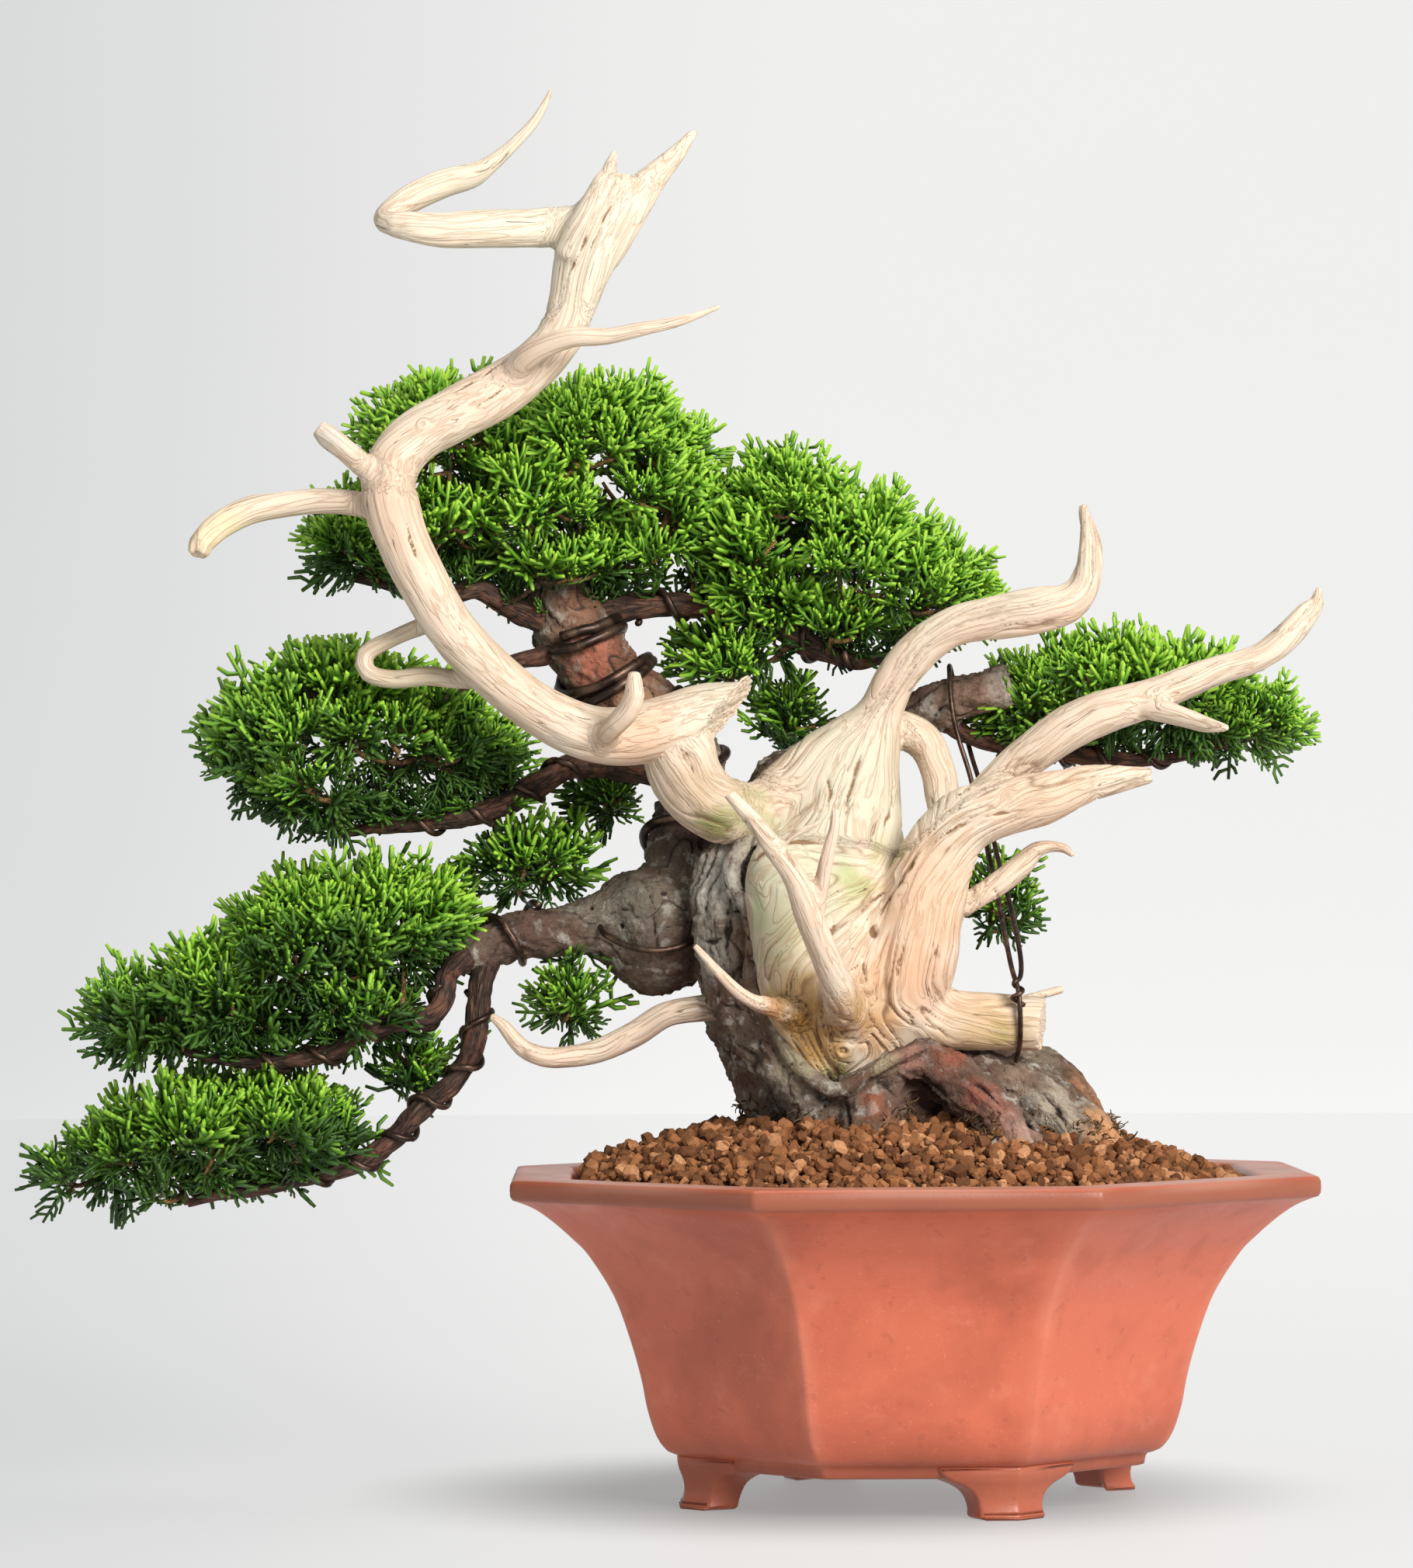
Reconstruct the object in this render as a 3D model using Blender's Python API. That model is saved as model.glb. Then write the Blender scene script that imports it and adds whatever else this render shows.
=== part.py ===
"""A shimpaku juniper bonsai in an octagonal unglazed clay pot.

The tree is assembled from its natural members: the bark covered trunk with its burl and roots, the
bleached deadwood, the live branches with their training wire, and the foliage pads. It stands in
granular soil in a footed pot with screened drainage holes.
"""

import math
import random

import bmesh
import bpy
from mathutils import Matrix, Vector
from mathutils.bvhtree import BVHTree

MM = 0.001

# ---- driving dimensions, millimetres ----------------------------------------------------------
POT_AXIS_X = 74.0  # the pot's axis from the middle of the whole object
POT_TURN = 23.3  # degrees from the front to the front right corner
POT_SIDES = 8
# outer wall: circumradius and height, from the base up to the rim
POT_OUTER = (
    (77.0, 12.5),
    (77.4, 15.0),
    (82.8, 17.6),
    (87.0, 22.6),
    (90.0, 31.0),
    (91.7, 41.0),
    (95.3, 53.0),
    (100.7, 66.5),
    (109.0, 79.0),
    (114.5, 84.5),
    (121.0, 90.0),
    (127.0, 94.0),
    (133.6, 96.6),
    (135.0, 97.6),
    (135.0, 102.0),
    (134.0, 103.0),
)
# inner wall, from the rim's opening down to the floor
POT_INNER = (
    (115.0, 103.0),
    (113.8, 101.8),
    (111.0, 92.0),
    (101.0, 79.0),
    (92.0, 66.5),
    (86.0, 53.0),
    (82.5, 41.0),
    (80.5, 31.0),
    (77.0, 24.0),
    (73.0, 22.0),
)
FOOT_LEVELS = (
    # height, half width along each face, circumradius of the outer corner, thickness
    (15.6, 24.0, 80.5, 13.0),
    (12.0, 21.0, 79.5, 12.0),
    (8.5, 14.5, 77.8, 10.5),
    (4.0, 11.5, 77.4, 9.5),
    (0.0, 11.5, 79.0, 10.0),
)
DRAIN_HOLE_X = 32.0
DRAIN_HOLE_RADIUS = 9.0
SCREEN_SIDE = 25.0
SCREEN_THICK = 0.8
CLIP_RADIUS = 0.7
CLIP_HALF_SPAN = 6.0
POCKET_RISE = 3.6  # how far the soil stands off the floor over a screen and its clip
FLOOR_Z = 22.0
BASE_Z = 12.5
GAP = 0.45  # clearance between pieces that touch
SOIL_EDGE_Z = 98.0
SOIL_RISE = 23.0

# ---- finishes: colour (linear), roughness, metallic -------------------------------------------
FINISHES = {
    "terracotta": ((0.52, 0.17, 0.10, 1), 0.62, 0.0),
    "soil": ((0.30, 0.13, 0.06, 1), 0.95, 0.0),
    "bark": ((0.26, 0.21, 0.16, 1), 0.9, 0.0),
    "deadwood": ((0.80, 0.66, 0.50, 1), 0.75, 0.0),
    "twig_bark": ((0.18, 0.09, 0.06, 1), 0.85, 0.0),
    "foliage": ((0.09, 0.22, 0.05, 1), 0.6, 0.0),
    "copper_wire": ((0.08, 0.045, 0.035, 1), 0.45, 1.0),
    "screen_mesh": ((0.03, 0.03, 0.03, 1), 0.6, 0.0),
}

# ---- wood: x, y, z, radius along each member, from the pot's axis and the ground --------------
DEADWOOD_TRUNK = {
    "body": (
        (-26, -14, 128, 8), (-20, -16, 137, 18), (-19, -17, 152, 26), (-21, -16, 168, 28),
        (-25, -12, 185, 27), (-24, -8, 201, 24), (-21, -6, 216, 21), (-17, -6, 229, 17),
        (-12, -8, 240, 12), (-8, -10, 248, 7.5), (-4, -12, 257, 6.8), (2, -14, 265, 6.8),
        (9, -16, 271, 6.4), (17, -18, 275, 6.4), (28, -20, 277, 7), (39, -22, 279, 7.5),
        (50, -23, 281, 6.5), (55, -23, 286, 5.2), (57, -23, 294, 4.4), (57, -23, 301, 3.4),
        (56, -23, 307, 2.4), (55, -23, 312, 1.2),
    ),
    "buttress": (
        (-12, 0, 242, 7), (-2, 2, 242, 6.6), (6, 0, 238, 6), (10, -4, 229, 5.5),
        (11, -10, 221, 5.5), (13, -16, 212, 5.5),
    ),
    "right_limb": (
        (-9, -24, 144, 11), (-5, -27, 158, 14.5), (0, -29, 172, 15), (3, -30, 185, 13.5),
        (8, -30, 200, 12), (16, -32, 212, 10.5), (29, -34, 217, 9.2), (42, -35, 220, 8.4),
        (54, -36, 224, 6), (65, -36, 226, 4), (75, -36, 227, 2.2),
    ),
    "cut_stub": ((-5, -24, 154, 10), (9, -24, 152, 8.2), (25, -24, 151, 7.3), (42, -24, 149, 6.8)),
}
LIVE_TRUNK = {
    "band": (
        (-29, 2, 104, 17), (-35, 2, 124, 16), (-44, 2, 137, 13.5), (-52, 2, 152, 11.5),
        (-56, 4, 167, 10.5), (-57, 4, 181, 10.5), (-55, 6, 195, 11), (-49, 10, 207, 12),
        (-41, 16, 221, 11), (-26, 20, 232, 10), (-11, 24, 241, 9), (3, 22, 247, 8),
        (14, 18, 252, 7.6), (28, 14, 255, 6.4),
    ),
    "burl": (
        (-58, 14, 179, 13.5), (-70, 14, 180, 18.5), (-80, 12, 180, 20.5), (-89, 10, 181, 17.5),
        (-97, 8, 181, 11), (-106, 6, 180, 8.4), (-117, 4, 179, 7.9), (-127, 2, 177, 7.4),
        (-135, 0, 173, 6), (-143, -2, 169, 4.4),
    ),
    "upper_stem": (
        (-65, 14, 189, 11), (-71, 16, 201, 11), (-70, 20, 213, 10.4), (-67, 22, 226, 10.6),
        (-73, 22, 240, 12), (-82, 20, 248, 13.2), (-91, 18, 255, 13.2), (-99, 16, 265, 12.5),
        (-106, 14, 276, 12.5), (-110, 14, 285, 10), (-111, 16, 294, 5.5),
    ),
    "root_left": ((-33, 4, 120, 11), (-42, 6, 113, 7.5), (-50, 8, 107, 5), (-57, 8, 101, 3)),
    "root_centre": ((-12, -20, 138, 13), (-12, -30, 129, 13), (-15, -36, 118, 11.5), (-17, -38, 104, 8)),
    "root_mid": (
        (2, -18, 140, 11), (14, -26, 136, 8.5), (22, -34, 129, 6.8), (30, -40, 120, 7),
        (35, -42, 108, 6),
    ),
    "root_right": (
        (12, -8, 138, 11), (31, -14, 134, 7.8), (44, -18, 126, 6.8), (55, -22, 117, 6),
        (65, -24, 105, 4.2),
    ),
    "root_rear": (
        (16, 10, 136, 10), (39, 14, 137, 6.2), (50, 16, 132, 5), (58, 18, 122, 4.5),
        (65, 18, 108, 3.8),
    ),
    "root_back": ((-15, 18, 132, 18), (-15, 30, 117, 15), (-12, 34, 100, 10)),
    "root_crown": ((-12, -4, 134, 20), (-10, -4, 118, 26), (-8, -4, 102, 20)),
}
ARCH = {
    "neck": (
        (-36, -8, 217, 8.6), (-52, -14, 217, 8.2), (-64, -20, 220, 8.5), (-71, -24, 227, 9.5),
        (-73, -28, 237, 10.2), (-75, -30, 243, 9.7),
    ),
    "arch": (
        (-55, -26, 249, 4.6), (-63, -27, 247, 8.2), (-75, -30, 243, 9.9), (-90, -33, 240, 9.4),
        (-103, -36, 242, 8.7), (-118, -39, 250, 8), (-131, -42, 261, 7.9), (-142, -44, 273, 7.9),
        (-149, -46, 285, 8.1), (-156, -47, 299, 8.4), (-160, -48, 312, 8.6), (-160, -47, 322, 8.4),
        (-153, -44, 332, 8.2), (-140, -41, 340, 8.6), (-127, -38, 347, 8.8), (-116, -36, 355, 8),
        (-108, -34, 364, 7.4), (-104, -33, 374, 7.7), (-101, -32, 385, 8.7), (-98, -31, 395, 8.7),
        (-94, -30, 404, 7.4), (-90, -29, 411, 5.6), (-87, -29, 416, 4),
    ),
    "left_prong": ((-106, -36, 391, 4.4), (-101, -37, 399, 4.3), (-96, -36, 409, 3), (-92, -35, 417, 1.8)),
    "right_prong": (
        (-91, -28, 401, 6), (-84, -25, 411, 4.6), (-79, -23, 417, 3.2), (-72, -21, 424, 2.2),
        (-67, -20, 429, 1.3),
    ),
}
HOOK_JIN = (
    (-98, -30, 399, 5.6), (-108, -30, 399, 5.8), (-118, -34, 398, 5.5), (-132, -42, 397, 5.5),
    (-144, -48, 396, 5), (-154, -51, 397, 4.2), (-160, -49, 399, 3.4), (-160, -42, 402, 3.2),
    (-153, -34, 408, 3.5), (-144, -27, 413, 3.3), (-136, -21, 416, 2.9), (-131, -16, 419, 2.3),
    (-124, -11, 426, 1.8), (-117, -6, 434, 1.5), (-113, -3, 441, 1.1), (-111, -2, 446, 0.7),
)
SIDE_JIN = (
    (-123, -42, 352, 4.2), (-117, -49, 357, 4.2), (-111, -53, 360, 3.8), (-103, -56, 362, 3.3),
    (-93, -57, 362, 2.7), (-83, -58, 364, 2.4), (-73, -58, 366, 1.9), (-66, -58, 368, 1.3),
    (-58, -58, 371, 0.7),
)
LEFT_STUB_JIN = (
    (-159, -48, 316, 4.8), (-169, -52, 323, 3.1), (-174, -54, 328, 2.9), (-179, -55, 332, 2.6),
    (-181, -55, 334, 1.4),
)
LEFT_JIN = (
    (-158, -46, 309, 4.8), (-171, -42, 312, 3.9), (-182, -40, 313, 4), (-193, -40, 312, 4),
    (-204, -42, 310, 4.2), (-213, -46, 305, 4), (-218, -50, 300, 3.3), (-219, -51, 296, 1.9),
)
LOOP_JIN = (
    (-145, -42, 276, 3.2), (-152, -34, 274, 2.8), (-160, -30, 271, 2.6), (-169, -29, 266, 3),
    (-168, -30, 260, 2.9), (-160, -31, 258, 2.9), (-150, -32, 259, 3.1), (-142, -34, 258, 3),
    (-128, -40, 257, 2.9),
)
HEEL_JIN = (
    (-96, -38, 238, 3.2), (-92, -50, 242, 3.4), (-87, -55, 247, 3.5), (-85, -57, 252, 3.2),
    (-85, -57, 256, 2.6), (-85, -57, 259, 1.4),
)
LONG_JIN = (
    (17, -20, 214, 5.6), (31, -20, 228, 6.1), (40, -22, 235, 6.6), (50, -24, 242, 7.3),
    (62, -26, 247, 7.3), (75, -28, 251, 6.3), (87, -30, 256, 5.3), (98, -31, 260, 4.6),
    (108, -32, 263, 4.2), (117, -32, 269, 4.4), (123, -32, 276, 3.6), (127, -32, 281, 2.3),
    (128, -32, 285, 1),
)
LONG_SIDE_JIN = ((72, -29, 249, 4), (84, -38, 245, 3.1), (92, -44, 242, 2.4), (98, -48, 241, 1))
LOWER_HOOK_JIN = (
    (8, -27, 184, 5.5), (19, -24, 188, 3.9), (24, -24, 191, 3.9), (30, -24, 195, 4),
    (36, -24, 200, 3.7), (40, -25, 204, 2.7), (45, -26, 205, 1.8), (49, -28, 204, 1.5),
    (51, -30, 202, 0.9),
)
SLIVER_JIN = ((29, -18, 154, 2), (38, -14, 157.5, 1.6), (49, -12, 160.5, 1.4))
FRONT_JIN = (
    (-20, -38, 152, 6), (-21, -50, 158, 6), (-26, -60, 170, 4.6), (-32, -66, 184, 4.4),
    (-36, -69, 195, 3.9), (-43, -71, 205, 3.4), (-49, -72, 213, 2.7), (-57, -73, 222, 1.8),
)
FRONT_TWIG_JIN = ((-30, -64, 182, 2.8), (-27, -70, 199, 2.3), (-24, -73, 211, 1.7), (-24, -74, 218, 0.9))
SMALL_TWIG_JIN = (
    (-36, -38, 153, 4.2), (-44, -46, 156, 3.4), (-48, -50, 157, 2.7), (-53, -53, 160, 2.2),
    (-60, -56, 167, 1.7), (-67, -58, 175, 1.1),
)
LOW_LEFT_JIN = (
    (-52, -2, 157, 5.2), (-64, -6, 155, 4.4), (-76, -8, 153, 4), (-86, -11, 147, 4.1),
    (-97, -14, 142, 3.8), (-107, -17, 140, 3.5), (-114, -19, 140, 3.4), (-121, -21, 143, 3),
    (-127, -22, 150, 2.2), (-131, -22, 153, 1.1),
)

# ---- live branches ------------------------------------------------------------------------------
MID_LEFT_BRANCH = (
    (-74, 22, 229, 5.6), (-85, 18, 231, 5), (-103, 8, 232, 4), (-112, 4, 228, 4), (-122, 0, 222, 4.1),
    (-130, -2, 218, 3.7), (-142, -4, 215, 3.4), (-160, -4, 213, 2.7), (-169, -4, 212, 2.1),
    (-178, -4, 210, 1.3),
)
LOWEST_BRANCH = (
    (-132, 1, 174, 5), (-135, -1, 160, 3.8), (-137, -4, 143, 3.7), (-144, -5, 131, 3.4),
    (-153, -6, 124, 3.5), (-160, -6, 116, 3.4), (-172, -6, 107, 3.1), (-184, -6, 103, 2.5),
    (-202, -6, 99, 2.2), (-220, -6, 96, 1.8), (-227, -6, 94, 1.2),
)
LOW_LEFT_BRANCH = (
    (-139, -2, 172, 4), (-145, -9, 165, 3.5), (-146, -14, 158, 3.2), (-150, -16, 153, 3.2),
    (-160, -16, 151, 3.4), (-171, -16, 148, 3.2), (-180, -16, 142, 3), (-196, -16, 139, 2.6),
    (-213, -16, 139, 1.8), (-227, -16, 142, 1.2),
)
APEX_RIGHT_BRANCH = (
    (-104, 14, 278, 5.6), (-88, 16, 282, 4.4), (-77, 18, 283, 3.9), (-67, 18, 283, 3.9),
    (-56, 18, 282, 4.4), (-45, 18, 279, 4.4), (-35, 18, 273, 4.2), (-25, 18, 268, 3.6),
    (-15, 18, 265, 3), (-4, 18, 266, 2),
)
APEX_LEFT_BRANCH = (
    (-106, 13, 274, 5), (-117, 8, 278, 4.2), (-127, 0, 283, 3.4), (-134, -5, 287, 3.2),
    (-141, -8, 286, 2.9), (-147, -5, 285, 2.6), (-156, 0, 287, 2.4), (-166, 4, 290, 2.1),
    (-175, 6, 292, 1.6),
)
LEFT_STEM = ((-104, 14, 270, 4.6), (-114, 8, 267, 3.2), (-125, 4, 264, 2.5), (-134, -2, 260, 2), (-148, -6, 252, 1.6))
RIGHT_BRANCH = (
    (8, 21, 248, 5), (15, 22, 245, 3.6), (20, 22, 241, 2.7), (27, 22, 239, 2.7), (37, 22, 237, 3),
    (47, 22, 236, 3.2), (59, 22, 234, 3.1), (69, 22, 233, 2.7), (79, 22, 233, 2), (91, 22, 234, 1.5),
    (100, 22, 237, 1.1),
)

# ---- foliage: centre and half sizes of the lobes of each pad ------------------------------------
FOLIAGE = {
    "foliage_apex": (
        (-97, 16, 334, 30, 40, 20), (-120, 14, 316, 30, 42, 19), (-149, 0, 334, 22, 30, 17),
        (-150, 4, 312, 24, 32, 17), (-72, 22, 314, 17, 30, 16), (-83, 20, 326, 22, 34, 18),
        (-110, 20, 300, 30, 36, 13),
    ),
    "foliage_apex_left": ((-176, 4, 306, 12, 22, 13), (-168, 4, 299, 14, 20, 9)),
    "foliage_upper_right": (
        (-38, 22, 314, 20, 34, 16), (-16, 24, 301, 24, 38, 18), (6, 26, 288, 26, 36, 17),
        (-50, 22, 302, 15, 28, 14), (-16, 26, 280, 24, 28, 10), (-58, 24, 269, 14, 20, 8),
        (-44, 24, 286, 16, 24, 10),
    ),
    "foliage_right": (
        (62, 30, 256, 24, 34, 17), (90, 28, 253, 24, 32, 15), (111, 24, 246, 17, 24, 11),
        (40, 32, 250, 16, 24, 15),
    ),
    "foliage_mid_left": (
        (-168, 4, 243, 32, 34, 21), (-196, 4, 244, 23, 32, 18), (-184, 4, 226, 26, 32, 13),
        (-142, 8, 236, 22, 30, 14), (-181, 10, 258, 18, 26, 13), (-206, 4, 236, 14, 22, 13),
    ),
    "foliage_low_left": (
        (-161, -2, 182, 24, 32, 18), (-188, -2, 174, 29, 38, 22), (-218, -2, 160, 24, 34, 16),
        (-242, -2, 153, 18, 26, 12), (-175, -6, 157, 24, 28, 11),
    ),
    "foliage_lowest": (
        (-193, -6, 118, 22, 30, 14), (-220, -6, 116, 25, 34, 16), (-246, -6, 111, 20, 26, 12),
        (-264, -6, 106, 13, 16, 8),
    ),
}
# small tufts: lobes, then the twig that carries them
TUFTS = {
    "tuft_burl_left": (((-120, 10, 202, 20, 16, 11),), ((-113, 6, 184, 2.4), (-116, 10, 196, 2))),
    "tuft_under_branch": (((-107, 8, 158, 9, 10, 9),), ((-106, 6, 176, 2.2), (-107, 8, 162, 1.8))),
    "tuft_drop": (((-157, 4, 139, 7, 9, 6),), ((-138, -2, 140, 1.8), (-152, 3, 139, 1.6))),
    "tuft_right": (((31, 24, 188, 14, 12, 12),), ((-4, 10, 178, 2.4), (24, 22, 187, 1.8))),
    "tuft_crotch": (((-36, 36, 249, 10, 10, 9),), ((-34, 20, 230, 2.4), (-36, 32, 244, 1.8))),
    "tuft_stem": (((-96, 28, 224, 9, 9, 8),), ((-84, 20, 228, 2.2), (-92, 26, 225, 1.8))),
}

# ---- wire -----------------------------------------------------------------------------------------
# the guy: up the near strand, over the stub, down the far strand and twisted back on itself
GUY_WIRE = (
    (33, -25, 138), (34, -31, 144), (34, -34.5, 152), (33.5, -34, 160), (31.5, -29, 168), (29, -18, 184),
    (26.5, -9, 199), (21, 4, 226), (17, 7, 240), (15, 7.5, 250), (14.5, 11, 260), (15, 20, 263),
    (17, 29.5, 256), (19.5, 29.5, 245), (22, 23, 234), (25, 12, 222), (29, -2, 201), (31.5, -14, 185),
    (34.5, -26, 170), (36.2, -31, 164),
)
GUY_RADIUS = 0.8
WIRED = ("branch_mid_left", "branch_lowest", "branch_low_left", "branch_apex_right", "branch_right")
WIRE_ROOM = 4.4  # room that a pad leaves round a wired branch


def clear_scene():
    """Remove every object the scene starts with."""
    for obj in list(bpy.data.objects):
        bpy.data.objects.remove(obj, do_unlink=True)


def finish(slot):
    """Return the material of this finish, made once."""
    found = bpy.data.materials.get(slot)
    if found:
        return found
    colour, roughness, metallic = FINISHES[slot]
    made = bpy.data.materials.new(slot)
    made.use_nodes = True
    shader = made.node_tree.nodes["Principled BSDF"]
    shader.inputs["Base Color"].default_value = colour
    shader.inputs["Roughness"].default_value = roughness
    shader.inputs["Metallic"].default_value = metallic
    made.diffuse_color = colour
    return made


def smooth_route(stations, step):
    """Read a smooth curve through the stations.

    Args:
        stations: tuples of numbers, the first three a place in millimetres.
        step: spacing along the curve in millimetres.

    Returns:
        A list of tuples of the same length.
    """
    points = [tuple(map(float, s)) for s in stations]
    first = tuple(2 * a - b for a, b in zip(points[0], points[1]))
    last = tuple(2 * a - b for a, b in zip(points[-1], points[-2]))
    padded = [first, *points, last]
    route = []
    for i in range(1, len(padded) - 2):
        p0, p1, p2, p3 = padded[i - 1 : i + 3]
        length = (Vector(p2[:3]) - Vector(p1[:3])).length
        count = max(1, round(length / step))
        for k in range(count):
            t = k / count
            route.append(
                tuple(
                    0.5 * (2 * b + (c - a) * t + (2 * a - 5 * b + 4 * c - d) * t * t
                           + (3 * b - a - 3 * c + d) * t ** 3)
                    for a, b, c, d in zip(p0, p1, p2, p3)
                )
            )
    route.append(points[-1])
    return route


def frames_along(places):
    """Tangent, normal and binormal at each place, without twist."""
    tangents = []
    for i in range(len(places)):
        ahead, behind = places[min(i + 1, len(places) - 1)], places[max(i - 1, 0)]
        tangents.append((ahead - behind).normalized())
    side = Vector((0, 0, 1)) if abs(tangents[0].z) < 0.9 else Vector((1, 0, 0))
    normal = tangents[0].cross(side).normalized()
    frames = []
    for i, tangent in enumerate(tangents):
        if i:
            normal = (normal - tangent * normal.dot(tangent)).normalized()
        frames.append((tangent, normal, tangent.cross(normal)))
    return frames


def add_tube(bm, route, sides, phase=0.0):
    """Sweep rings of the route's radius along it and close both ends.

    Args:
        bm: the mesh the tube is added to.
        route: tuples of x, y, z and radius in millimetres.
        sides: how many corners each ring has.
        phase: turn of the first corner, radians.
    """
    places = [Vector(p[:3]) for p in route]
    rings = []
    for place, (_, normal, across), station in zip(places, frames_along(places), route):
        ring = []
        for k in range(sides):
            angle = phase + math.tau * k / sides
            out = normal * math.cos(angle) + across * math.sin(angle)
            ring.append(bm.verts.new((place + out * station[3]) * MM))
        rings.append(ring)
    for lower, upper in zip(rings, rings[1:]):
        for k in range(sides):
            j = (k + 1) % sides
            bm.faces.new((lower[k], lower[j], upper[j], upper[k]))
    bm.faces.new(list(reversed(rings[0])))
    bm.faces.new(rings[-1])


def add_object(name, bm, slot=None):
    """Close off the mesh as a named object on the plant's frame.

    Args:
        name: the piece's name.
        bm: the mesh, which is freed.
        slot: its finish, or None for a helper.

    Returns:
        The object.
    """
    bmesh.ops.recalc_face_normals(bm, faces=bm.faces[:])
    mesh = bpy.data.meshes.new(name)
    bm.to_mesh(mesh)
    bm.free()
    obj = bpy.data.objects.new(name, mesh)
    bpy.context.scene.collection.objects.link(obj)
    if slot:
        mesh.materials.append(finish(slot))
    else:
        hide(obj)
    return obj


def hide(obj):
    """Mark an object as a helper."""
    obj.hide_render = True
    obj.display_type = "WIRE"


def settle(obj):
    """Replace the object's mesh by its evaluated one and drop its modifiers."""
    graph = bpy.context.evaluated_depsgraph_get()
    graph.update()
    made = bpy.data.meshes.new_from_object(obj.evaluated_get(graph), depsgraph=graph)
    slot = obj.data.materials[:]
    obj.modifiers.clear()
    obj.data = made
    made.materials.clear()
    for material in slot:
        made.materials.append(material)


def keep_largest(obj):
    """Drop chips that a cut has left loose."""
    bm = bmesh.new()
    bm.from_mesh(obj.data)
    left = set(bm.verts)
    islands = []
    while left:
        start = left.pop()
        island, edge = {start}, [start]
        while edge:
            for link in edge.pop().link_edges:
                for vert in link.verts:
                    if vert in left:
                        left.discard(vert)
                        island.add(vert)
                        edge.append(vert)
        islands.append(island)
    islands.sort(key=spread, reverse=True)
    for island in islands[1:]:
        bmesh.ops.delete(bm, geom=list(island), context="VERTS")
    bm.to_mesh(obj.data)
    bm.free()


def spread(verts):
    """The diagonal of the box round some vertices."""
    low = Vector(min(v.co[i] for v in verts) for i in range(3))
    high = Vector(max(v.co[i] for v in verts) for i in range(3))
    return (high - low).length


def fuse(obj, voxel, triangles):
    """Grow overlapping tubes and lobes together into one skin.

    Args:
        obj: the object.
        voxel: the size of the finest detail kept, millimetres.
        triangles: about how many triangles stay.
    """
    grow = obj.modifiers.new("Grow", "REMESH")
    grow.mode = "VOXEL"
    grow.voxel_size = voxel * MM
    settle(obj)
    keep_largest(obj)
    obj.data.calc_loop_triangles()
    thin = obj.modifiers.new("Thin", "DECIMATE")
    thin.ratio = min(1.0, triangles / len(obj.data.loop_triangles))
    thin.use_collapse_triangulate = True
    settle(obj)


def bounds_of(obj):
    """Lowest and highest corner of the object's mesh, metres."""
    corners = [v.co for v in obj.data.vertices]
    low = Vector(min(c[i] for c in corners) for i in range(3))
    high = Vector(max(c[i] for c in corners) for i in range(3))
    return low, high


def near(a, b):
    """Whether the boxes of two objects come within a clearance of each other."""
    (low_a, high_a), (low_b, high_b) = bounds_of(a), bounds_of(b)
    room = 2 * GAP * MM
    return all(low_a[i] - room < high_b[i] and low_b[i] - room < high_a[i] for i in range(3))


def touches(a, b):
    """Whether two skins cross or come within the clearance."""
    trees = []
    for obj in (a, b):
        bm = bmesh.new()
        bm.from_mesh(obj.data)
        if obj is b:
            bm.normal_update()
            for vert in bm.verts:
                vert.co += vert.normal * GAP * MM
        trees.append(BVHTree.FromBMesh(bm))
        bm.free()
    return bool(trees[0].overlap(trees[1]))


def carve_sleeve(target, name, stations):
    """Cut room for a wired branch out of the target.

    Args:
        target: the object that gives way.
        name: the branch's name.
        stations: the branch's route.
    """
    sleeve = bpy.data.objects.get(f"{name}_sleeve")
    if not sleeve:
        bm = bmesh.new()
        wide = [(*s[:3], s[3] + WIRE_ROOM) for s in smooth_route(stations, 3.0)]
        add_tube(bm, wide, 12)
        sleeve = add_object(f"{name}_sleeve", bm)
        fuse(sleeve, 2.0, 220)
    if near(target, sleeve) and touches(target, sleeve):
        cut = target.modifiers.new("Room", "BOOLEAN")
        cut.operation = "DIFFERENCE"
        cut.object = sleeve
        settle(target)
        keep_largest(target)


def carve(target, neighbour, gap=GAP):
    """Cut a neighbour's shape, with a clearance round it, out of the target.

    Args:
        target: the object that gives way.
        neighbour: the object that keeps its shape.
        gap: the clearance in millimetres.
    """
    cutter = neighbour.copy()
    cutter.data = neighbour.data.copy()
    cutter.name = "clearance"
    bpy.context.scene.collection.objects.link(cutter)
    hide(cutter)
    cutter.modifiers.new("Facet", "TRIANGULATE")
    swell = cutter.modifiers.new("Swell", "DISPLACE")
    swell.strength = gap * MM
    swell.mid_level = 0.0
    settle(cutter)
    cut = target.modifiers.new("Cut", "BOOLEAN")
    cut.operation = "DIFFERENCE"
    cut.object = cutter
    settle(target)
    bpy.data.objects.remove(cutter, do_unlink=True)


def clear_of(target, others, gap=GAP):
    """Carve the target clear of every other piece that it would touch."""
    for other in others:
        if near(target, other) and touches(target, other):
            carve(target, other, gap)
            keep_largest(target)


def corner(radius, index, z, turn=POT_TURN):
    """A corner of the pot's octagon; index 0 is the front right one."""
    angle = math.radians(turn + 360.0 / POT_SIDES * index)
    return Vector((radius * math.sin(angle), -radius * math.cos(angle), z))


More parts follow.
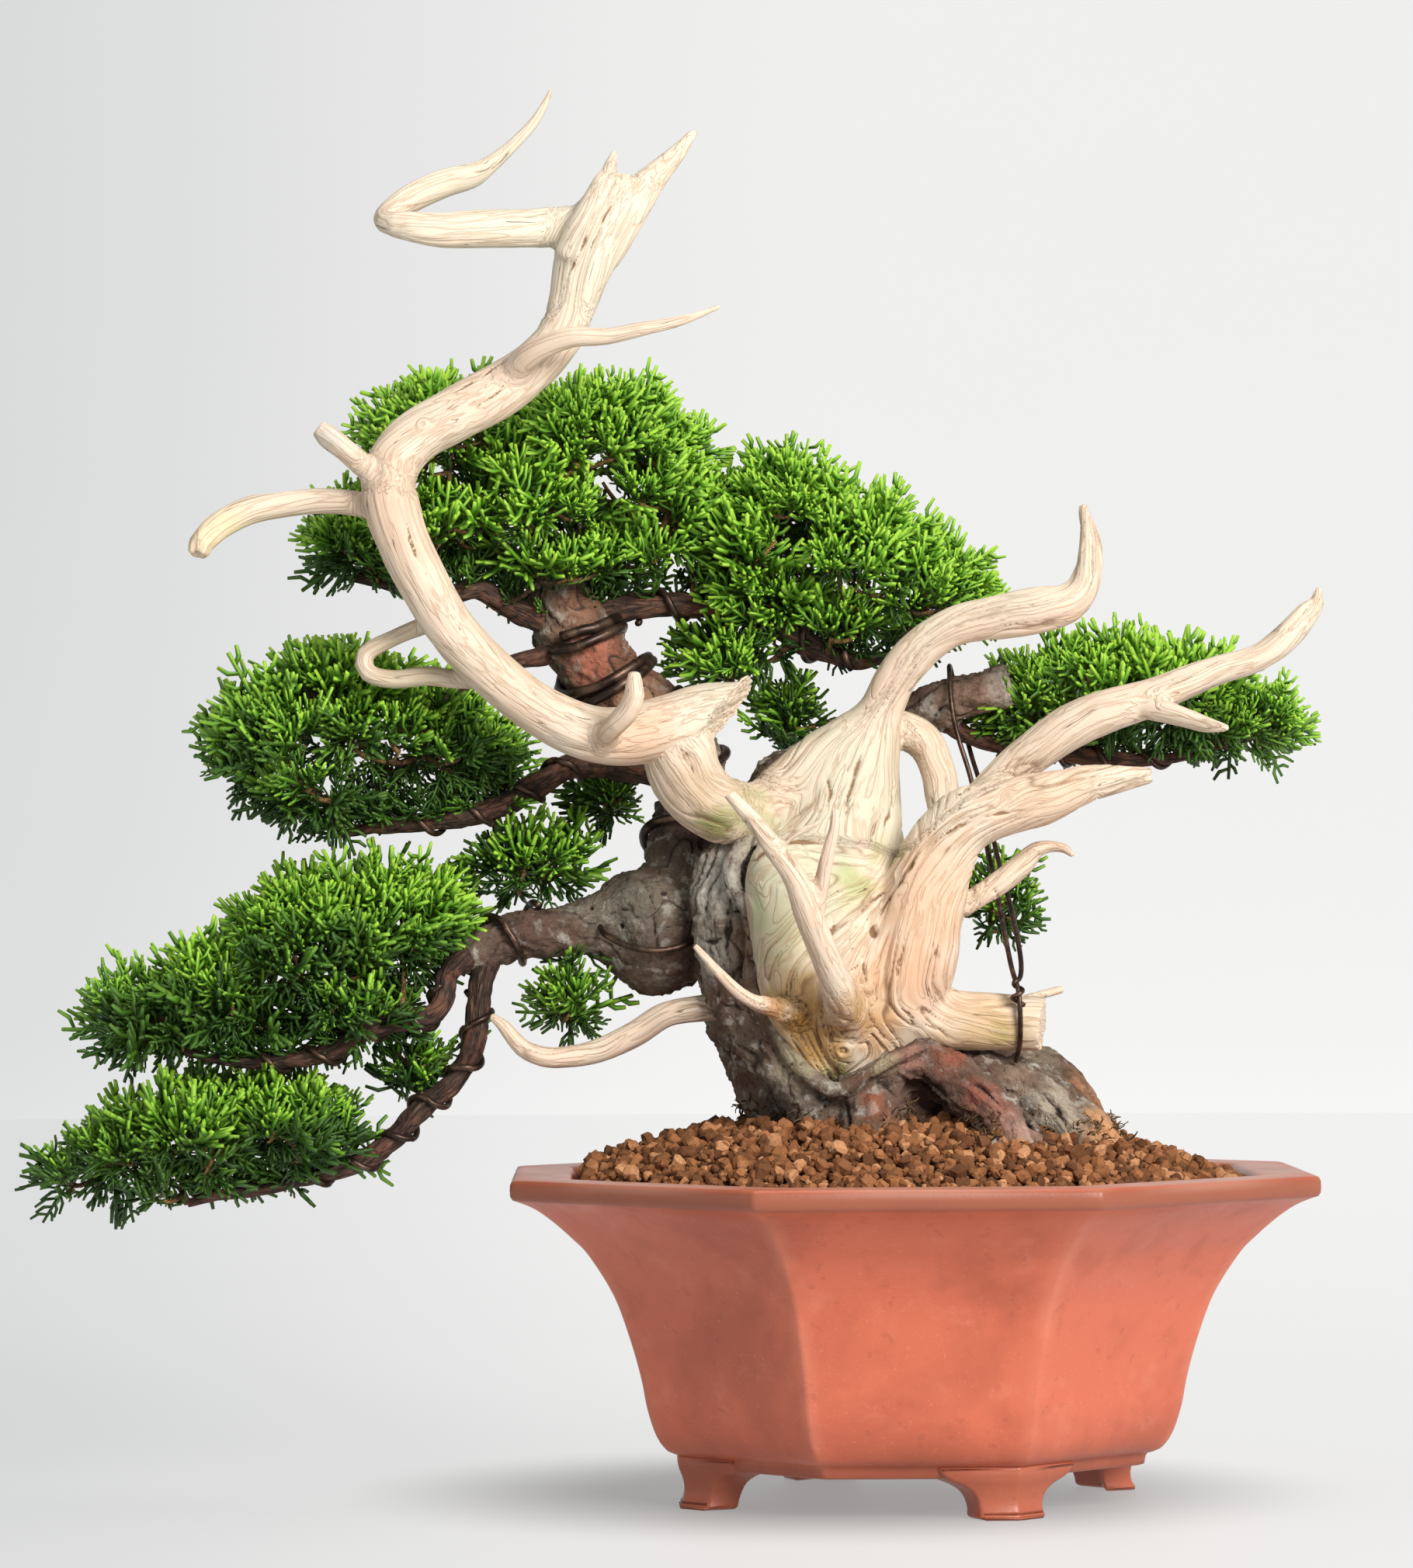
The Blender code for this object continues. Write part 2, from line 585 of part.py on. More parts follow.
def octagon_shell(profile, per_side=1):
    """Rings of the pot's octagon, joined from the first to the last and closed at both ends."""
    bm = bmesh.new()
    rings = []
    for radius, z in profile:
        ring = []
        for i in range(POT_SIDES):
            start, end = corner(radius, i, z), corner(radius, i + 1, z)
            ring += [bm.verts.new(start.lerp(end, k / per_side) * MM) for k in range(per_side)]
        rings.append(ring)
    size = len(rings[0])
    for lower, upper in zip(rings, rings[1:]):
        for k in range(size):
            j = (k + 1) % size
            bm.faces.new((lower[k], lower[j], upper[j], upper[k]))
    bm.faces.new(list(reversed(rings[0])))
    bm.faces.new(rings[-1])
    return bm


def foot_mesh(index):
    """One foot, a chevron that follows a corner of the pot and draws in below it."""
    bm = bmesh.new()
    rings = []
    for z, half, radius, thick in reversed(FOOT_LEVELS):
        tip = corner(radius, index, z)
        along = [(corner(radius, index + s, z) - tip).normalized() for s in (-1, 1)]
        inward = -corner(1.0, index, 0.0)
        outer = [tip + along[0] * half, tip, tip + along[1] * half]
        depth = thick / math.cos(math.radians(180.0 / POT_SIDES))
        inner = [p + inward * depth for p in reversed(outer)]
        rings.append([bm.verts.new(p * MM) for p in outer + inner])
    for lower, upper in zip(rings, rings[1:]):
        for k in range(6):
            j = (k + 1) % 6
            bm.faces.new((lower[k], lower[j], upper[j], upper[k]))
    bm.faces.new(list(reversed(rings[0])))
    bm.faces.new(rings[-1])
    return bm


def boolean(target, other, operation):
    """Apply one Boolean and drop the other object."""
    step = target.modifiers.new(operation.title(), "BOOLEAN")
    step.operation = operation
    step.object = other
    settle(target)
    bpy.data.objects.remove(other, do_unlink=True)


def make_pot():
    """The fired clay pot: walls, rim, floor with two drainage holes, and four feet."""
    pot = add_object("pot", octagon_shell(POT_OUTER + POT_INNER), "terracotta")
    for index in (0, 2, 4, 6):
        boolean(pot, add_object("foot", foot_mesh(index)), "UNION")
    for x in (-DRAIN_HOLE_X, DRAIN_HOLE_X):
        drill = add_object("drill", rod_mesh((x, 0, 17), DRAIN_HOLE_RADIUS, 30, 20))
        boolean(pot, drill, "DIFFERENCE")
    return pot


def make_drainage():
    """A mesh screen over each drainage hole, and the wire clip that holds it down."""
    made = []
    for side, x in (("left", -DRAIN_HOLE_X), ("right", DRAIN_HOLE_X)):
        over = FLOOR_Z + GAP + SCREEN_THICK + GAP + CLIP_RADIUS
        under = BASE_Z - GAP - CLIP_RADIUS
        route = (
            (x - 15, 0, under, CLIP_RADIUS), (x - CLIP_HALF_SPAN - 1, 0, under, CLIP_RADIUS),
            (x - CLIP_HALF_SPAN, 0, under + 1, CLIP_RADIUS),
            (x - CLIP_HALF_SPAN, 0, over - 1, CLIP_RADIUS),
            (x - CLIP_HALF_SPAN + 1, 0, over, CLIP_RADIUS),
            (x + CLIP_HALF_SPAN - 1, 0, over, CLIP_RADIUS),
            (x + CLIP_HALF_SPAN, 0, over - 1, CLIP_RADIUS),
            (x + CLIP_HALF_SPAN, 0, under + 1, CLIP_RADIUS),
            (x + CLIP_HALF_SPAN + 1, 0, under, CLIP_RADIUS), (x + 15, 0, under, CLIP_RADIUS),
        )
        bm = bmesh.new()
        add_tube(bm, route, 6)
        clip = add_object(f"screen_clip_{side}", bm, "copper_wire")
        middle = (x, 0, FLOOR_Z + GAP + SCREEN_THICK / 2)
        size = (SCREEN_SIDE, SCREEN_SIDE, SCREEN_THICK)
        screen = add_object(f"drain_screen_{side}", box_mesh(middle, size), "screen_mesh")
        for leg in (x - CLIP_HALF_SPAN, x + CLIP_HALF_SPAN):
            hole = add_object("hole", rod_mesh((leg, 0, middle[2]), CLIP_RADIUS + GAP, 4.0, 10))
            boolean(screen, hole, "DIFFERENCE")
        made += [screen, clip]
    return made


def box_mesh(middle, size):
    """A box about its middle, millimetres."""
    bm = bmesh.new()
    place = Matrix.Translation(Vector(middle) * MM)
    bmesh.ops.create_cube(bm, size=1.0, matrix=place @ Matrix.Diagonal((*(s * MM for s in size), 1)))
    return bm


def rod_mesh(middle, radius, length, sides):
    """An upright rod about its middle, millimetres."""
    bm = bmesh.new()
    bmesh.ops.create_cone(
        bm, cap_ends=True, segments=sides, radius1=radius * MM, radius2=radius * MM,
        depth=length * MM, matrix=Matrix.Translation(Vector(middle) * MM),
    )
    return bm


def soil_height(x, y):
    """The mounded surface of the soil, millimetres."""
    reach = math.hypot(x + 6.0, y - 4.0) / 112.0
    return SOIL_EDGE_Z + SOIL_RISE * max(0.0, 1.0 - reach ** 2.1)


def make_soil(chance):
    """The granular soil that fills the pot up to a low mound."""
    profile = [(r - 1.1 * GAP, z + (GAP if z < 23 else 0.0)) for r, z in reversed(POT_INNER)]
    profile = [p for p in profile if p[1] < SOIL_EDGE_Z - 2]
    bm = octagon_shell(profile + [(112.4 - GAP, 97.0)], per_side=2)
    bm.faces.ensure_lookup_table()
    top = max(bm.faces, key=lambda f: f.calc_center_median().z)
    rim = list(top.verts)
    bmesh.ops.delete(bm, geom=[top], context="FACES_ONLY")
    previous = rim
    for share in (0.84, 0.64, 0.44, 0.22):
        ring = []
        for vert in rim:
            x, y = vert.co.x / MM * share, vert.co.y / MM * share
            z = soil_height(x, y) + chance.uniform(-0.7, 0.7)
            ring.append(bm.verts.new(Vector((x, y, z)) * MM))
        for k in range(len(ring)):
            j = (k + 1) % len(ring)
            bm.faces.new((previous[k], previous[j], ring[j], ring[k]))
        previous = ring
    middle = bm.verts.new(Vector((0, 0, soil_height(0, 0))) * MM)
    for k in range(len(previous)):
        bm.faces.new((previous[k], previous[(k + 1) % len(previous)], middle))
    bmesh.ops.triangulate(bm, faces=bm.faces[:])
    soil = add_object("soil", bm, "soil")
    pocket = SCREEN_SIDE + 2 * GAP
    for x in (-DRAIN_HOLE_X, DRAIN_HOLE_X):
        room = add_object("pocket", box_mesh((x, 0, FLOOR_Z), (pocket, pocket, 2 * POCKET_RISE)))
        boolean(soil, room, "DIFFERENCE")
    return soil


def make_wood(name, members, slot, voxel, triangles, sides=14):
    """Grow several members together into one piece of wood."""
    bm = bmesh.new()
    for stations in members.values():
        add_tube(bm, smooth_route(stations, 4.0), sides)
    wood = add_object(name, bm, slot)
    fuse(wood, voxel, triangles)
    return wood


def make_limb(name, stations, slot, sides=8, step=6.0):
    """One swept limb, branch or jin."""
    bm = bmesh.new()
    add_tube(bm, smooth_route(stations, step), sides)
    return add_object(name, bm, slot)


def make_foliage(name, lobes, voxel, triangles, twig=()):
    """One foliage pad: its lobes grown together, with the twig that carries it."""
    bm = bmesh.new()
    for x, y, z, rx, ry, rz in lobes:
        bmesh.ops.create_icosphere(
            bm, subdivisions=3, radius=1.0,
            matrix=Matrix.Translation(Vector((x, y, z)) * MM)
            @ Matrix.Diagonal((rx * MM, ry * MM, rz * MM, 1)),
        )
    if twig:
        add_tube(bm, smooth_route(twig, 4.0), 8)
    pad = add_object(name, bm, "foliage")
    fuse(pad, voxel, triangles)
    return pad


def wire_round(name, stations, start, end, pitch, radius, segments=8, sides=5, turn=0.0, off=0.9):
    """Training wire wound round a branch.

    Args:
        name: the wire's name.
        stations: the branch.
        start, end: shares of the branch's length that the wire covers.
        pitch: how far the wire advances in a turn, millimetres.
        radius: half the wire's thickness.
        segments: straight pieces in each turn.
        sides: corners of the wire's section.
        turn: where the first turn starts, radians.
        off: how far the wire stands off the bark.

    Returns:
        The wire.
    """
    fine = smooth_route(stations, 1.0)
    places = [Vector(p[:3]) for p in fine]
    frames = frames_along(places)
    first, last = int(start * (len(fine) - 1)), int(end * (len(fine) - 1))
    length = 0.0
    stops = [0.0]
    for i in range(first, last):
        length += (places[i + 1] - places[i]).length
        stops.append(length)
    count = max(3, round(length / pitch * segments))
    route = []
    at = 0
    for k in range(count + 1):
        wanted = length * k / count
        while at < len(stops) - 2 and stops[at + 1] < wanted:
            at += 1
        i = first + at
        share = (wanted - stops[at]) / max(1e-6, stops[at + 1] - stops[at])
        place = places[i].lerp(places[i + 1], share)
        _, normal, across = frames[i]
        thick = fine[i][3] + (fine[i + 1][3] - fine[i][3]) * share
        angle = turn + math.tau * wanted / pitch
        out = normal * math.cos(angle) + across * math.sin(angle)
        route.append((*(place + out * (thick + radius + off)), radius))
    bm = bmesh.new()
    add_tube(bm, route, sides)
    return add_object(name, bm, "copper_wire")


def make_guy_wire():
    """The guy wire that holds the stub down to a root."""
    bm = bmesh.new()
    add_tube(bm, [(*p, GUY_RADIUS) for p in smooth_route(GUY_WIRE, 7.0)], 5)
    return add_object("guy_wire", bm, "copper_wire")


def plant_all(pieces):
    """Stand every piece on the pot's axis, off the middle of the whole object."""
    stand = bpy.data.objects.new("stand", None)
    bpy.context.scene.collection.objects.link(stand)
    stand.location = (POT_AXIS_X * MM, 0, 0)
    for piece in pieces:
        piece.parent = stand


def main():
    clear_scene()
    chance = random.Random(7)

    pot = make_pot()
    drainage = make_drainage()

    deadwood = make_wood("trunk_deadwood", DEADWOOD_TRUNK, "deadwood", 2.2, 1100)
    live = make_wood("trunk_live", LIVE_TRUNK, "bark", 2.4, 1200)
    carve(live, deadwood)
    keep_largest(live)
    arch = make_wood("jin_arch", ARCH, "deadwood", 1.6, 700)
    clear_of(arch, [deadwood, live])
    wood = [deadwood, live, arch]

    jins = (
        ("jin_hook", HOOK_JIN), ("jin_side", SIDE_JIN), ("jin_left_stub", LEFT_STUB_JIN),
        ("jin_left", LEFT_JIN), ("jin_loop", LOOP_JIN), ("jin_heel", HEEL_JIN), ("jin_long_right", LONG_JIN),
        ("jin_long_side", LONG_SIDE_JIN), ("jin_lower_hook", LOWER_HOOK_JIN), ("jin_sliver", SLIVER_JIN),
        ("jin_front", FRONT_JIN), ("jin_front_twig", FRONT_TWIG_JIN), ("jin_small_twig", SMALL_TWIG_JIN),
        ("jin_low_left", LOW_LEFT_JIN),
    )
    for name, stations in jins:
        limb = make_limb(name, stations, "deadwood", sides=7, step=7.5)
        clear_of(limb, wood)
        wood.append(limb)

    branches = (
        ("branch_mid_left", MID_LEFT_BRANCH), ("branch_lowest", LOWEST_BRANCH),
        ("branch_low_left", LOW_LEFT_BRANCH), ("branch_apex_right", APEX_RIGHT_BRANCH),
        ("branch_apex_left", APEX_LEFT_BRANCH), ("branch_left_stem", LEFT_STEM),
        ("branch_right", RIGHT_BRANCH),
    )
    for name, stations in branches:
        limb = make_limb(name, stations, "twig_bark", sides=7, step=8.0)
        clear_of(limb, wood)
        wood.append(limb)

    wires = [
        wire_round("wire_upper_stem", LIVE_TRUNK["upper_stem"], 0.12, 0.86, 25, 1.9, 12, 6, 0.6, 1.4),
        wire_round("wire_mid_left", MID_LEFT_BRANCH, 0.24, 0.86, 17, 1.2, turn=1.0),
        wire_round("wire_lowest", LOWEST_BRANCH, 0.16, 0.7, 17, 1.2, turn=2.0),
        wire_round("wire_low_left", LOW_LEFT_BRANCH, 0.22, 0.8, 17, 1.1, turn=0.4),
        wire_round("wire_apex_right", APEX_RIGHT_BRANCH, 0.22, 0.85, 17, 1.3, turn=1.6),
        wire_round("wire_right", RIGHT_BRANCH, 0.3, 0.85, 16, 1.0, turn=0.2),
        make_guy_wire(),
    ]
    for wire in wires:
        clear_of(wire, wood + [w for w in wires if w is not wire])
    wood += wires

    foliage = [make_foliage(n, lobes, 4.0, 240) for n, lobes in FOLIAGE.items()]
    foliage += [make_foliage(n, lobes, 1.6, 100, twig) for n, (lobes, twig) in TUFTS.items()]
    done = list(wood)
    for pad in foliage:
        for name, stations in branches:
            if name in WIRED:
                carve_sleeve(pad, name, stations)
        clear_of(pad, done, 1.5 * GAP)
        done.append(pad)

    soil = make_soil(chance)
    clear_of(soil, [live, deadwood, *wires])
    plant_all([pot, *drainage, *done, soil])


if __name__ == "__main__":
    main()
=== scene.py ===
"""A juniper bonsai in an eight sided clay pot: its looks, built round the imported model.

Sizes are in millimetres from the pot's axis on the ground, and become metres when a piece is published.
"""

import sys
import logging
import math
import random
from dataclasses import dataclass, field
from enum import Enum
from typing import Iterable, Sequence

import bmesh
import bpy
import numpy as np
from mathutils import Matrix, Vector


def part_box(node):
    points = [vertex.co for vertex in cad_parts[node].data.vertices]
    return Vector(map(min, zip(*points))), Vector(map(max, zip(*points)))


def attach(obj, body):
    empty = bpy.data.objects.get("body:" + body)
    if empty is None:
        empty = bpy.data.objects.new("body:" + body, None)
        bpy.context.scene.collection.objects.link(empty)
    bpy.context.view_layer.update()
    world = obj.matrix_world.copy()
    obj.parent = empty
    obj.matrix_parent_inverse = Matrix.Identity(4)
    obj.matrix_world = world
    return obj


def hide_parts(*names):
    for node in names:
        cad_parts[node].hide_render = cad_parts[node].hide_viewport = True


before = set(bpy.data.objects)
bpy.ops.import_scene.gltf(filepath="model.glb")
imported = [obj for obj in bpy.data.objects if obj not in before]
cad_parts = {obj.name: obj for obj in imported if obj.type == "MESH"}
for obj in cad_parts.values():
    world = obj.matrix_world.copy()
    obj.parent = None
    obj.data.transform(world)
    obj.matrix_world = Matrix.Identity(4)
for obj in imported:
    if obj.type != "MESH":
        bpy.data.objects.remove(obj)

LOG = logging.getLogger("bonsai")
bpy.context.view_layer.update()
MM = 0.001
BODY = "root"
POT_LOW, POT_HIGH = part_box("pot")
AXIS = np.array(((POT_LOW.x + POT_HIGH.x) / 2, (POT_LOW.y + POT_HIGH.y) / 2, POT_LOW.z))
UNDERSIDE = -0.25  # a normal that points down more steeply is under its pad
GOLDEN_TURN = math.pi * (3.0 - math.sqrt(5.0))
MOST_TRIANGLES = 192_000

Station = tuple[float, ...]
Colour = tuple[float, float, float]
Array = np.ndarray
Pair = tuple[bpy.types.NodeSocket, bpy.types.NodeSocket]


class Slot(Enum):
    """The record's finishes."""

    TERRACOTTA = "terracotta"
    SOIL = "soil"
    BARK = "bark"
    DEADWOOD = "deadwood"
    TWIG_BARK = "twig_bark"
    FOLIAGE = "foliage"
    WIRE = "copper_wire"
    SCREEN = "screen_mesh"


# ---- workshop: noise, lines and skins ---------------------------------------------------------


class Noise:
    """Smooth noise in three dimensions that is the same on each run."""

    def __init__(self, seed: int) -> None:
        """Shuffle the lattice.

        Args:
            seed: picks the pattern.
        """
        chance = np.random.default_rng(seed)
        self.turns = chance.permutation(256)
        slopes = chance.normal(size=(256, 3))
        self.slopes = slopes / np.linalg.norm(slopes, axis=1)[:, None]

    def at(self, points: Array, size: float | Sequence[float]) -> Array:
        """Read the noise, from about -1 to 1.

        Args:
            points: places, one a row.
            size: how large a wave is, the same in each direction or one for each.

        Returns:
            One value for each place.
        """
        p = points / np.asarray(size, float)
        cell = np.floor(p).astype(np.int64)
        f = p - cell
        fade = f * f * f * (f * (f * 6 - 15) + 10)
        total = np.zeros(len(p))
        for corner in np.ndindex(2, 2, 2):
            at = (cell + corner) & 255
            index = self.turns[(self.turns[(self.turns[at[:, 0]] + at[:, 1]) & 255] + at[:, 2]) & 255]
            slope = np.einsum("ij,ij->i", self.slopes[index], f - corner)
            total += slope * np.prod(np.where(corner, fade, 1 - fade), axis=1)
        return 1.7 * total

    def layers(self, points: Array, size: float | Sequence[float], count: int) -> Array:
        """Add finer and fainter layers of the noise.

        Args:
            points: places, one a row.
            size: the size of the coarsest wave.
            count: how many layers.

        Returns:
            One value for each place.
        """
        size = np.asarray(size, float)
        return sum(self.at(points + 37.0 * k, size / 2**k) / 2**k for k in range(count))


def billow(noise: Noise, points: Array, size: float | Sequence[float], count: int) -> Array:
    """Layered round lumps with sharp creases between them, from 0 up."""
    size = np.asarray(size, float)
    return sum(np.abs(noise.at(points + 31.0 * k, size / 2**k)) / 2**k for k in range(count))


def smoothstep(values: Array, low: float, high: float) -> Array:
    """Ease from 0 at low to 1 at high."""
    t = np.clip((values - low) / (high - low), 0.0, 1.0)
    return t * t * (3 - 2 * t)


def extruded(bm: bmesh.types.BMesh, edges: Sequence[bmesh.types.BMEdge]) -> tuple[list, list]:
    """Extrude a ring of edges; gives the new corners and the new edges."""
    grown = bmesh.ops.extrude_edge_only(bm, edges=edges)["geom"]
    verts = [g for g in grown if isinstance(g, bmesh.types.BMVert)]
    known = set(verts)
    return verts, [g for g in grown if isinstance(g, bmesh.types.BMEdge) and set(g.verts) <= known]


class Line:
    """A smooth line with a thickness, and a frame that faces the front along it."""

    def __init__(self, stations: Iterable[Station], step: float) -> None:
        """Read a curve through the stations.

        Args:
            stations: x, y, z and radius.
            step: about how far apart the places on it are.
        """
        given = np.array([s[:4] for s in stations], float)
        padded = np.vstack([2 * given[0] - given[1], given, 2 * given[-1] - given[-2]])
        rows = []
        for a, b, c, d in zip(padded, padded[1:], padded[2:], padded[3:]):
            count = max(1, round(float(np.linalg.norm((c - b)[:3])) / step))
            t = (np.arange(count) / count)[:, None]
            rows.append(0.5 * (2 * b + (c - a) * t + (2 * a - 5 * b + 4 * c - d) * t**2
                               + (3 * b - a - 3 * c + d) * t**3))
        rows.append(given[-1:])
        rows = np.vstack(rows)
        self.places, self.radii = rows[:, :3], np.maximum(rows[:, 3], 0.15)
        ahead = np.vstack([self.places[1:], 2 * self.places[-1:] - self.places[-2:-1]])
        behind = np.vstack([2 * self.places[:1] - self.places[1:2], self.places[:-1]])
        gaps = np.linalg.norm(np.diff(self.places, axis=0), axis=1)
        self.runs = np.concatenate([[0.0], np.cumsum(gaps)])
        self.tangents = (ahead - behind) / np.linalg.norm(ahead - behind, axis=1)[:, None]
        self.normals = np.zeros_like(self.places)
        front = np.array((0.03, -1.0, 0.05))
        normal = front
        for i, tangent in enumerate(self.tangents):
            flat = normal - tangent * (normal @ tangent)
            pull = front - tangent * (front @ tangent)
            normal = flat + 0.12 * pull if i else (pull if pull @ pull > 0.02 else np.cross(tangent, (1, 0, 0)))
            normal = normal / np.linalg.norm(normal)
            self.normals[i] = normal
        self.crosses = np.cross(self.tangents, self.normals)

    @property
    def length(self) -> float:
        """How long the line is."""
        return float(self.runs[-1])

    def rings(self) -> list[Matrix]:
        """The place, turn and size of a ring at each place on the line."""
        made = []
        for place, n, c, t, r in zip(self.places, self.normals, self.crosses, self.tangents, self.radii):
            made.append(Matrix((
                (n[0] * r, c[0] * r, t[0], place[0]),
                (n[1] * r, c[1] * r, t[1], place[1]),
                (n[2] * r, c[2] * r, t[2], place[2]),
                (0, 0, 0, 1),
            )))
        return made

    def sweep(self, sides: int, cap: bool = True) -> bmesh.types.BMesh:
        """Draw a ring along the line.

        Args:
            sides: how many corners the ring has.
            cap: whether the first end is closed; the last always is.

        Returns:
            The tube.
        """
        bm = bmesh.new()
        rings = self.rings()
        bmesh.ops.create_circle(bm, cap_ends=cap, segments=sides, radius=1.0, matrix=rings[0])
        edges = bm.edges[:]
        for before, after in zip(rings, rings[1:]):
            verts, edges = extruded(bm, edges)
            bmesh.ops.transform(bm, matrix=after @ before.inverted(), verts=verts)
        bmesh.ops.edgeloop_fill(bm, edges=edges)
        bmesh.ops.recalc_face_normals(bm, faces=bm.faces[:])
        return bm

    def near(self, points: Array) -> tuple[Array, Array, Array]:
        """Find the nearest place on the line.

        Args:
            points: places, one a row.

        Returns:
            How far off each is, in radii, its place in the line's own frame (front, side and along), and the
            radius there.
        """
        square = (points**2).sum(1)[:, None] - 2 * points @ self.places.T + (self.places**2).sum(1)
        index = square.argmin(1)
        off = points - self.places[index]
        along = np.clip((off * self.tangents[index]).sum(1), -3.0, 3.0)
        own = np.stack([
            (off * self.normals[index]).sum(1),
            (off * self.crosses[index]).sum(1),
            self.runs[index] + along,
        ], axis=1)
        far = np.sqrt(np.maximum(square[np.arange(len(points)), index], 0.0))
        return far / self.radii[index], own, self.radii[index]


def placed(points: Array) -> Array:
    """Millimetres from the pot's axis as metres in the model's frame."""
    return points * MM + AXIS


def mesh_of(name: str, bm: bmesh.types.BMesh) -> bpy.types.Mesh:
    """Turn a bmesh in millimetres into a mesh of the same numbers, and free it."""
    mesh = bpy.data.meshes.new(name)
    bm.to_mesh(mesh)
    bm.free()
    return mesh


def add_to(target: bmesh.types.BMesh, part: bmesh.types.BMesh) -> None:
    """Move everything in one bmesh into another."""
    mesh = mesh_of("part", part)
    target.from_mesh(mesh)
    bpy.data.meshes.remove(mesh)


def points_of(mesh: bpy.types.Mesh) -> Array:
    """The places of a mesh's vertices, one a row."""
    flat = np.empty(len(mesh.vertices) * 3, np.float32)
    mesh.vertices.foreach_get("co", flat)
    return flat.reshape(-1, 3).astype(float)


def move_points(mesh: bpy.types.Mesh, points: Array) -> None:
    """Set the places of a mesh's vertices."""
    mesh.vertices.foreach_set("co", points.astype(np.float32).ravel())


def set_attribute(mesh: bpy.types.Mesh, name: str, values: Array) -> None:
    """Store one number, vector or colour on each vertex."""
    width = 1 if values.ndim == 1 else values.shape[1]
    kind, key = {1: ("FLOAT", "value"), 3: ("FLOAT_VECTOR", "vector"), 4: ("FLOAT_COLOR", "color")}[width]
    layer = mesh.attributes.new(name, kind, "POINT")
    layer.data.foreach_set(key, np.ascontiguousarray(values, np.float32).ravel())


def publish(name: str, mesh: bpy.types.Mesh, finish: bpy.types.Material,
            nodes: Sequence[str] = (), smooth: bool = True) -> bpy.types.Object:
    """Stand a mesh in millimetres in the model as a piece.

    Args:
        name: the piece's name.
        mesh: its mesh.
        finish: its material.
        nodes: the CAD nodes that it stands for.
        smooth: whether its faces are shaded smooth.

    Returns:
        The piece.
    """
    move_points(mesh, placed(points_of(mesh).astype(np.float32)))
    mesh.materials.clear()
    mesh.materials.append(finish)
    mesh.polygons.foreach_set("use_smooth", np.full(len(mesh.polygons), smooth))
    mesh.update()
    mesh.name = name
    piece = bpy.data.objects.new(name, mesh)
    bpy.context.scene.collection.objects.link(piece)
    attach(piece, BODY)
    if nodes:
        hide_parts(*nodes)
    mesh.calc_loop_triangles()
    LOG.info("%s: %d triangles", name, len(mesh.loop_triangles))
    return piece


def settled(obj: bpy.types.Object) -> bpy.types.Mesh:
    """Apply an object's modifiers, remove it, and return its mesh."""
    graph = bpy.context.evaluated_depsgraph_get()
    graph.update()
    mesh = bpy.data.meshes.new_from_object(obj.evaluated_get(graph), depsgraph=graph)
    old = obj.data
    bpy.data.objects.remove(obj, do_unlink=True)
    bpy.data.meshes.remove(old)
    return mesh


@dataclass(frozen=True)
class Limb:
    """One limb of the tree.

    Attributes:
        stations: its line.
        wind: how fast its grain winds round it, radians for each millimetre.
        fray: how much of its end is splintered, in millimetres.
        streamed: whether its grain follows the skin's streams.
    """

    stations: tuple[Station, ...]
    wind: float = 0.0
    fray: float = 0.0
    streamed: bool = False


@dataclass(frozen=True)
class Stream:
    """One line of the grain on the front of the trunk.

    Attributes:
        across: where it lies across the grain, in millimetres.
        places: x and z along it, from its foot.
    """

    across: float
    places: tuple[tuple[float, float], ...]


@dataclass(frozen=True)
class Streams:
    """Grain that flows along one set of lines below a fold, and another above it.

    Attributes:
        lower: the lines below the fold, from left to right.
        upper: the lines above it.
        fold: x and z along the fold.
        depth: how much the grain changes from front to back.
    """

    lower: tuple[Stream, ...]
    upper: tuple[Stream, ...] = ()
    fold: tuple[tuple[float, float], ...] = ()
    depth: float = 0.25

    def read(self, points: Array) -> Array:
        """Work out the grain at some places."""
        flow = self.blend(self.lower, points)
        if self.upper:
            fold = np.array(self.fold)
            below = smoothstep(np.interp(points[:, 0], fold[:, 0], fold[:, 1]) - points[:, 2], -1.5, 2.0)[:, None]
            flow = flow * below + self.blend(self.upper, points) * (1 - below)
        return np.stack([flow[:, 0], self.depth * points[:, 1], flow[:, 1]], axis=1)

    @staticmethod
    def blend(lines: Sequence[Stream], points: Array) -> Array:
        """How far across and along one set of lines each place lies."""
        spots = points[:, (0, 2)]
        total = np.zeros(len(points))
        grain = np.zeros((len(points), 2))
        for stream in lines:
            line = Line([(x, 0.0, z, 1.0) for x, z in stream.places], 1.2)
            path, ahead = line.places[:, (0, 2)], line.tangents[:, (0, 2)]
            square = (spots**2).sum(1)[:, None] - 2 * spots @ path.T + (path**2).sum(1)
            index = square.argmin(1)
            off = spots - path[index]
            side = off[:, 0] * ahead[index, 1] - off[:, 1] * ahead[index, 0]
            weight = 1 / ((off**2).sum(1) + 0.5) ** 1.6
            total += weight
            grain += weight[:, None] * np.stack([stream.across + side, line.runs[index]], axis=1)
        return grain / total[:, None]


@dataclass(frozen=True)
class Stain:
    """A soft patch of colour on a skin."""

    place: tuple[float, float, float]
    reach: float
    colour: Colour
    strength: float = 0.8


@dataclass(frozen=True)
class Knot:
    """A knot that the grain runs round."""

    place: tuple[float, float, float]
    reach: float
    rise: float


@dataclass(frozen=True)
class Crack:
    """A drying crack along a few places on the skin."""

    places: tuple[tuple[float, float, float], ...]
    width: float
    depth: float


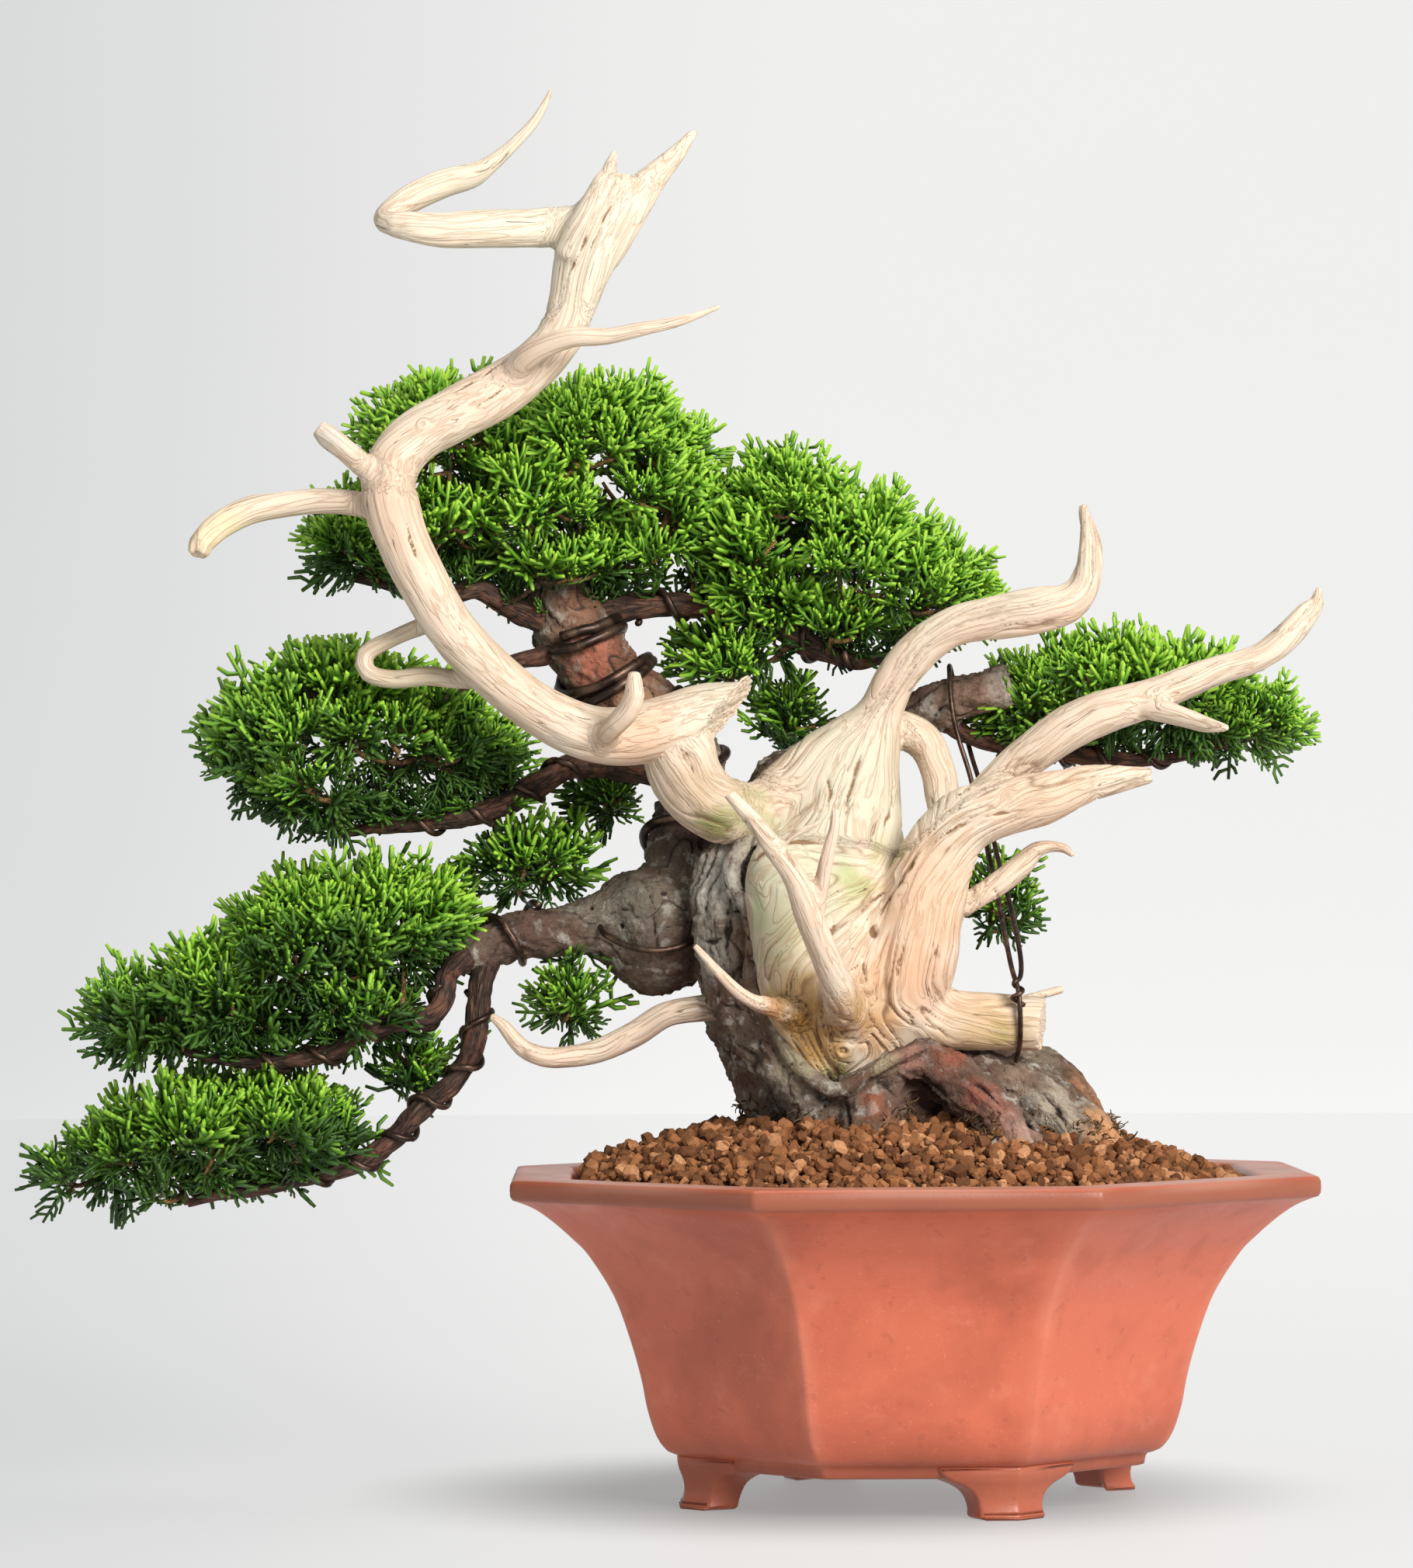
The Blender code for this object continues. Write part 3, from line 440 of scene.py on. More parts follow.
@dataclass(frozen=True)
class Cut:
    """A flat sawn or broken end.

    Attributes:
        place: a point on the face.
        away: the way the face looks.
        reach: how far round the point it acts.
        rough: how uneven the face is.
    """

    place: tuple[float, float, float]
    away: tuple[float, float, float]
    reach: float
    rough: float = 0.3


class Skin:
    """The skin of limbs grown together, worked point by point in arrays."""

    def __init__(self, limbs: Sequence[Limb], voxel: float, sides: int = 22) -> None:
        """Grow the limbs together.

        Args:
            limbs: the limbs; each starts in one before it.
            voxel: the finest detail, in millimetres.
            sides: how many corners each limb's section has.
        """
        self.limbs = limbs
        self.lines = [Line(limb.stations, 1.5) for limb in limbs]
        bm = bmesh.new()
        for limb in limbs:
            add_to(bm, Line(limb.stations, 3.0).sweep(sides))
        bmesh.ops.scale(bm, vec=(MM, MM, MM), verts=bm.verts[:])
        helper = bpy.data.objects.new("grown", mesh_of("grown", bm))
        bpy.context.scene.collection.objects.link(helper)
        grow = helper.modifiers.new("Grow", "REMESH")
        grow.mode = "VOXEL"
        grow.voxel_size = voxel * MM
        self.mesh = settled(helper)
        self.mesh.transform(Matrix.Scale(1 / MM, 4))
        count = len(self.mesh.vertices)
        self.points = points_of(self.mesh)
        ends = np.empty(len(self.mesh.edges) * 2, np.int32)
        self.mesh.edges.foreach_get("vertices", ends)
        self.ends = ends.reshape(-1, 2)
        self.links = np.bincount(self.ends.ravel(), minlength=count).clip(1)
        # painted shade: how much darker each point is drawn for lying in a crack, groove or fissure
        self.hollow = np.zeros(count)
        self.stains = np.zeros((count, 4))
        self.grain = np.zeros((count, 3))
        self.radius = np.ones(count)
        self.to_end = np.full(count, 1e3)
        self.fray = np.zeros(count)

    def spread(self, values: Array) -> Array:
        """The mean of each point's neighbours."""
        a, b = self.ends.T
        if values.ndim == 1:
            both = np.bincount(a, values[b], len(values)) + np.bincount(b, values[a], len(values))
            return both / self.links
        return np.stack([self.spread(values[:, k]) for k in range(values.shape[1])], axis=1)

    def relax(self, rounds: int, weight: Array | float) -> None:
        """Draw each point towards its neighbours.

        Args:
            rounds: how many times.
            weight: how far, from 0 to 1.
        """
        weight = np.asarray(weight)[..., None] if np.ndim(weight) else weight
        for _ in range(rounds):
            self.points += weight * (self.spread(self.points) - self.points)

    def normals(self) -> Array:
        """The skin's outward direction at each point."""
        move_points(self.mesh, self.points)
        self.mesh.update()
        flat = np.empty(len(self.points) * 3, np.float32)
        self.mesh.vertex_normals.foreach_get("vector", flat)
        return flat.reshape(-1, 3).astype(float)

    def push(self, rise: Array) -> None:
        """Move each point out along the skin's normal, in millimetres."""
        self.points += self.normals() * rise[:, None]

    def read_grain(self, streams: Streams | None = None) -> None:
        """Work out where each point lies along and round its limb, blended where limbs meet.

        Args:
            streams: the lines that the grain of streamed limbs follows.
        """
        offsets: list[Array] = []
        for i, line in enumerate(self.lines):
            offset, best = np.zeros(3), 1e9
            for before, moved in zip(self.lines[:i], offsets):
                far, own, _ = before.near(line.places[:1])
                if far[0] < best:
                    best, offset = far[0], own[0] + moved
            offsets.append(offset)
        found = []
        least = np.full(len(self.points), 1e9)
        for line, limb, offset in zip(self.lines, self.limbs, offsets):
            room = line.radii.max() + 12.0
            low, high = line.places.min(0) - room, line.places.max(0) + room
            pick = np.nonzero(((self.points > low) & (self.points < high)).all(1))[0]
            far, own, radius = line.near(self.points[pick])
            to_end = line.length - own[:, 2]
            turn = limb.wind * own[:, 2]
            own = np.stack([
                own[:, 0] * np.cos(turn) - own[:, 1] * np.sin(turn),
                own[:, 0] * np.sin(turn) + own[:, 1] * np.cos(turn),
                own[:, 2],
            ], axis=1) + offset
            if streams and limb.streamed:
                own = streams.read(self.points[pick])
            fray = np.clip(1 - to_end / limb.fray, 0, 1) if limb.fray else np.zeros(len(pick))
            least[pick] = np.minimum(least[pick], far)
            found.append((pick, far, own, radius, to_end, fray))
        total = np.zeros(len(self.points))
        grain = np.zeros((len(self.points), 3))
        rest = np.zeros((len(self.points), 3))
        for pick, far, own, radius, to_end, fray in found:
            weight = np.exp(-(((far - least[pick]) * 3.2) ** 2))
            total[pick] += weight
            grain[pick] += weight[:, None] * own
            rest[pick] += weight[:, None] * np.stack([radius, to_end, fray], axis=1)
        total = total.clip(1e-9)[:, None]
        self.grain = grain / total
        self.radius, self.to_end, self.fray = (rest / total).T

    def settle(self, joints: tuple[int, float, float], last: int, cuts: Sequence[Cut], noise: Noise,
               streams: Streams | None = None) -> None:
        """Smooth the joints between limbs, cut ends off flat, and read the grain.

        Args:
            joints: how many rounds of smoothing, and the radii between which it comes in.
            last: how many rounds of smoothing all over.
            cuts: the flat ends.
            noise: the noise that roughens them.
            streams: the lines that the grain of streamed limbs follows.
        """
        rounds, thin, thick = joints
        self.read_grain()
        self.relax(rounds, 0.6 * smoothstep(self.radius, thin, thick))
        self.relax(last, 0.4)
        self.trim(cuts, noise)
        self.read_grain(streams)

    def seat(self, place: Sequence[float]) -> Array:
        """The point of the skin that a place is in front of or behind."""
        off = np.abs(self.points - place)
        return self.points[(3 * np.hypot(off[:, 0], off[:, 2]) + off[:, 1]).argmin()].copy()

    def bulge(self, knots: Sequence[Knot], rim: float, dip: float) -> None:
        """Raise a ring round each knot.

        Args:
            knots: the knots.
            rim: how far out the ring is, as a share of the knot's reach.
            dip: how deep the middle is, as a share of the ring's rise.
        """
        for knot in knots:
            far = np.linalg.norm(self.points - self.seat(knot.place), axis=1) / knot.reach
            self.push(knot.rise * (np.exp(-((far - rim) ** 2) * 9) - dip * np.exp(-((far * 3) ** 2))))

    def ring(self, knots: Sequence[Knot]) -> None:
        """Turn the grain into rings round knots."""
        for knot in knots:
            far = np.linalg.norm(self.points - self.seat(knot.place), axis=1)
            share = smoothstep(1.5 - far / knot.reach, 0.0, 0.9)[:, None]
            middle = self.grain[far.argmin()]
            ringed = middle + np.stack([far * 1.1, 0 * far, 0 * far], axis=1)
            self.grain = self.grain * (1 - share) + ringed * share

    def swirl(self, noise: Noise, amount: float, size: float) -> None:
        """Bend the grain sideways in slow waves.

        Args:
            noise: the noise that sets the pattern.
            amount: how far it is bent.
            size: how long the waves are.
        """
        points = self.points
        self.grain = self.grain + amount * np.stack([
            noise.at(points, size), noise.at(points + 90.0, size), 0.5 * noise.at(points + 180.0, size),
        ], axis=1)

    def trim(self, cuts: Sequence[Cut], noise: Noise) -> None:
        """Cut ends off flat."""
        for cut in cuts:
            away = np.array(cut.away) / np.linalg.norm(cut.away)
            off = self.points - cut.place
            over = off @ away - cut.rough * noise.layers(self.points, 2.5, 2)
            pick = (np.linalg.norm(off, axis=1) < cut.reach) & (over > 0)
            self.points[pick] -= np.outer(over[pick], away)

    def crack(self, cracks: Sequence[Crack], noise: Noise) -> None:
        """Cut narrow cracks into the skin, and paint shade into them."""
        for crack in cracks:
            rough = Line([(*p, 1.0) for p in crack.places], 2.2)
            line = Line([(*self.seat(p), 1.0) for p in rough.places], 0.7)
            pick = np.nonzero(np.linalg.norm(self.points - line.places.mean(0), axis=1) < line.length)[0]
            far, own, _ = line.near(self.points[pick])
            taper = np.sin(np.pi * np.clip(own[:, 2] / line.length, 0.02, 0.98)) ** 0.5
            far = np.abs(far + 0.5 * noise.at(self.points[pick], 4.0))
            cut = np.exp(-((far / (crack.width * taper + 0.05)) ** 2)) * taper
            rise = np.zeros(len(self.points))
            rise[pick] = -cut * crack.depth
            self.push(rise)
            # painted shade inside the crack
            self.hollow[pick] = np.maximum(self.hollow[pick], cut)

    def paint(self, stains: Sequence[Stain], noise: Noise) -> None:
        """Lay soft patches of colour over the skin."""
        rough = 0.5 * noise.layers(self.points, 7.0, 3)
        for stain in stains:
            far = np.linalg.norm(self.points - stain.place, axis=1) / stain.reach
            share = stain.strength * smoothstep(1.25 - far + 0.6 * rough, 0.0, 1.0)
            self.lay(share, stain.colour)

    def lay(self, share: Array, colour: Colour) -> None:
        """Lay a colour over the stains.

        Args:
            share: how much of it, from 0 to 1, at each point.
            colour: the colour.
        """
        old = self.stains[:, 3]
        cover = old * (1 - share) + share
        mixed = self.stains[:, :3] * (old * (1 - share))[:, None] + np.outer(share, colour)
        self.stains[:, :3] = mixed / cover.clip(1e-6)[:, None]
        self.stains[:, 3] = cover

    def publish(self, name: str, finish: bpy.types.Material, slot: Slot, nodes: Sequence[str]) -> None:
        """Store what was worked out on the mesh and stand it in the model."""
        self.normals()
        set_attribute(self.mesh, "grain", self.grain)
        # the painted shade in cracks, grooves and fissures goes on the mesh
        set_attribute(self.mesh, "hollow", np.clip(self.hollow, 0, 1))
        set_attribute(self.mesh, "stain", np.clip(self.stains, 0, 1))
        triangles = 2 * len(self.mesh.polygons)
        if triangles > MOST_TRIANGLES:
            helper = bpy.data.objects.new("dense", self.mesh)
            bpy.context.scene.collection.objects.link(helper)
            thin = helper.modifiers.new("Thin", "DECIMATE")
            thin.ratio = MOST_TRIANGLES / triangles
            self.mesh = settled(helper)
        publish(name, self.mesh, finish, nodes)


def ridges(values: Array, width: float) -> Array:
    """Narrow lines where the values pass through zero."""
    return np.clip(1 - np.abs(values) / width, 0, 1) ** 1.5


# ---- finishes ---------------------------------------------------------------------------------


class Sheet:
    """A node tree with short calls that add nodes and join them."""

    def __init__(self, tree: bpy.types.NodeTree) -> None:
        """Take a tree to work on."""
        self.tree = tree

    def add(self, kind: str, **settings: object) -> bpy.types.Node:
        """Add a node and set its options."""
        node = self.tree.nodes.new(kind)
        for key, value in settings.items():
            setattr(node, key, value)
        return node

    def feed(self, node: bpy.types.Node, **inputs: object) -> bpy.types.Node:
        """Join or set a node's inputs by name; an underscore stands for a space."""
        for key, value in inputs.items():
            self.put(node.inputs[key.replace("_", " ")], value)
        return node

    def put(self, socket: bpy.types.NodeSocket, value: object) -> None:
        """Join a socket to another, or set its value."""
        if isinstance(value, bpy.types.NodeSocket):
            self.tree.links.new(value, socket)
        else:
            socket.default_value = value

    def sum(self, kind: str, a: object, b: object = 0.0, clamp: bool = False) -> bpy.types.NodeSocket:
        """Work out one number from two."""
        node = self.add("ShaderNodeMath", operation=kind, use_clamp=clamp)
        self.put(node.inputs[0], a)
        self.put(node.inputs[1], b)
        return node.outputs[0]

    def step(self, value: object, low: float, high: float) -> bpy.types.NodeSocket:
        """Ease from 0 at low to 1 at high."""
        node = self.add("ShaderNodeMapRange", interpolation_type="SMOOTHSTEP")
        return self.feed(node, Value=value, From_Min=low, From_Max=high).outputs[0]

    def mix(self, share: object, a: object, b: object, kind: str = "MIX") -> bpy.types.NodeSocket:
        """Mix two colours."""
        node = self.add("ShaderNodeMix", data_type="RGBA", blend_type=kind)
        for index, value in ((0, share), (6, a), (7, b)):
            value = (*value, 1.0) if isinstance(value, tuple) and len(value) == 3 else value
            self.put(node.inputs[index], value)
        return node.outputs[2]

    def cover(self, colour: object, over: object, mask: object, share: object,
              kind: str = "MIX") -> bpy.types.NodeSocket:
        """Lay a second colour over one, where a mask says, to a share of its strength."""
        return self.mix(self.sum("MULTIPLY", mask, share), colour, over, kind)

    def noise(self, vector: object, scale: float, detail: float = 3.0, rough: float = 0.55,
              distort: float = 0.0) -> bpy.types.NodeSocket:
        """Read layered noise."""
        node = self.add("ShaderNodeTexNoise")
        self.feed(node, Vector=vector, Scale=scale, Detail=detail, Roughness=rough, Distortion=distort)
        return node.outputs[0]

    def stretch(self, vector: object, by: tuple[float, float, float]) -> bpy.types.NodeSocket:
        """Scale a vector."""
        node = self.add("ShaderNodeVectorMath", operation="MULTIPLY")
        self.put(node.inputs[0], vector)
        self.put(node.inputs[1], by)
        return node.outputs[0]

    def read(self, name: str, kind: str = "Fac") -> bpy.types.NodeSocket:
        """Read an attribute of the piece."""
        return self.add("ShaderNodeAttribute", attribute_name=name).outputs[kind]

    def own(self) -> bpy.types.NodeSocket:
        """The place on the piece, in metres."""
        return self.add("ShaderNodeTexCoord").outputs["Object"]

    def bump(self, height: object, rise: float, strength: float = 1.0, normal: object = None) -> bpy.types.NodeSocket:
        """Turn a height, in shares of a rise in millimetres, into a normal."""
        node = self.feed(self.add("ShaderNodeBump"), Height=height, Distance=rise * MM, Strength=strength)
        if normal is not None:
            self.put(node.inputs["Normal"], normal)
        return node.outputs[0]


def new_group(name: str, ins: dict[str, tuple[str, object]], outs: dict[str, str]) -> Sheet:
    """Start a node group with named sockets.

    Args:
        name: the group's name.
        ins: each input's kind and starting value.
        outs: each output's kind.

    Returns:
        The group's sheet.
    """
    tree = bpy.data.node_groups.new(name, "ShaderNodeTree")
    for key, (kind, value) in ins.items():
        socket = tree.interface.new_socket(key, in_out="INPUT", socket_type=f"NodeSocket{kind}")
        if value is not None:
            socket.default_value = value
    for key, kind in outs.items():
        tree.interface.new_socket(key, in_out="OUTPUT", socket_type=f"NodeSocket{kind}")
    return Sheet(tree)


def fibre_group() -> bpy.types.NodeTree:
    """Fibres and fine dark lines that follow the grain of wood or bark."""
    sheet = new_group(
        "Fibre",
        {"Vector": ("Vector", None), "Across": ("Float", 1.0), "Along": ("Float", 20.0), "Line Width": ("Float", 0.03)},
        {"Fibre": "Float", "Lines": "Float"},
    )
    given = sheet.add("NodeGroupInput").outputs
    size = sheet.add("ShaderNodeCombineXYZ")
    sheet.feed(size, X=given["Across"], Y=given["Across"], Z=given["Along"])
    cut = sheet.add("ShaderNodeVectorMath", operation="DIVIDE")
    sheet.put(cut.inputs[0], given["Vector"])
    sheet.put(cut.inputs[1], size.outputs[0])
    fibre = sheet.noise(cut.outputs[0], 1.0, 3.0, 0.6, 0.15)
    coarse = sheet.noise(sheet.stretch(cut.outputs[0], (0.45, 0.45, 0.6)), 1.0, 2.0, 0.5, 0.3)
    off = sheet.sum("ABSOLUTE", sheet.sum("SUBTRACT", coarse, 0.5))
    near = sheet.sum("DIVIDE", off, given["Line Width"])
    lines = sheet.sum("SUBTRACT", 1.0, near, clamp=True)
    out = sheet.add("NodeGroupOutput")
    sheet.feed(out, Fibre=fibre, Lines=lines)
    return sheet.tree


def mottle_group() -> bpy.types.NodeTree:
    """Soft clouds, and small specks scattered over them."""
    sheet = new_group(
        "Mottle",
        {"Vector": ("Vector", None), "Cloud Scale": ("Float", 30.0), "Speck Scale": ("Float", 400.0)},
        {"Cloud": "Float", "Specks": "Float"},
    )
    given = sheet.add("NodeGroupInput").outputs
    cloud = sheet.noise(given["Vector"], given["Cloud Scale"], 4.0, 0.6, 0.4)
    specks = sheet.noise(given["Vector"], given["Speck Scale"], 2.0, 0.5)
    out = sheet.add("NodeGroupOutput")
    sheet.feed(out, Cloud=cloud, Specks=sheet.step(specks, 0.64, 0.72))
    return sheet.tree


FIBRE = fibre_group()
MOTTLE = mottle_group()


def start_finish(name: str) -> tuple[Sheet, bpy.types.Node]:
    """Start a material and return its sheet and its shader."""
    made = bpy.data.materials.new(name)
    made.use_nodes = True
    sheet = Sheet(made.node_tree)
    return sheet, made.node_tree.nodes["Principled BSDF"]


def fibres(sheet: Sheet, across: float, along: float, width: float) -> Pair:
    """Lay fibres along the grain; gives the fibres and the dark lines."""
    node = sheet.add("ShaderNodeGroup", node_tree=FIBRE)
    sheet.feed(node, Vector=sheet.read("grain", "Vector"), Across=across, Along=along, Line_Width=width)
    return node.outputs["Fibre"], node.outputs["Lines"]


def mottle(sheet: Sheet, cloud: float, speck: float) -> Pair:
    """Lay clouds and specks; gives both."""
    node = sheet.add("ShaderNodeGroup", node_tree=MOTTLE)
    sheet.feed(node, Vector=sheet.own(), Cloud_Scale=cloud, Speck_Scale=speck)
    return node.outputs["Cloud"], node.outputs["Specks"]


@dataclass(frozen=True)
class Deadwood:
    """Bleached wood: pale cream, with fibres and fine cracks, and painted brown shade in its grooves and cracks."""

    cream: Colour = (0.745, 0.64, 0.50)
    peach: Colour = (0.78, 0.595, 0.455)
    tan: Colour = (0.42, 0.25, 0.13)
    dark: Colour = (0.13, 0.07, 0.035)

    def material(self) -> bpy.types.Material:
        """Make the material."""
        sheet, shader = start_finish("bleached_wood")
        cloud, _ = mottle(sheet, 26.0, 300.0)
        fibre, lines = fibres(sheet, 1.0, 30.0, 0.045)
        fine, cracks = fibres(sheet, 1.8, 34.0, 0.014)
        hollow = sheet.read("hollow")
        colour = sheet.mix(sheet.step(cloud, 0.35, 0.65), self.cream, self.peach)
        colour = sheet.mix(sheet.read("stain", "Alpha"), colour, sheet.read("stain", "Color"))
        colour = sheet.cover(colour, self.tan, sheet.step(fibre, 0.5, 0.72), 0.3)
        colour = sheet.cover(colour, (0.84, 0.74, 0.60), sheet.step(fibre, 0.45, 0.3), 0.22)
        colour = sheet.cover(colour, self.tan, lines, 0.45)
        flecks = sheet.sum("MULTIPLY", cracks, sheet.step(fine, 0.56, 0.66))
        colour = sheet.cover(colour, self.dark, flecks, 0.9)
        # painted shade: a brown mix laid where the recess shade is strong
        colour = sheet.mix(sheet.step(hollow, 0.15, 0.75), colour, sheet.mix(0.5, self.tan, self.dark))
        sheet.feed(shader, Base_Color=colour, Roughness=sheet.sum("ADD", sheet.sum("MULTIPLY", fibre, 0.2), 0.5))
        height = sheet.sum("SUBTRACT", sheet.sum("MULTIPLY", fibre, -0.6), sheet.sum("MULTIPLY", lines, 0.5))
        height = sheet.sum("SUBTRACT", height, flecks)
        sheet.feed(shader, Normal=sheet.bump(height, 0.45, 0.7))
        shader.inputs["Specular IOR Level"].default_value = 0.3
        return bpy.data.materials["bleached_wood"]


@dataclass(frozen=True)
class TrunkBark:
    """Old juniper bark: grey-brown plates, fissures, lichen, and red where it has flaked, with near-black painted shade
    in its fissures, furrows and pits.
    """

    plate: Colour = (0.21, 0.16, 0.115)
    brown: Colour = (0.13, 0.075, 0.05)
    lichen: Colour = (0.46, 0.43, 0.37)
    fissure: Colour = (0.035, 0.022, 0.015)

    def material(self) -> bpy.types.Material:
        """Make the material."""
        sheet, shader = start_finish("trunk_bark")
        cloud, specks = mottle(sheet, 75.0, 420.0)
        patch, _ = mottle(sheet, 190.0, 700.0)
        fibre, lines = fibres(sheet, 1.5, 4.0, 0.05)
        hollow = sheet.read("hollow")
        colour = sheet.mix(sheet.step(cloud, 0.4, 0.62), self.plate, self.brown)
        colour = sheet.cover(colour, self.lichen, sheet.step(patch, 0.52, 0.64), 0.6)
        colour = sheet.mix(sheet.read("stain", "Alpha"), colour, sheet.read("stain", "Color"))
        bare = sheet.sum("SUBTRACT", 1.0, sheet.sum("MULTIPLY", sheet.read("stain", "Alpha"), 0.7))
        glint = sheet.sum("MULTIPLY", sheet.sum("MULTIPLY", sheet.step(patch, 0.56, 0.66), 0.5), bare)
        colour = sheet.mix(glint, colour, self.lichen)
        dull = sheet.sum("MULTIPLY", sheet.step(patch, 0.46, 0.34), 0.5)
        colour = sheet.mix(dull, colour, self.brown)
        colour = sheet.cover(colour, self.brown, sheet.step(fibre, 0.52, 0.7), 0.4, "MULTIPLY")
        colour = sheet.cover(colour, self.fissure, lines, 0.25)
        # painted shade: the fissure colour laid where the recess shade is strong
        colour = sheet.mix(sheet.step(hollow, 0.1, 0.8), colour, self.fissure)
        sheet.feed(shader, Base_Color=colour, Roughness=0.85)
        grit = sheet.noise(sheet.own(), 900.0, 3.0, 0.65)
        height = sheet.sum("ADD", sheet.sum("MULTIPLY", fibre, 0.5), grit)
        height = sheet.sum("ADD", height, sheet.sum("MULTIPLY", specks, 0.5))
        sheet.feed(shader, Normal=sheet.bump(height, 0.7, 0.9))
        shader.inputs["Specular IOR Level"].default_value = 0.35
        return bpy.data.materials["trunk_bark"]


@dataclass(frozen=True)
class TwigBark:
    """Thin flaking bark of branches and twigs."""

    name: str
    dark: Colour
    red: Colour
    pale: Colour
    ripe: Colour = (0.46, 0.26, 0.08)

    def material(self) -> bpy.types.Material:
        """Make the material."""
        sheet, shader = start_finish(self.name)
        cloud, _ = mottle(sheet, 110.0, 500.0)
        fibre, lines = fibres(sheet, 0.9, 6.0, 0.05)
        colour = sheet.mix(sheet.step(cloud, 0.42, 0.6), self.dark, self.red)
        colour = sheet.cover(colour, self.pale, sheet.step(fibre, 0.55, 0.7), 0.7)
        colour = sheet.cover(colour, self.ripe, sheet.read("ripe"), 0.75)
        colour = sheet.cover(colour, (0.015, 0.01, 0.008), lines, 0.6)
        # painted shade: near black where the recess shade is strong
        colour = sheet.mix(sheet.read("hollow"), colour, (0.02, 0.013, 0.01))
        sheet.feed(shader, Base_Color=colour, Roughness=0.8)
        sheet.feed(shader, Normal=sheet.bump(sheet.sum("SUBTRACT", fibre, lines), 0.4, 0.9))
        shader.inputs["Specular IOR Level"].default_value = 0.3
        return bpy.data.materials[self.name]


@dataclass(frozen=True)
class Shoots:
    """Scale leaves: dark with painted shade inside and low in a pad, green outside, yellow-green at the tips, partly
    fresh growth and partly painted light.
    """

    deep: Colour = (0.030, 0.085, 0.009)
    body: Colour = (0.135, 0.35, 0.017)
    fresh: Colour = (0.35, 0.61, 0.045)
    stalk: Colour = (0.24, 0.17, 0.04)

    def material(self) -> bpy.types.Material:
        """Make the material."""
        sheet, shader = start_finish("juniper_shoots")
        along, tone, shade = sheet.read("along"), sheet.read("tone"), sheet.read("shade")
        cloud, specks = mottle(sheet, 60.0, 1400.0)
        # painted light and shade: the shade mark, varied a little by each sprig's tone
        lit = sheet.sum("ADD", shade, sheet.sum("MULTIPLY", sheet.sum("SUBTRACT", tone, 0.5), 0.5))
        # painted shade: sprig bases and dim sprigs turn to the deep colour
        inner = sheet.sum("MULTIPLY", sheet.step(along, 0.0, 0.7), sheet.step(lit, 0.0, 0.8))
        colour = sheet.mix(inner, self.deep, self.body)
        # the fresh tips are partly new growth and partly painted light, as they show only where a sprig is lit
        tip = sheet.sum("MULTIPLY", sheet.step(along, 0.55, 1.0), sheet.step(lit, 0.15, 0.85))
        colour = sheet.mix(tip, colour, self.fresh)
        colour = sheet.cover(colour, self.fresh, sheet.step(cloud, 0.5, 0.75), 0.2)
        colour = sheet.cover(colour, (0.02, 0.09, 0.02), specks, 0.35)
        colour = sheet.mix(sheet.step(along, 0.07, 0.0), colour, self.stalk)
        sheet.feed(shader, Base_Color=colour, Roughness=0.48)
        grains = sheet.noise(sheet.own(), 1500.0, 1.0)
        sheet.feed(shader, Normal=sheet.bump(grains, 0.25, 0.6))
        shader.inputs["Specular IOR Level"].default_value = 0.4
        return bpy.data.materials["juniper_shoots"]


@dataclass(frozen=True)
class Clay:
    """Unglazed fired clay: warm orange-red, with smudges, specks and worn edges, painted shade on the rim's lip, darker
    on the base and feet, and a painted sheen on the rim's top.
    """

    base: Colour = (0.59, 0.139, 0.073)
    deep: Colour = (0.37, 0.082, 0.042)
    worn: Colour = (0.74, 0.27, 0.17)
    # painted sheen: a pale, greyed colour for the flat top of the rim
    dust: Colour = (0.56, 0.33, 0.25)
    # painted shade for the rim's outer lip face, also laid on the base and feet
    lip: Colour = (0.26, 0.08, 0.042)

    def material(self) -> bpy.types.Material:
        """Make the material."""
        sheet, shader = start_finish("fired_clay")
        cloud, specks = mottle(sheet, 17.0, 240.0)
        smudge, grit = mottle(sheet, 60.0, 900.0)
        colour = sheet.cover(self.base, self.deep, sheet.step(cloud, 0.46, 0.68), 0.6)
        colour = sheet.cover(colour, self.deep, sheet.step(smudge, 0.52, 0.75), 0.35)
        colour = sheet.cover(colour, self.worn, sheet.step(smudge, 0.45, 0.25), 0.25)
        colour = sheet.cover(colour, (0.25, 0.06, 0.04), specks, 0.2)
        colour = sheet.cover(colour, self.worn, grit, 0.25)
        rubbed = sheet.sum("MULTIPLY", sheet.read("wear"), sheet.step(smudge, 0.3, 0.6))
        colour = sheet.cover(colour, self.worn, rubbed, 0.45)
        # painted shade on the rim's lip face; the same mark darkens the base and feet
        colour = sheet.cover(colour, self.lip, sheet.read("lip"), 0.85)
        # painted sheen on the flat top of the rim
        colour = sheet.cover(colour, self.dust, sheet.read("dust"), 0.55)
        rough = sheet.sum("ADD", sheet.sum("MULTIPLY", smudge, 0.3), 0.22)
        sheet.feed(shader, Base_Color=colour, Roughness=rough)
        height = sheet.sum("ADD", sheet.noise(sheet.own(), 1100.0, 2.0), sheet.sum("MULTIPLY", specks, -0.6))
        sheet.feed(shader, Normal=sheet.bump(height, 0.10, 0.6))
        shader.inputs["Specular IOR Level"].default_value = 0.4
        return bpy.data.materials["fired_clay"]


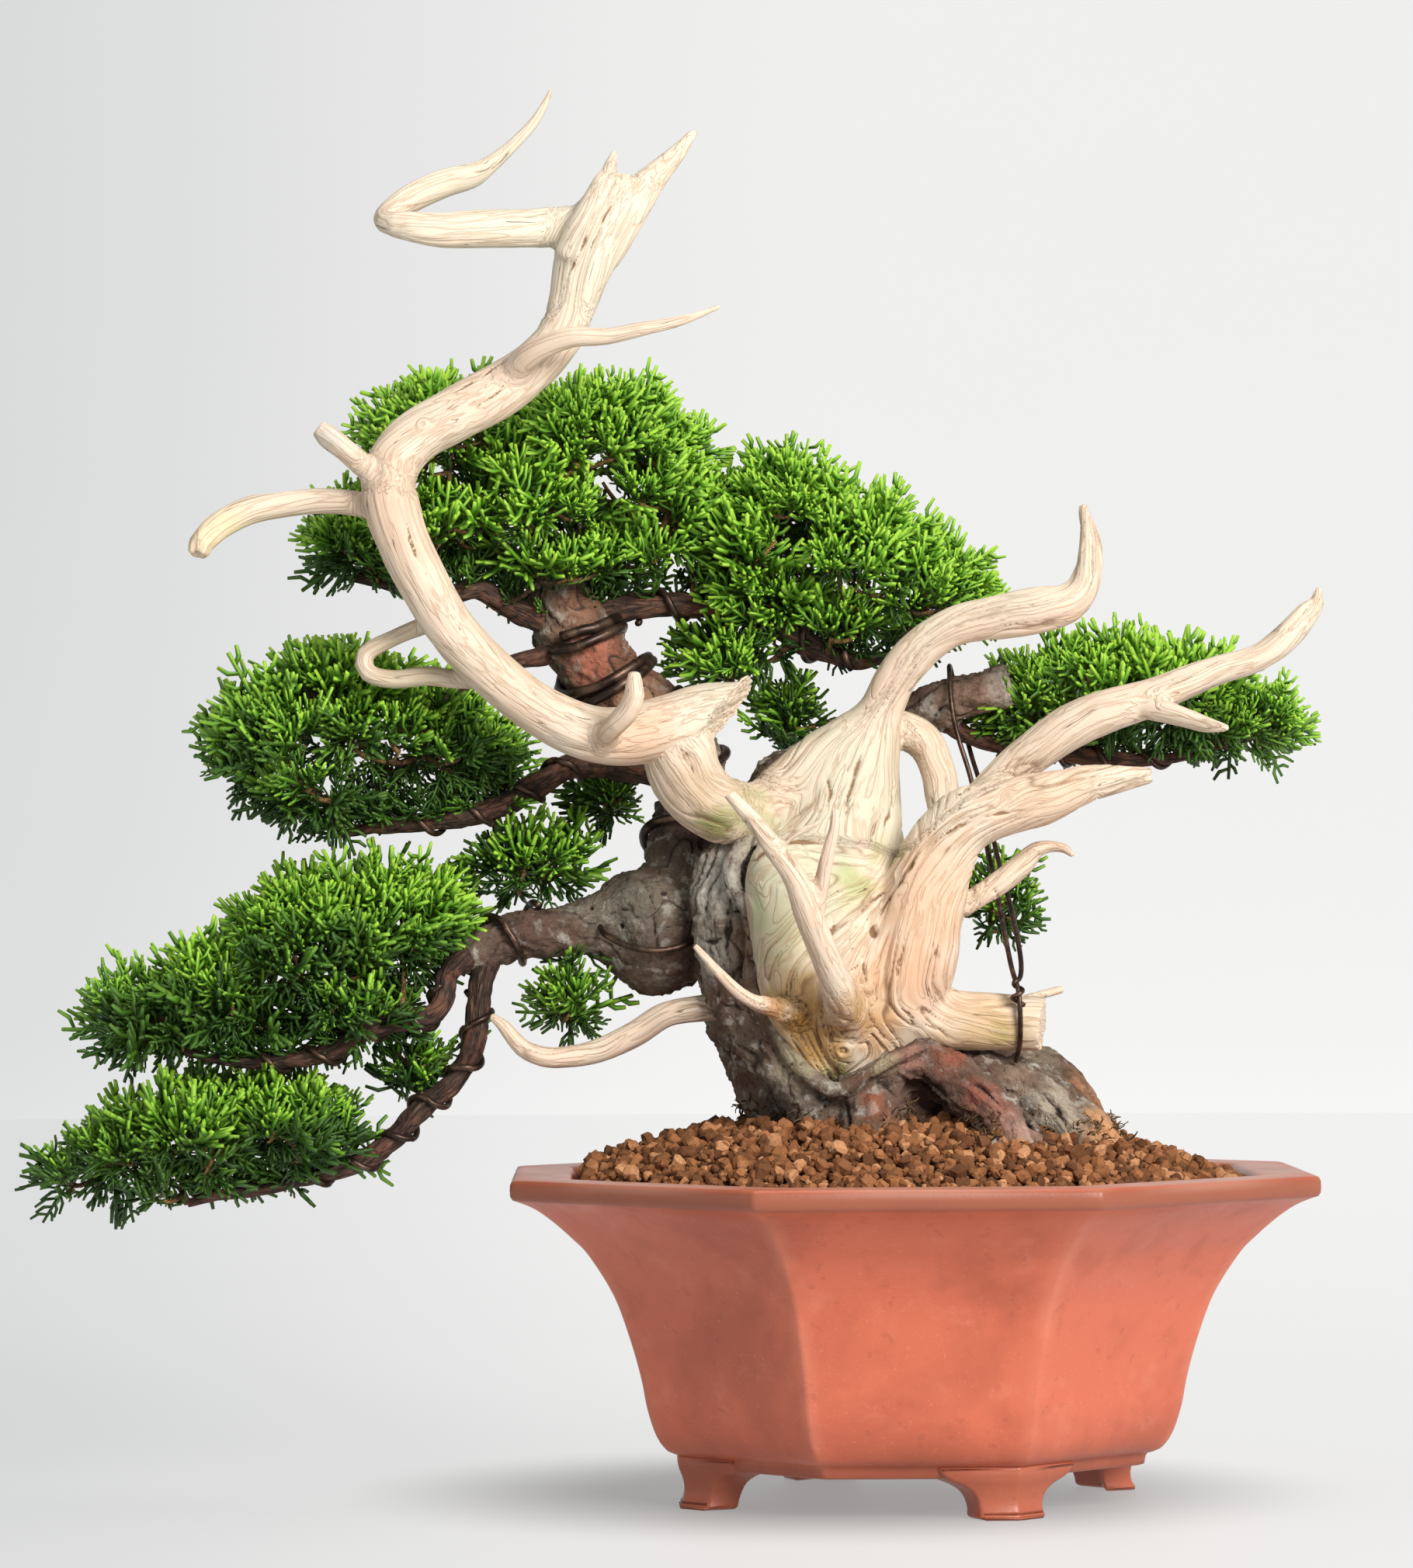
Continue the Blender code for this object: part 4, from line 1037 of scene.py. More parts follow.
@dataclass(frozen=True)
class Granules:
    """Baked red-brown clay granules."""

    name: str
    dark: Colour
    mid: Colour
    pale: Colour

    def material(self) -> bpy.types.Material:
        """Make the material."""
        sheet, shader = start_finish(self.name)
        cloud, specks = mottle(sheet, 500.0, 1500.0)
        tone = sheet.read("tone")
        colour = sheet.mix(tone, self.dark, self.mid)
        light = sheet.step(sheet.sum("ADD", tone, sheet.sum("MULTIPLY", cloud, 0.4)), 0.95, 1.25)
        colour = sheet.mix(light, colour, self.pale)
        colour = sheet.cover(colour, self.dark, sheet.step(cloud, 0.5, 0.7), 0.4)
        sheet.feed(shader, Base_Color=colour, Roughness=0.95)
        sheet.feed(shader, Normal=sheet.bump(sheet.sum("ADD", cloud, specks), 0.5, 0.8))
        shader.inputs["Specular IOR Level"].default_value = 0.15
        return bpy.data.materials[self.name]


@dataclass(frozen=True)
class TrainingWire:
    """Dull bronze coloured annealed wire."""

    name: str = "annealed_wire"
    dark: Colour = (0.045, 0.028, 0.022)
    worn: Colour = (0.16, 0.095, 0.065)

    def material(self) -> bpy.types.Material:
        """Make the material."""
        sheet, shader = start_finish(self.name)
        cloud, specks = mottle(sheet, 160.0, 900.0)
        colour = sheet.mix(sheet.step(cloud, 0.42, 0.68), self.dark, self.worn)
        sheet.feed(shader, Base_Color=colour, Roughness=sheet.sum("ADD", sheet.sum("MULTIPLY", cloud, 0.3), 0.25))
        sheet.feed(shader, Normal=sheet.bump(sheet.sum("ADD", cloud, specks), 0.08, 0.5))
        shader.inputs["Metallic"].default_value = 0.75
        return bpy.data.materials[self.name]


@dataclass(frozen=True)
class ScreenWeave:
    """Black plastic netting, woven square."""

    pitch: float = 1.6

    def material(self) -> bpy.types.Material:
        """Make the material."""
        sheet, shader = start_finish("plastic_netting")
        waves = []
        for direction in ("X", "Y"):
            wave = sheet.add("ShaderNodeTexWave", bands_direction=direction)
            sheet.feed(wave, Vector=sheet.own(), Scale=1 / (self.pitch * MM * 20))
            waves.append(wave.outputs["Fac"])
        strand = sheet.sum("MAXIMUM", *waves)
        colour = sheet.mix(sheet.step(strand, 0.5, 0.8), (0.004, 0.004, 0.004), (0.03, 0.03, 0.032))
        sheet.feed(shader, Base_Color=colour, Roughness=0.5)
        sheet.feed(shader, Normal=sheet.bump(strand, 0.4))
        return bpy.data.materials["plastic_netting"]


# ---- the deadwood -------------------------------------------------------------------------------


@dataclass
class DeadTrunk:
    """The bleached trunk with the limbs and jins that rise from it."""

    voxel: float = 0.62
    flute_rise: float = 1.0
    body: Limb = Limb((
        (-26, -14, 128, 8), (-20, -16, 137, 18), (-19, -17, 152, 26), (-21, -16, 168, 28),
        (-25, -12, 185, 27), (-24, -8, 201, 24), (-21, -6, 216, 21), (-17, -6, 229, 17),
        (-12, -8, 240, 12), (-8, -10, 248, 7.5), (-4, -12, 257, 6.8), (2, -14, 265, 6.8),
        (9, -16, 271, 6.4), (17, -18, 275, 6.4), (28, -20, 277, 7), (39, -22, 279, 7.5),
        (50, -23, 281, 6.5), (55, -23, 286, 5.2), (57, -23, 294, 4.4), (57, -23, 301, 3.4),
        (56, -23, 307, 2.4), (55, -23, 312, 1.2),
    ), wind=0.004, fray=34, streamed=True)
    lobe: Limb = Limb((
        (-33, -22, 207, 9), (-37, -25, 197, 14), (-35, -26, 184, 15.5), (-33, -26, 170, 15.5), (-30, -25, 156, 15.5),
        (-27, -25, 144, 12.5), (-24, -28, 134, 7.5),
    ), wind=-0.01, streamed=True)
    buttress: Limb = Limb((
        (-12, 0, 242, 7), (-2, 2, 242, 6.6), (6, 0, 238, 6), (10, -4, 229, 5.5), (11, -10, 221, 5.5),
        (13, -16, 212, 5.5),
    ))
    right_limb: Limb = Limb((
        (-9, -24, 144, 11), (-5, -27, 158, 14.5), (0, -29, 172, 15), (3, -30, 185, 13.5),
        (8, -30, 200, 12), (16, -32, 212, 10.5), (29, -34, 217, 9.2), (42, -35, 220, 8.4),
        (54, -36, 224, 6), (65, -36, 226, 4), (75, -36, 227, 2.2),
    ), wind=-0.006, fray=30, streamed=True)
    cut_stub: Limb = Limb((
        (-5, -24, 154, 10), (9, -24, 151.5, 9.4), (25, -24, 150.5, 8.8), (37, -24, 150, 8.5), (46, -24, 149.5, 8.3),
    ), streamed=True)
    neck: Limb = Limb((
        (-34, -8, 217, 10), (-50, -14, 215, 10.4), (-62, -19, 219, 10.8), (-69, -23, 227, 11.6),
        (-72, -27, 237, 11.6), (-75, -30, 243, 9.7),
    ), wind=0.01)
    shoulder: Limb = Limb(((-14, -9, 239, 10), (-26, -10, 230, 11.5), (-38, -11, 221, 11), (-50, -13, 213, 9)),
                          streamed=True)
    streams: Streams = Streams((
        Stream(-28, ((-26.5, 131), (-38, 141.5), (-45.6, 151.6), (-50.7, 163), (-50, 175), (-51, 185), (-55, 195),
                     (-49, 203),
                     (-40, 206), (-26, 206), (-12, 204))),
        Stream(-21, ((-25.5, 132), (-34.5, 143), (-41, 153), (-45, 163), (-42, 172), (-35, 181), (-25, 188),
                     (-12, 194), (-5, 203))),
        Stream(-15, ((-24.5, 133), (-30.5, 143), (-35.5, 154), (-37, 164), (-31, 172), (-22, 179), (-13, 186),
                     (-6, 194))),
        Stream(-9, ((-23.5, 134), (-26.5, 143), (-28, 151.6), (-26.5, 159), (-26, 165), (-20, 173), (-14, 179),
                    (-10, 186))),
        Stream(-3, ((-20, 134.5), (-14.5, 139.5), (-14.5, 145), (-18, 150), (-20.5, 157), (-18, 165), (-15, 173),
                    (-11.5, 180), (-8, 188))),
        Stream(5, ((-4, 141.5), (-8, 146.5), (-12.5, 152), (-13, 159), (-11, 170), (-7.5, 182), (-3, 195), (6, 207),
                   (17, 215), (30, 221))),
        Stream(12, ((8, 145.5), (3.5, 148.5), (-0.6, 153), (-4, 158.5), (-3, 170), (0, 183), (5, 196), (13, 206),
                    (24, 213), (40, 219),
                    (58, 225), (75, 228))),
        Stream(19, ((45, 147.5), (31, 148), (17.4, 151.5), (8.4, 155), (5, 161), (6, 170), (8, 183), (13, 194),
                    (20, 203), (32, 210),
                    (50, 216.5), (75, 226))),
        Stream(26, ((45, 155), (25, 156), (14, 158), (12, 163), (13, 175), (15, 185), (19, 193), (27, 200), (40, 209),
                    (58, 219))),
    ), (
        Stream(-20, ((-52, 206), (-44, 215), (-36, 226), (-26, 237), (-14, 246), (-6, 258), (0, 267), (12, 277),
                     (28, 284),
                     (48, 289), (51, 300), (53, 312))),
        Stream(-11, ((-36, 209), (-30, 218), (-24, 232), (-16, 243), (-7, 252), (0, 262), (10, 273), (28, 280),
                     (50, 285),
                     (54, 300), (55, 312))),
        Stream(0, ((-22, 207), (-18, 222), (-13, 236), (-9, 247), (-3, 257), (4, 266), (15, 273.5), (30, 277),
                   (52, 282),
                   (57, 296), (56, 310))),
        Stream(10, ((-9, 205), (-6, 221), (-5, 236), (-4, 248), (2, 258), (9, 266), (20, 270), (32, 272.5), (52, 276),
                    (61, 290), (58, 308))),
        Stream(15, ((-1, 206), (2, 220), (0, 235), (0, 246), (6, 256), (14, 262), (24, 266), (40, 270), (58, 275),
                    (64, 290))),
    ), ((-80, 200), (-54, 203), (-42, 208.5), (-30, 208.5), (-12, 206), (-4, 203), (2, 207), (9, 213.5), (16.4, 220),
        (24, 224),
        (40, 230), (80, 234)))
    long_jin: Limb = Limb((
        (17, -20, 214, 5.6), (31, -20, 228, 6.1), (40, -22, 235, 6.6), (50, -24, 242, 7.3),
        (62, -26, 247, 7.3), (75, -28, 251, 6.3), (87, -30, 256, 5.3), (98, -31, 260, 4.6),
        (108, -32, 263, 4.2), (117, -32, 269, 4.4), (123, -32, 276, 3.6), (127, -32, 281, 2.3),
        (128, -32, 285, 1),
    ), wind=0.008, fray=22)
    long_side: Limb = Limb(((72, -29, 249, 4), (84, -38, 245, 3.1), (92, -44, 242, 2.4), (98, -48, 241, 1)))
    lower_hook: Limb = Limb((
        (8, -27, 184, 5.5), (19, -24, 188, 3.9), (24, -24, 191, 3.9), (30, -24, 195, 4),
        (36, -24, 200, 3.7), (40, -25, 204, 2.7), (45, -26, 205, 1.8), (49, -28, 204, 1.5),
        (51, -30, 202, 0.9),
    ))
    sliver: Limb = Limb(((29, -18, 154, 2), (38, -14, 157.5, 1.6), (49, -12, 160.5, 1.4)))
    front: Limb = Limb((
        (-20, -38, 152, 6), (-21, -50, 158, 6), (-26, -60, 170, 4.6), (-32, -66, 184, 4.4),
        (-36, -69, 195, 3.9), (-43, -71, 205, 3.4), (-49, -72, 213, 2.7), (-57, -73, 222, 1.8),
    ), wind=0.012)
    front_twig: Limb = Limb(((-30, -64, 182, 2.8), (-27, -70, 199, 2.3), (-24, -73, 211, 1.7), (-24, -74, 218, 0.9)))
    front_spur: Limb = Limb(((-43, -71, 203, 2.2), (-38, -73, 208, 1.6), (-31, -74, 211, 1.0), (-28, -75, 213, 0.6)))
    small_twig: Limb = Limb((
        (-36, -38, 153, 4.2), (-44, -46, 156, 3.4), (-48, -50, 157, 2.7), (-53, -53, 160, 2.2),
        (-60, -56, 167, 1.7), (-67, -58, 175, 1.1),
    ))
    low_left: Limb = Limb((
        (-52, -2, 157, 5.2), (-64, -6, 155, 4.4), (-76, -8, 153, 4), (-86, -11, 147, 4.1),
        (-97, -14, 142, 3.8), (-107, -17, 140, 3.5), (-114, -19, 140, 3.4), (-121, -21, 143, 3),
        (-127, -22, 150, 2.2), (-131, -22, 153, 1.1),
    ), wind=0.01)
    knots: tuple[Knot, ...] = (
        Knot((-21, -44, 142), 3.8, 0.5), Knot((30, -43, 221), 2.2, 0.3), Knot((-20, -48, 161), 2.2, 0.3),
    )
    cuts: tuple[Cut, ...] = (
        Cut((41, -24, 149), (1.0, -0.15, -0.1), 12, 0.5), Cut((-56, -72, 221), (-0.5, 0, 0.8), 4, 0.2),
        Cut((-24, -74, 216), (0, 0, 1), 3, 0.2), Cut((48.5, -12, 160.4), (1, 0, 0.1), 3, 0.1),
    )
    cracks: tuple[Crack, ...] = (
        Crack(((-11, -42, 181), (-11.5, -43, 179), (-11.5, -43, 176.5)), 1.0, 2.6),
        Crack(((-11.5, -42, 178), (-15, -44, 171), (-14, -44, 164), (-14, -43, 158), (-15, -43, 152)), 0.35, 1.2),
        Crack(((2.5, -43, 204), (-1, -42, 199), (-4, -42, 195)), 0.7, 1.6),
        Crack(((19, -42, 213), (11, -42, 209), (5, -42, 204)), 0.45, 1.2),
        Crack(((22, -42, 214), (28, -42, 215), (35, -43, 216)), 0.5, 1.0),
        Crack(((12.5, -30, 187), (14, -29, 190), (14, -28, 193)), 0.5, 1.6),
        Crack(((-49, -26, 200), (-42, -34, 206), (-32, -36, 207), (-20, -38, 205.5)), 0.8, 0.8),
        Crack(((3, -42, 203), (-3, -43, 195), (-8, -44, 187), (-11, -44, 180)), 0.55, 1.1),
        Crack(((-13, -42, 171), (-20, -42, 166), (-25, -42, 160)), 0.3, 0.8),
        Crack(((-7, -42, 192), (-12, -42, 188), (-16, -42, 184)), 0.3, 0.7),
        Crack(((-25, -40, 186), (-24, -40, 180), (-26, -40, 175)), 0.3, 0.7),
        Crack(((-2, -42, 176), (-4, -42, 169), (-5, -42, 163)), 0.25, 0.6),
        Crack(((-25.5, -30, 227), (-24.5, -31, 222), (-26, -32, 217)), 0.5, 1.4),
        Crack(((-30, -45, 154), (-29, -44, 145), (-25, -42, 136)), 0.5, 1.0),
        Crack(((-37, -42, 153), (-33, -41, 144), (-27, -39, 135)), 0.45, 1.0),
        Crack(((-41, -42, 152), (-36, -41, 144), (-29, -39, 134)), 0.4, 0.8),
        Crack(((-25, -42, 156), (-25, -41, 147), (-23, -39, 138)), 0.45, 0.9),
        Crack(((-13, -44, 158), (-12.5, -44, 152), (-8, -42, 146), (-3, -42, 142.5)), 0.3, 0.6),
        Crack(((-4, -44, 160), (-1, -44, 153.5), (5, -42, 149.5), (12, -40, 147)), 0.3, 0.6),
        Crack(((-14, -28, 236), (-17, -30, 226), (-20, -31, 216)), 0.6, 1.0),
        Crack(((-9, -28, 214), (-11, -30, 209), (-12, -30, 205)), 0.5, 1.2),
        Crack(((-4, -24, 226), (-5, -26, 217), (-8, -28, 210)), 0.5, 1.2),
        Crack(((26, -30, 192), (27.5, -30, 189), (26, -30, 186)), 0.4, 1.2),
    )
    stains: tuple[Stain, ...] = (
        Stain((-34, -30, 194), 26, (0.56, 0.57, 0.41), 0.85),
        Stain((-16, -20, 224), 26, (0.61, 0.58, 0.44), 0.85),
        Stain((-38, -40, 176), 14, (0.58, 0.55, 0.33), 0.7),
        Stain((6, -45, 190), 24, (0.72, 0.47, 0.31), 0.85),
        Stain((-2, -45, 166), 18, (0.70, 0.43, 0.27), 0.85),
        Stain((42, -40, 218), 22, (0.72, 0.52, 0.37), 0.7),
        Stain((-38, -38, 157), 13, (0.52, 0.34, 0.12), 0.85),
        Stain((-30, -38, 145), 15, (0.56, 0.32, 0.08), 0.95),
        Stain((-10, -42, 148), 12, (0.62, 0.37, 0.20), 0.8),
        Stain((-15, -50, 156), 12, (0.57, 0.34, 0.14), 0.85),
        Stain((-23, -34, 134), 7, (0.36, 0.34, 0.09), 0.8),
        Stain((24, -32, 148), 16, (0.66, 0.47, 0.24), 0.75),
        Stain((30, -32, 145), 7, (0.50, 0.40, 0.12), 0.6),
        Stain((-18, -38, 194), 9, (0.42, 0.48, 0.20), 0.75),
        Stain((-46, -36, 184), 8, (0.46, 0.52, 0.28), 0.6),
        Stain((-5, -30, 204), 7, (0.46, 0.48, 0.20), 0.75),
        Stain((-60, -26, 212), 9, (0.20, 0.22, 0.05), 0.9),
        Stain((-52, -22, 216), 11, (0.38, 0.38, 0.17), 0.8),
        Stain((-66, -32, 224), 10, (0.56, 0.40, 0.24), 0.6),
        Stain((-45, -44, 155), 6, (0.55, 0.22, 0.07), 0.8),
        Stain((-1, -6, 222), 7, (0.25, 0.20, 0.13), 0.9),
    )

    def build(self, finish: bpy.types.Material) -> None:
        """Grow the trunk, carve its grain, and stand it in the model."""
        noise = Noise(11)
        limbs = (
            self.body, self.right_limb, self.lobe, self.shoulder, self.buttress, self.cut_stub, self.neck,
            self.long_jin, self.long_side,
            self.lower_hook, self.sliver, self.front, self.front_twig, self.front_spur, self.small_twig, self.low_left,
        )
        skin = Skin(limbs, self.voxel)
        skin.settle((30, 3.5, 9.0), 4, self.cuts, noise, self.streams)
        skin.swirl(noise, 1.1, 12.0)
        skin.ring(self.knots)
        gnarled = 1.0 + 1.1 * np.exp(-((np.linalg.norm(skin.points - (-18, -38, 148), axis=1) / 24.0) ** 2))
        carve_grain(skin, noise, self.flute_rise, 0.9, gnarled)
        skin.bulge(self.knots, 0.55, 0.5)
        skin.crack(self.cracks, noise)
        skin.paint(self.stains, noise)
        skin.publish("deadwood_trunk", finish, Slot.DEADWOOD, (
            "trunk_deadwood", "jin_long_right", "jin_long_side", "jin_lower_hook", "jin_sliver", "jin_front",
            "jin_front_twig", "jin_small_twig", "jin_low_left",
        ))


@dataclass
class DeadArch:
    """The great bleached arch that sweeps up to the left, with its own jins."""

    voxel: float = 0.55
    flute_rise: float = 0.55
    arch: Limb = Limb((
        (-45, -24.5, 252, 6.0), (-54, -25.5, 249.5, 7.8), (-64, -27, 247, 9.6), (-75, -30, 243, 10.2),
        (-90, -33, 240, 9.4),
        (-103, -36, 242, 8.7), (-118, -39, 250, 8), (-131, -42, 261, 7.9), (-142, -44, 273, 7.9),
        (-149, -46, 285, 8.1), (-156, -47, 299, 8.4), (-160, -48, 312, 8.6), (-160, -47, 322, 8.4),
        (-153, -44, 332, 8.2), (-140, -41, 340, 8.6), (-127, -38, 347, 8.8), (-116, -36, 355, 8),
        (-108, -34, 364, 7.4), (-104, -33, 374, 7.7), (-101, -32, 385, 9.4), (-98, -31, 395, 10.2),
        (-94, -30, 403, 9.0), (-90, -29, 410, 6.0), (-88, -28, 415, 3.4),
    ), fray=10, streamed=True)
    left_prong: Limb = Limb((
        (-104, -36, 388, 6), (-100, -38, 398, 5.6), (-95.5, -37.5, 408, 4.2), (-92.5, -36, 415, 2.6),
        (-90.5, -35, 422, 1.0),
    ), fray=16, streamed=True)
    right_prong: Limb = Limb((
        (-102, -32, 378, 4.5), (-99.5, -31, 386, 7.6), (-93, -29.5, 396.5, 8.4), (-86, -27, 406, 6.8),
        (-78, -24.5, 415.5, 4.3),
        (-71, -22.5, 423, 2.6), (-65.5, -20, 430, 1.1),
    ), fray=12, streamed=True)
    streams: Streams = Streams((
        Stream(0, (
            (-45, 252), (-64, 247), (-90, 240), (-118, 250), (-142, 273), (-156, 299), (-160, 322), (-153, 332),
            (-127, 347),
            (-108, 364), (-102, 385), (-97, 400), (-91, 413),
        )),
        Stream(-4, ((-108, 376), (-106, 388), (-99.5, 401), (-94.5, 411), (-91, 422))),
        Stream(5, ((-99, 376), (-96, 388), (-89, 400), (-81, 412), (-71, 423), (-65, 431))),
    ), depth=0.7)
    hook: Limb = Limb((
        (-98, -30, 399, 6), (-108, -30, 399, 6.4), (-118, -34, 398, 6.2), (-132, -42, 397, 6.1),
        (-144, -48, 396, 5.6), (-154, -51, 397, 4.7), (-161, -49, 398.5, 3.6), (-160, -42, 402, 4.0),
        (-153, -34, 408, 4.5), (-144, -27, 413, 4.5), (-136, -21, 416, 4.1), (-131, -16, 419.5, 3.0),
        (-124, -11, 426, 2.1), (-117, -6, 434, 1.7), (-113, -3, 441, 1.2), (-111, -2, 446, 0.6),
    ), wind=0.01)
    side: Limb = Limb((
        (-123, -42, 352, 4.2), (-117, -49, 357, 4.2), (-111, -53, 360, 3.8), (-103, -56, 362, 3.3),
        (-93, -57, 362, 2.7), (-83, -58, 364, 2.4), (-73, -58, 366, 1.9), (-66, -58, 368, 1.3), (-58, -58, 371, 0.7),
    ), fray=24)
    left_stub: Limb = Limb(((-159, -48, 316, 5.2), (-168, -52, 323, 4.0), (-174, -54, 328, 3.5), (-179, -55, 332, 3.8),
                            (-182, -55, 334.5, 2.6)))
    left: Limb = Limb((
        (-158, -46, 309, 4.8), (-171, -42, 312, 3.9), (-182, -40, 313, 4), (-193, -40, 312, 4),
        (-204, -42, 310, 4.4), (-213, -46, 305, 4.3), (-218, -50, 299.5, 3.9), (-219, -51, 296, 3.0),
    ), wind=0.008, fray=8)
    loop: Limb = Limb((
        (-145, -42, 276, 3.2), (-152, -34, 274, 2.8), (-160, -30, 271, 2.6), (-169, -29, 266, 3),
        (-168, -30, 260, 2.9), (-160, -31, 258, 2.9), (-150, -32, 259, 3.1), (-142, -34, 258, 3),
        (-128, -40, 257, 2.9),
    ))
    heel: Limb = Limb((
        (-96, -38, 238, 3.2), (-92, -50, 242, 3.4), (-87, -55, 247, 3.5), (-85, -57, 252, 3.2),
        (-85, -57, 256, 2.6), (-85, -57, 259, 1.8),
    ))
    knots: tuple[Knot, ...] = (
        Knot((-150, -52, 336), 2.0, 0.35), Knot((-151, -54, 296), 1.4, 0.3),
    )
    cuts: tuple[Cut, ...] = (
        Cut((-57.5, -26, 247), (0.8, -0.3, -0.5), 16, 0.6),
    )
    cracks: tuple[Crack, ...] = (
        Crack(((-96, -41, 404), (-100, -41, 392), (-106, -41, 381), (-108, -41, 370)), 0.3, 0.9),
        Crack(((-90, -41, 408), (-95, -41, 397), (-99, -41, 389)), 0.3, 0.7),
        Crack(((-142, -49, 345), (-132, -47, 351), (-123, -44, 358)), 0.3, 0.8),
        Crack(((-134, -49, 341), (-128, -47, 345), (-122, -44, 351)), 0.25, 0.6),
        Crack(((-120, -46, 262), (-108, -44, 254), (-96, -42, 249)), 0.25, 0.6),
        Crack(((-155, -54, 306), (-153, -54, 297), (-148, -52, 288)), 0.2, 0.5),
    )
    stains: tuple[Stain, ...] = (
        Stain((-108, -34, 398), 48, (0.76, 0.69, 0.55), 0.75),
        Stain((-130, -20, 420), 30, (0.70, 0.62, 0.48), 0.7),
        Stain((-178, -57, 331), 5, (0.58, 0.54, 0.48), 0.8),
        Stain((-213, -48, 302), 14, (0.80, 0.64, 0.36), 0.6),
        Stain((-152, -31, 264), 18, (0.62, 0.54, 0.36), 0.6),
        Stain((-158, -56, 308), 26, (0.70, 0.50, 0.365), 0.7),
        Stain((-120, -46, 258), 26, (0.72, 0.55, 0.41), 0.6),
        Stain((-62, -32, 250), 12, (0.62, 0.60, 0.48), 0.5),
        Stain((-84, -44, 238), 16, (0.74, 0.50, 0.34), 0.8),
    )

    def build(self, finish: bpy.types.Material) -> None:
        """Grow the arch, carve its grain, and stand it in the model."""
        noise = Noise(23)
        limbs = (
            self.arch, self.left_prong, self.right_prong, self.hook, self.side, self.left_stub, self.left, self.loop,
            self.heel,
        )
        skin = Skin(limbs, self.voxel)
        skin.settle((22, 3.0, 8.0), 4, self.cuts, noise, self.streams)
        skin.swirl(noise, 1.1, 24.0)
        skin.ring(self.knots)
        carve_grain(skin, noise, self.flute_rise, 0.35, np.ones(len(skin.points)))
        skin.bulge(self.knots, 0.5, 0.0)
        skin.crack(self.cracks, noise)
        skin.paint(self.stains, noise)
        skin.publish("deadwood_arch", finish, Slot.DEADWOOD, (
            "jin_arch", "jin_hook", "jin_side", "jin_left_stub", "jin_left", "jin_loop", "jin_heel",
        ))


def carve_grain(skin: Skin, noise: Noise, rise: float, shade: float, gnarled: Array) -> None:
    """Carve flutes, grooves and splinters along the grain of dead wood, and paint brown shade into the grooves and the
    troughs between flutes and splinters.

    Args:
        skin: the skin.
        noise: the noise that sets the pattern.
        rise: how deep the flutes are.
        shade: how dark the painted brown shade in the grooves is.
        gnarled: how much deeper the fine grooves are at each point.
    """
    grain = skin.grain
    room = np.minimum(1.0, skin.radius / 9.0)
    flute = noise.at(grain, (8.5, 8.5, 95.0)) * room
    patchy = np.clip(smoothstep(noise.at(skin.points, 22.0), -0.5, 0.3) + gnarled - 1, 0, 1)
    groove = ridges(noise.at(grain + 70.0, (3.4, 5.0, 70.0)), 0.22) * patchy
    fine = noise.at(grain + 130.0, (1.6, 2.4, 30.0))
    splinter = noise.at(grain + 200.0, (2.4, 2.4, 44.0)) * skin.fray * 0.42 * skin.radius
    skin.push(rise * flute - (0.25 + 0.45 * shade) * gnarled * groove * room + 0.22 * gnarled * fine * room + splinter)
    # painted shade: darker brown in the grooves and in the troughs of the flutes
    brown = (0.35 + 0.3 * gnarled) * groove + 0.35 * smoothstep(-flute, 0.45, 0.9)
    # painted shade also in the gaps between splinters at frayed ends
    skin.hollow = np.maximum(skin.hollow, shade * brown + 0.4 * skin.fray * smoothstep(-splinter, 0.3, 1.0))


# ---- the live trunk -----------------------------------------------------------------------------


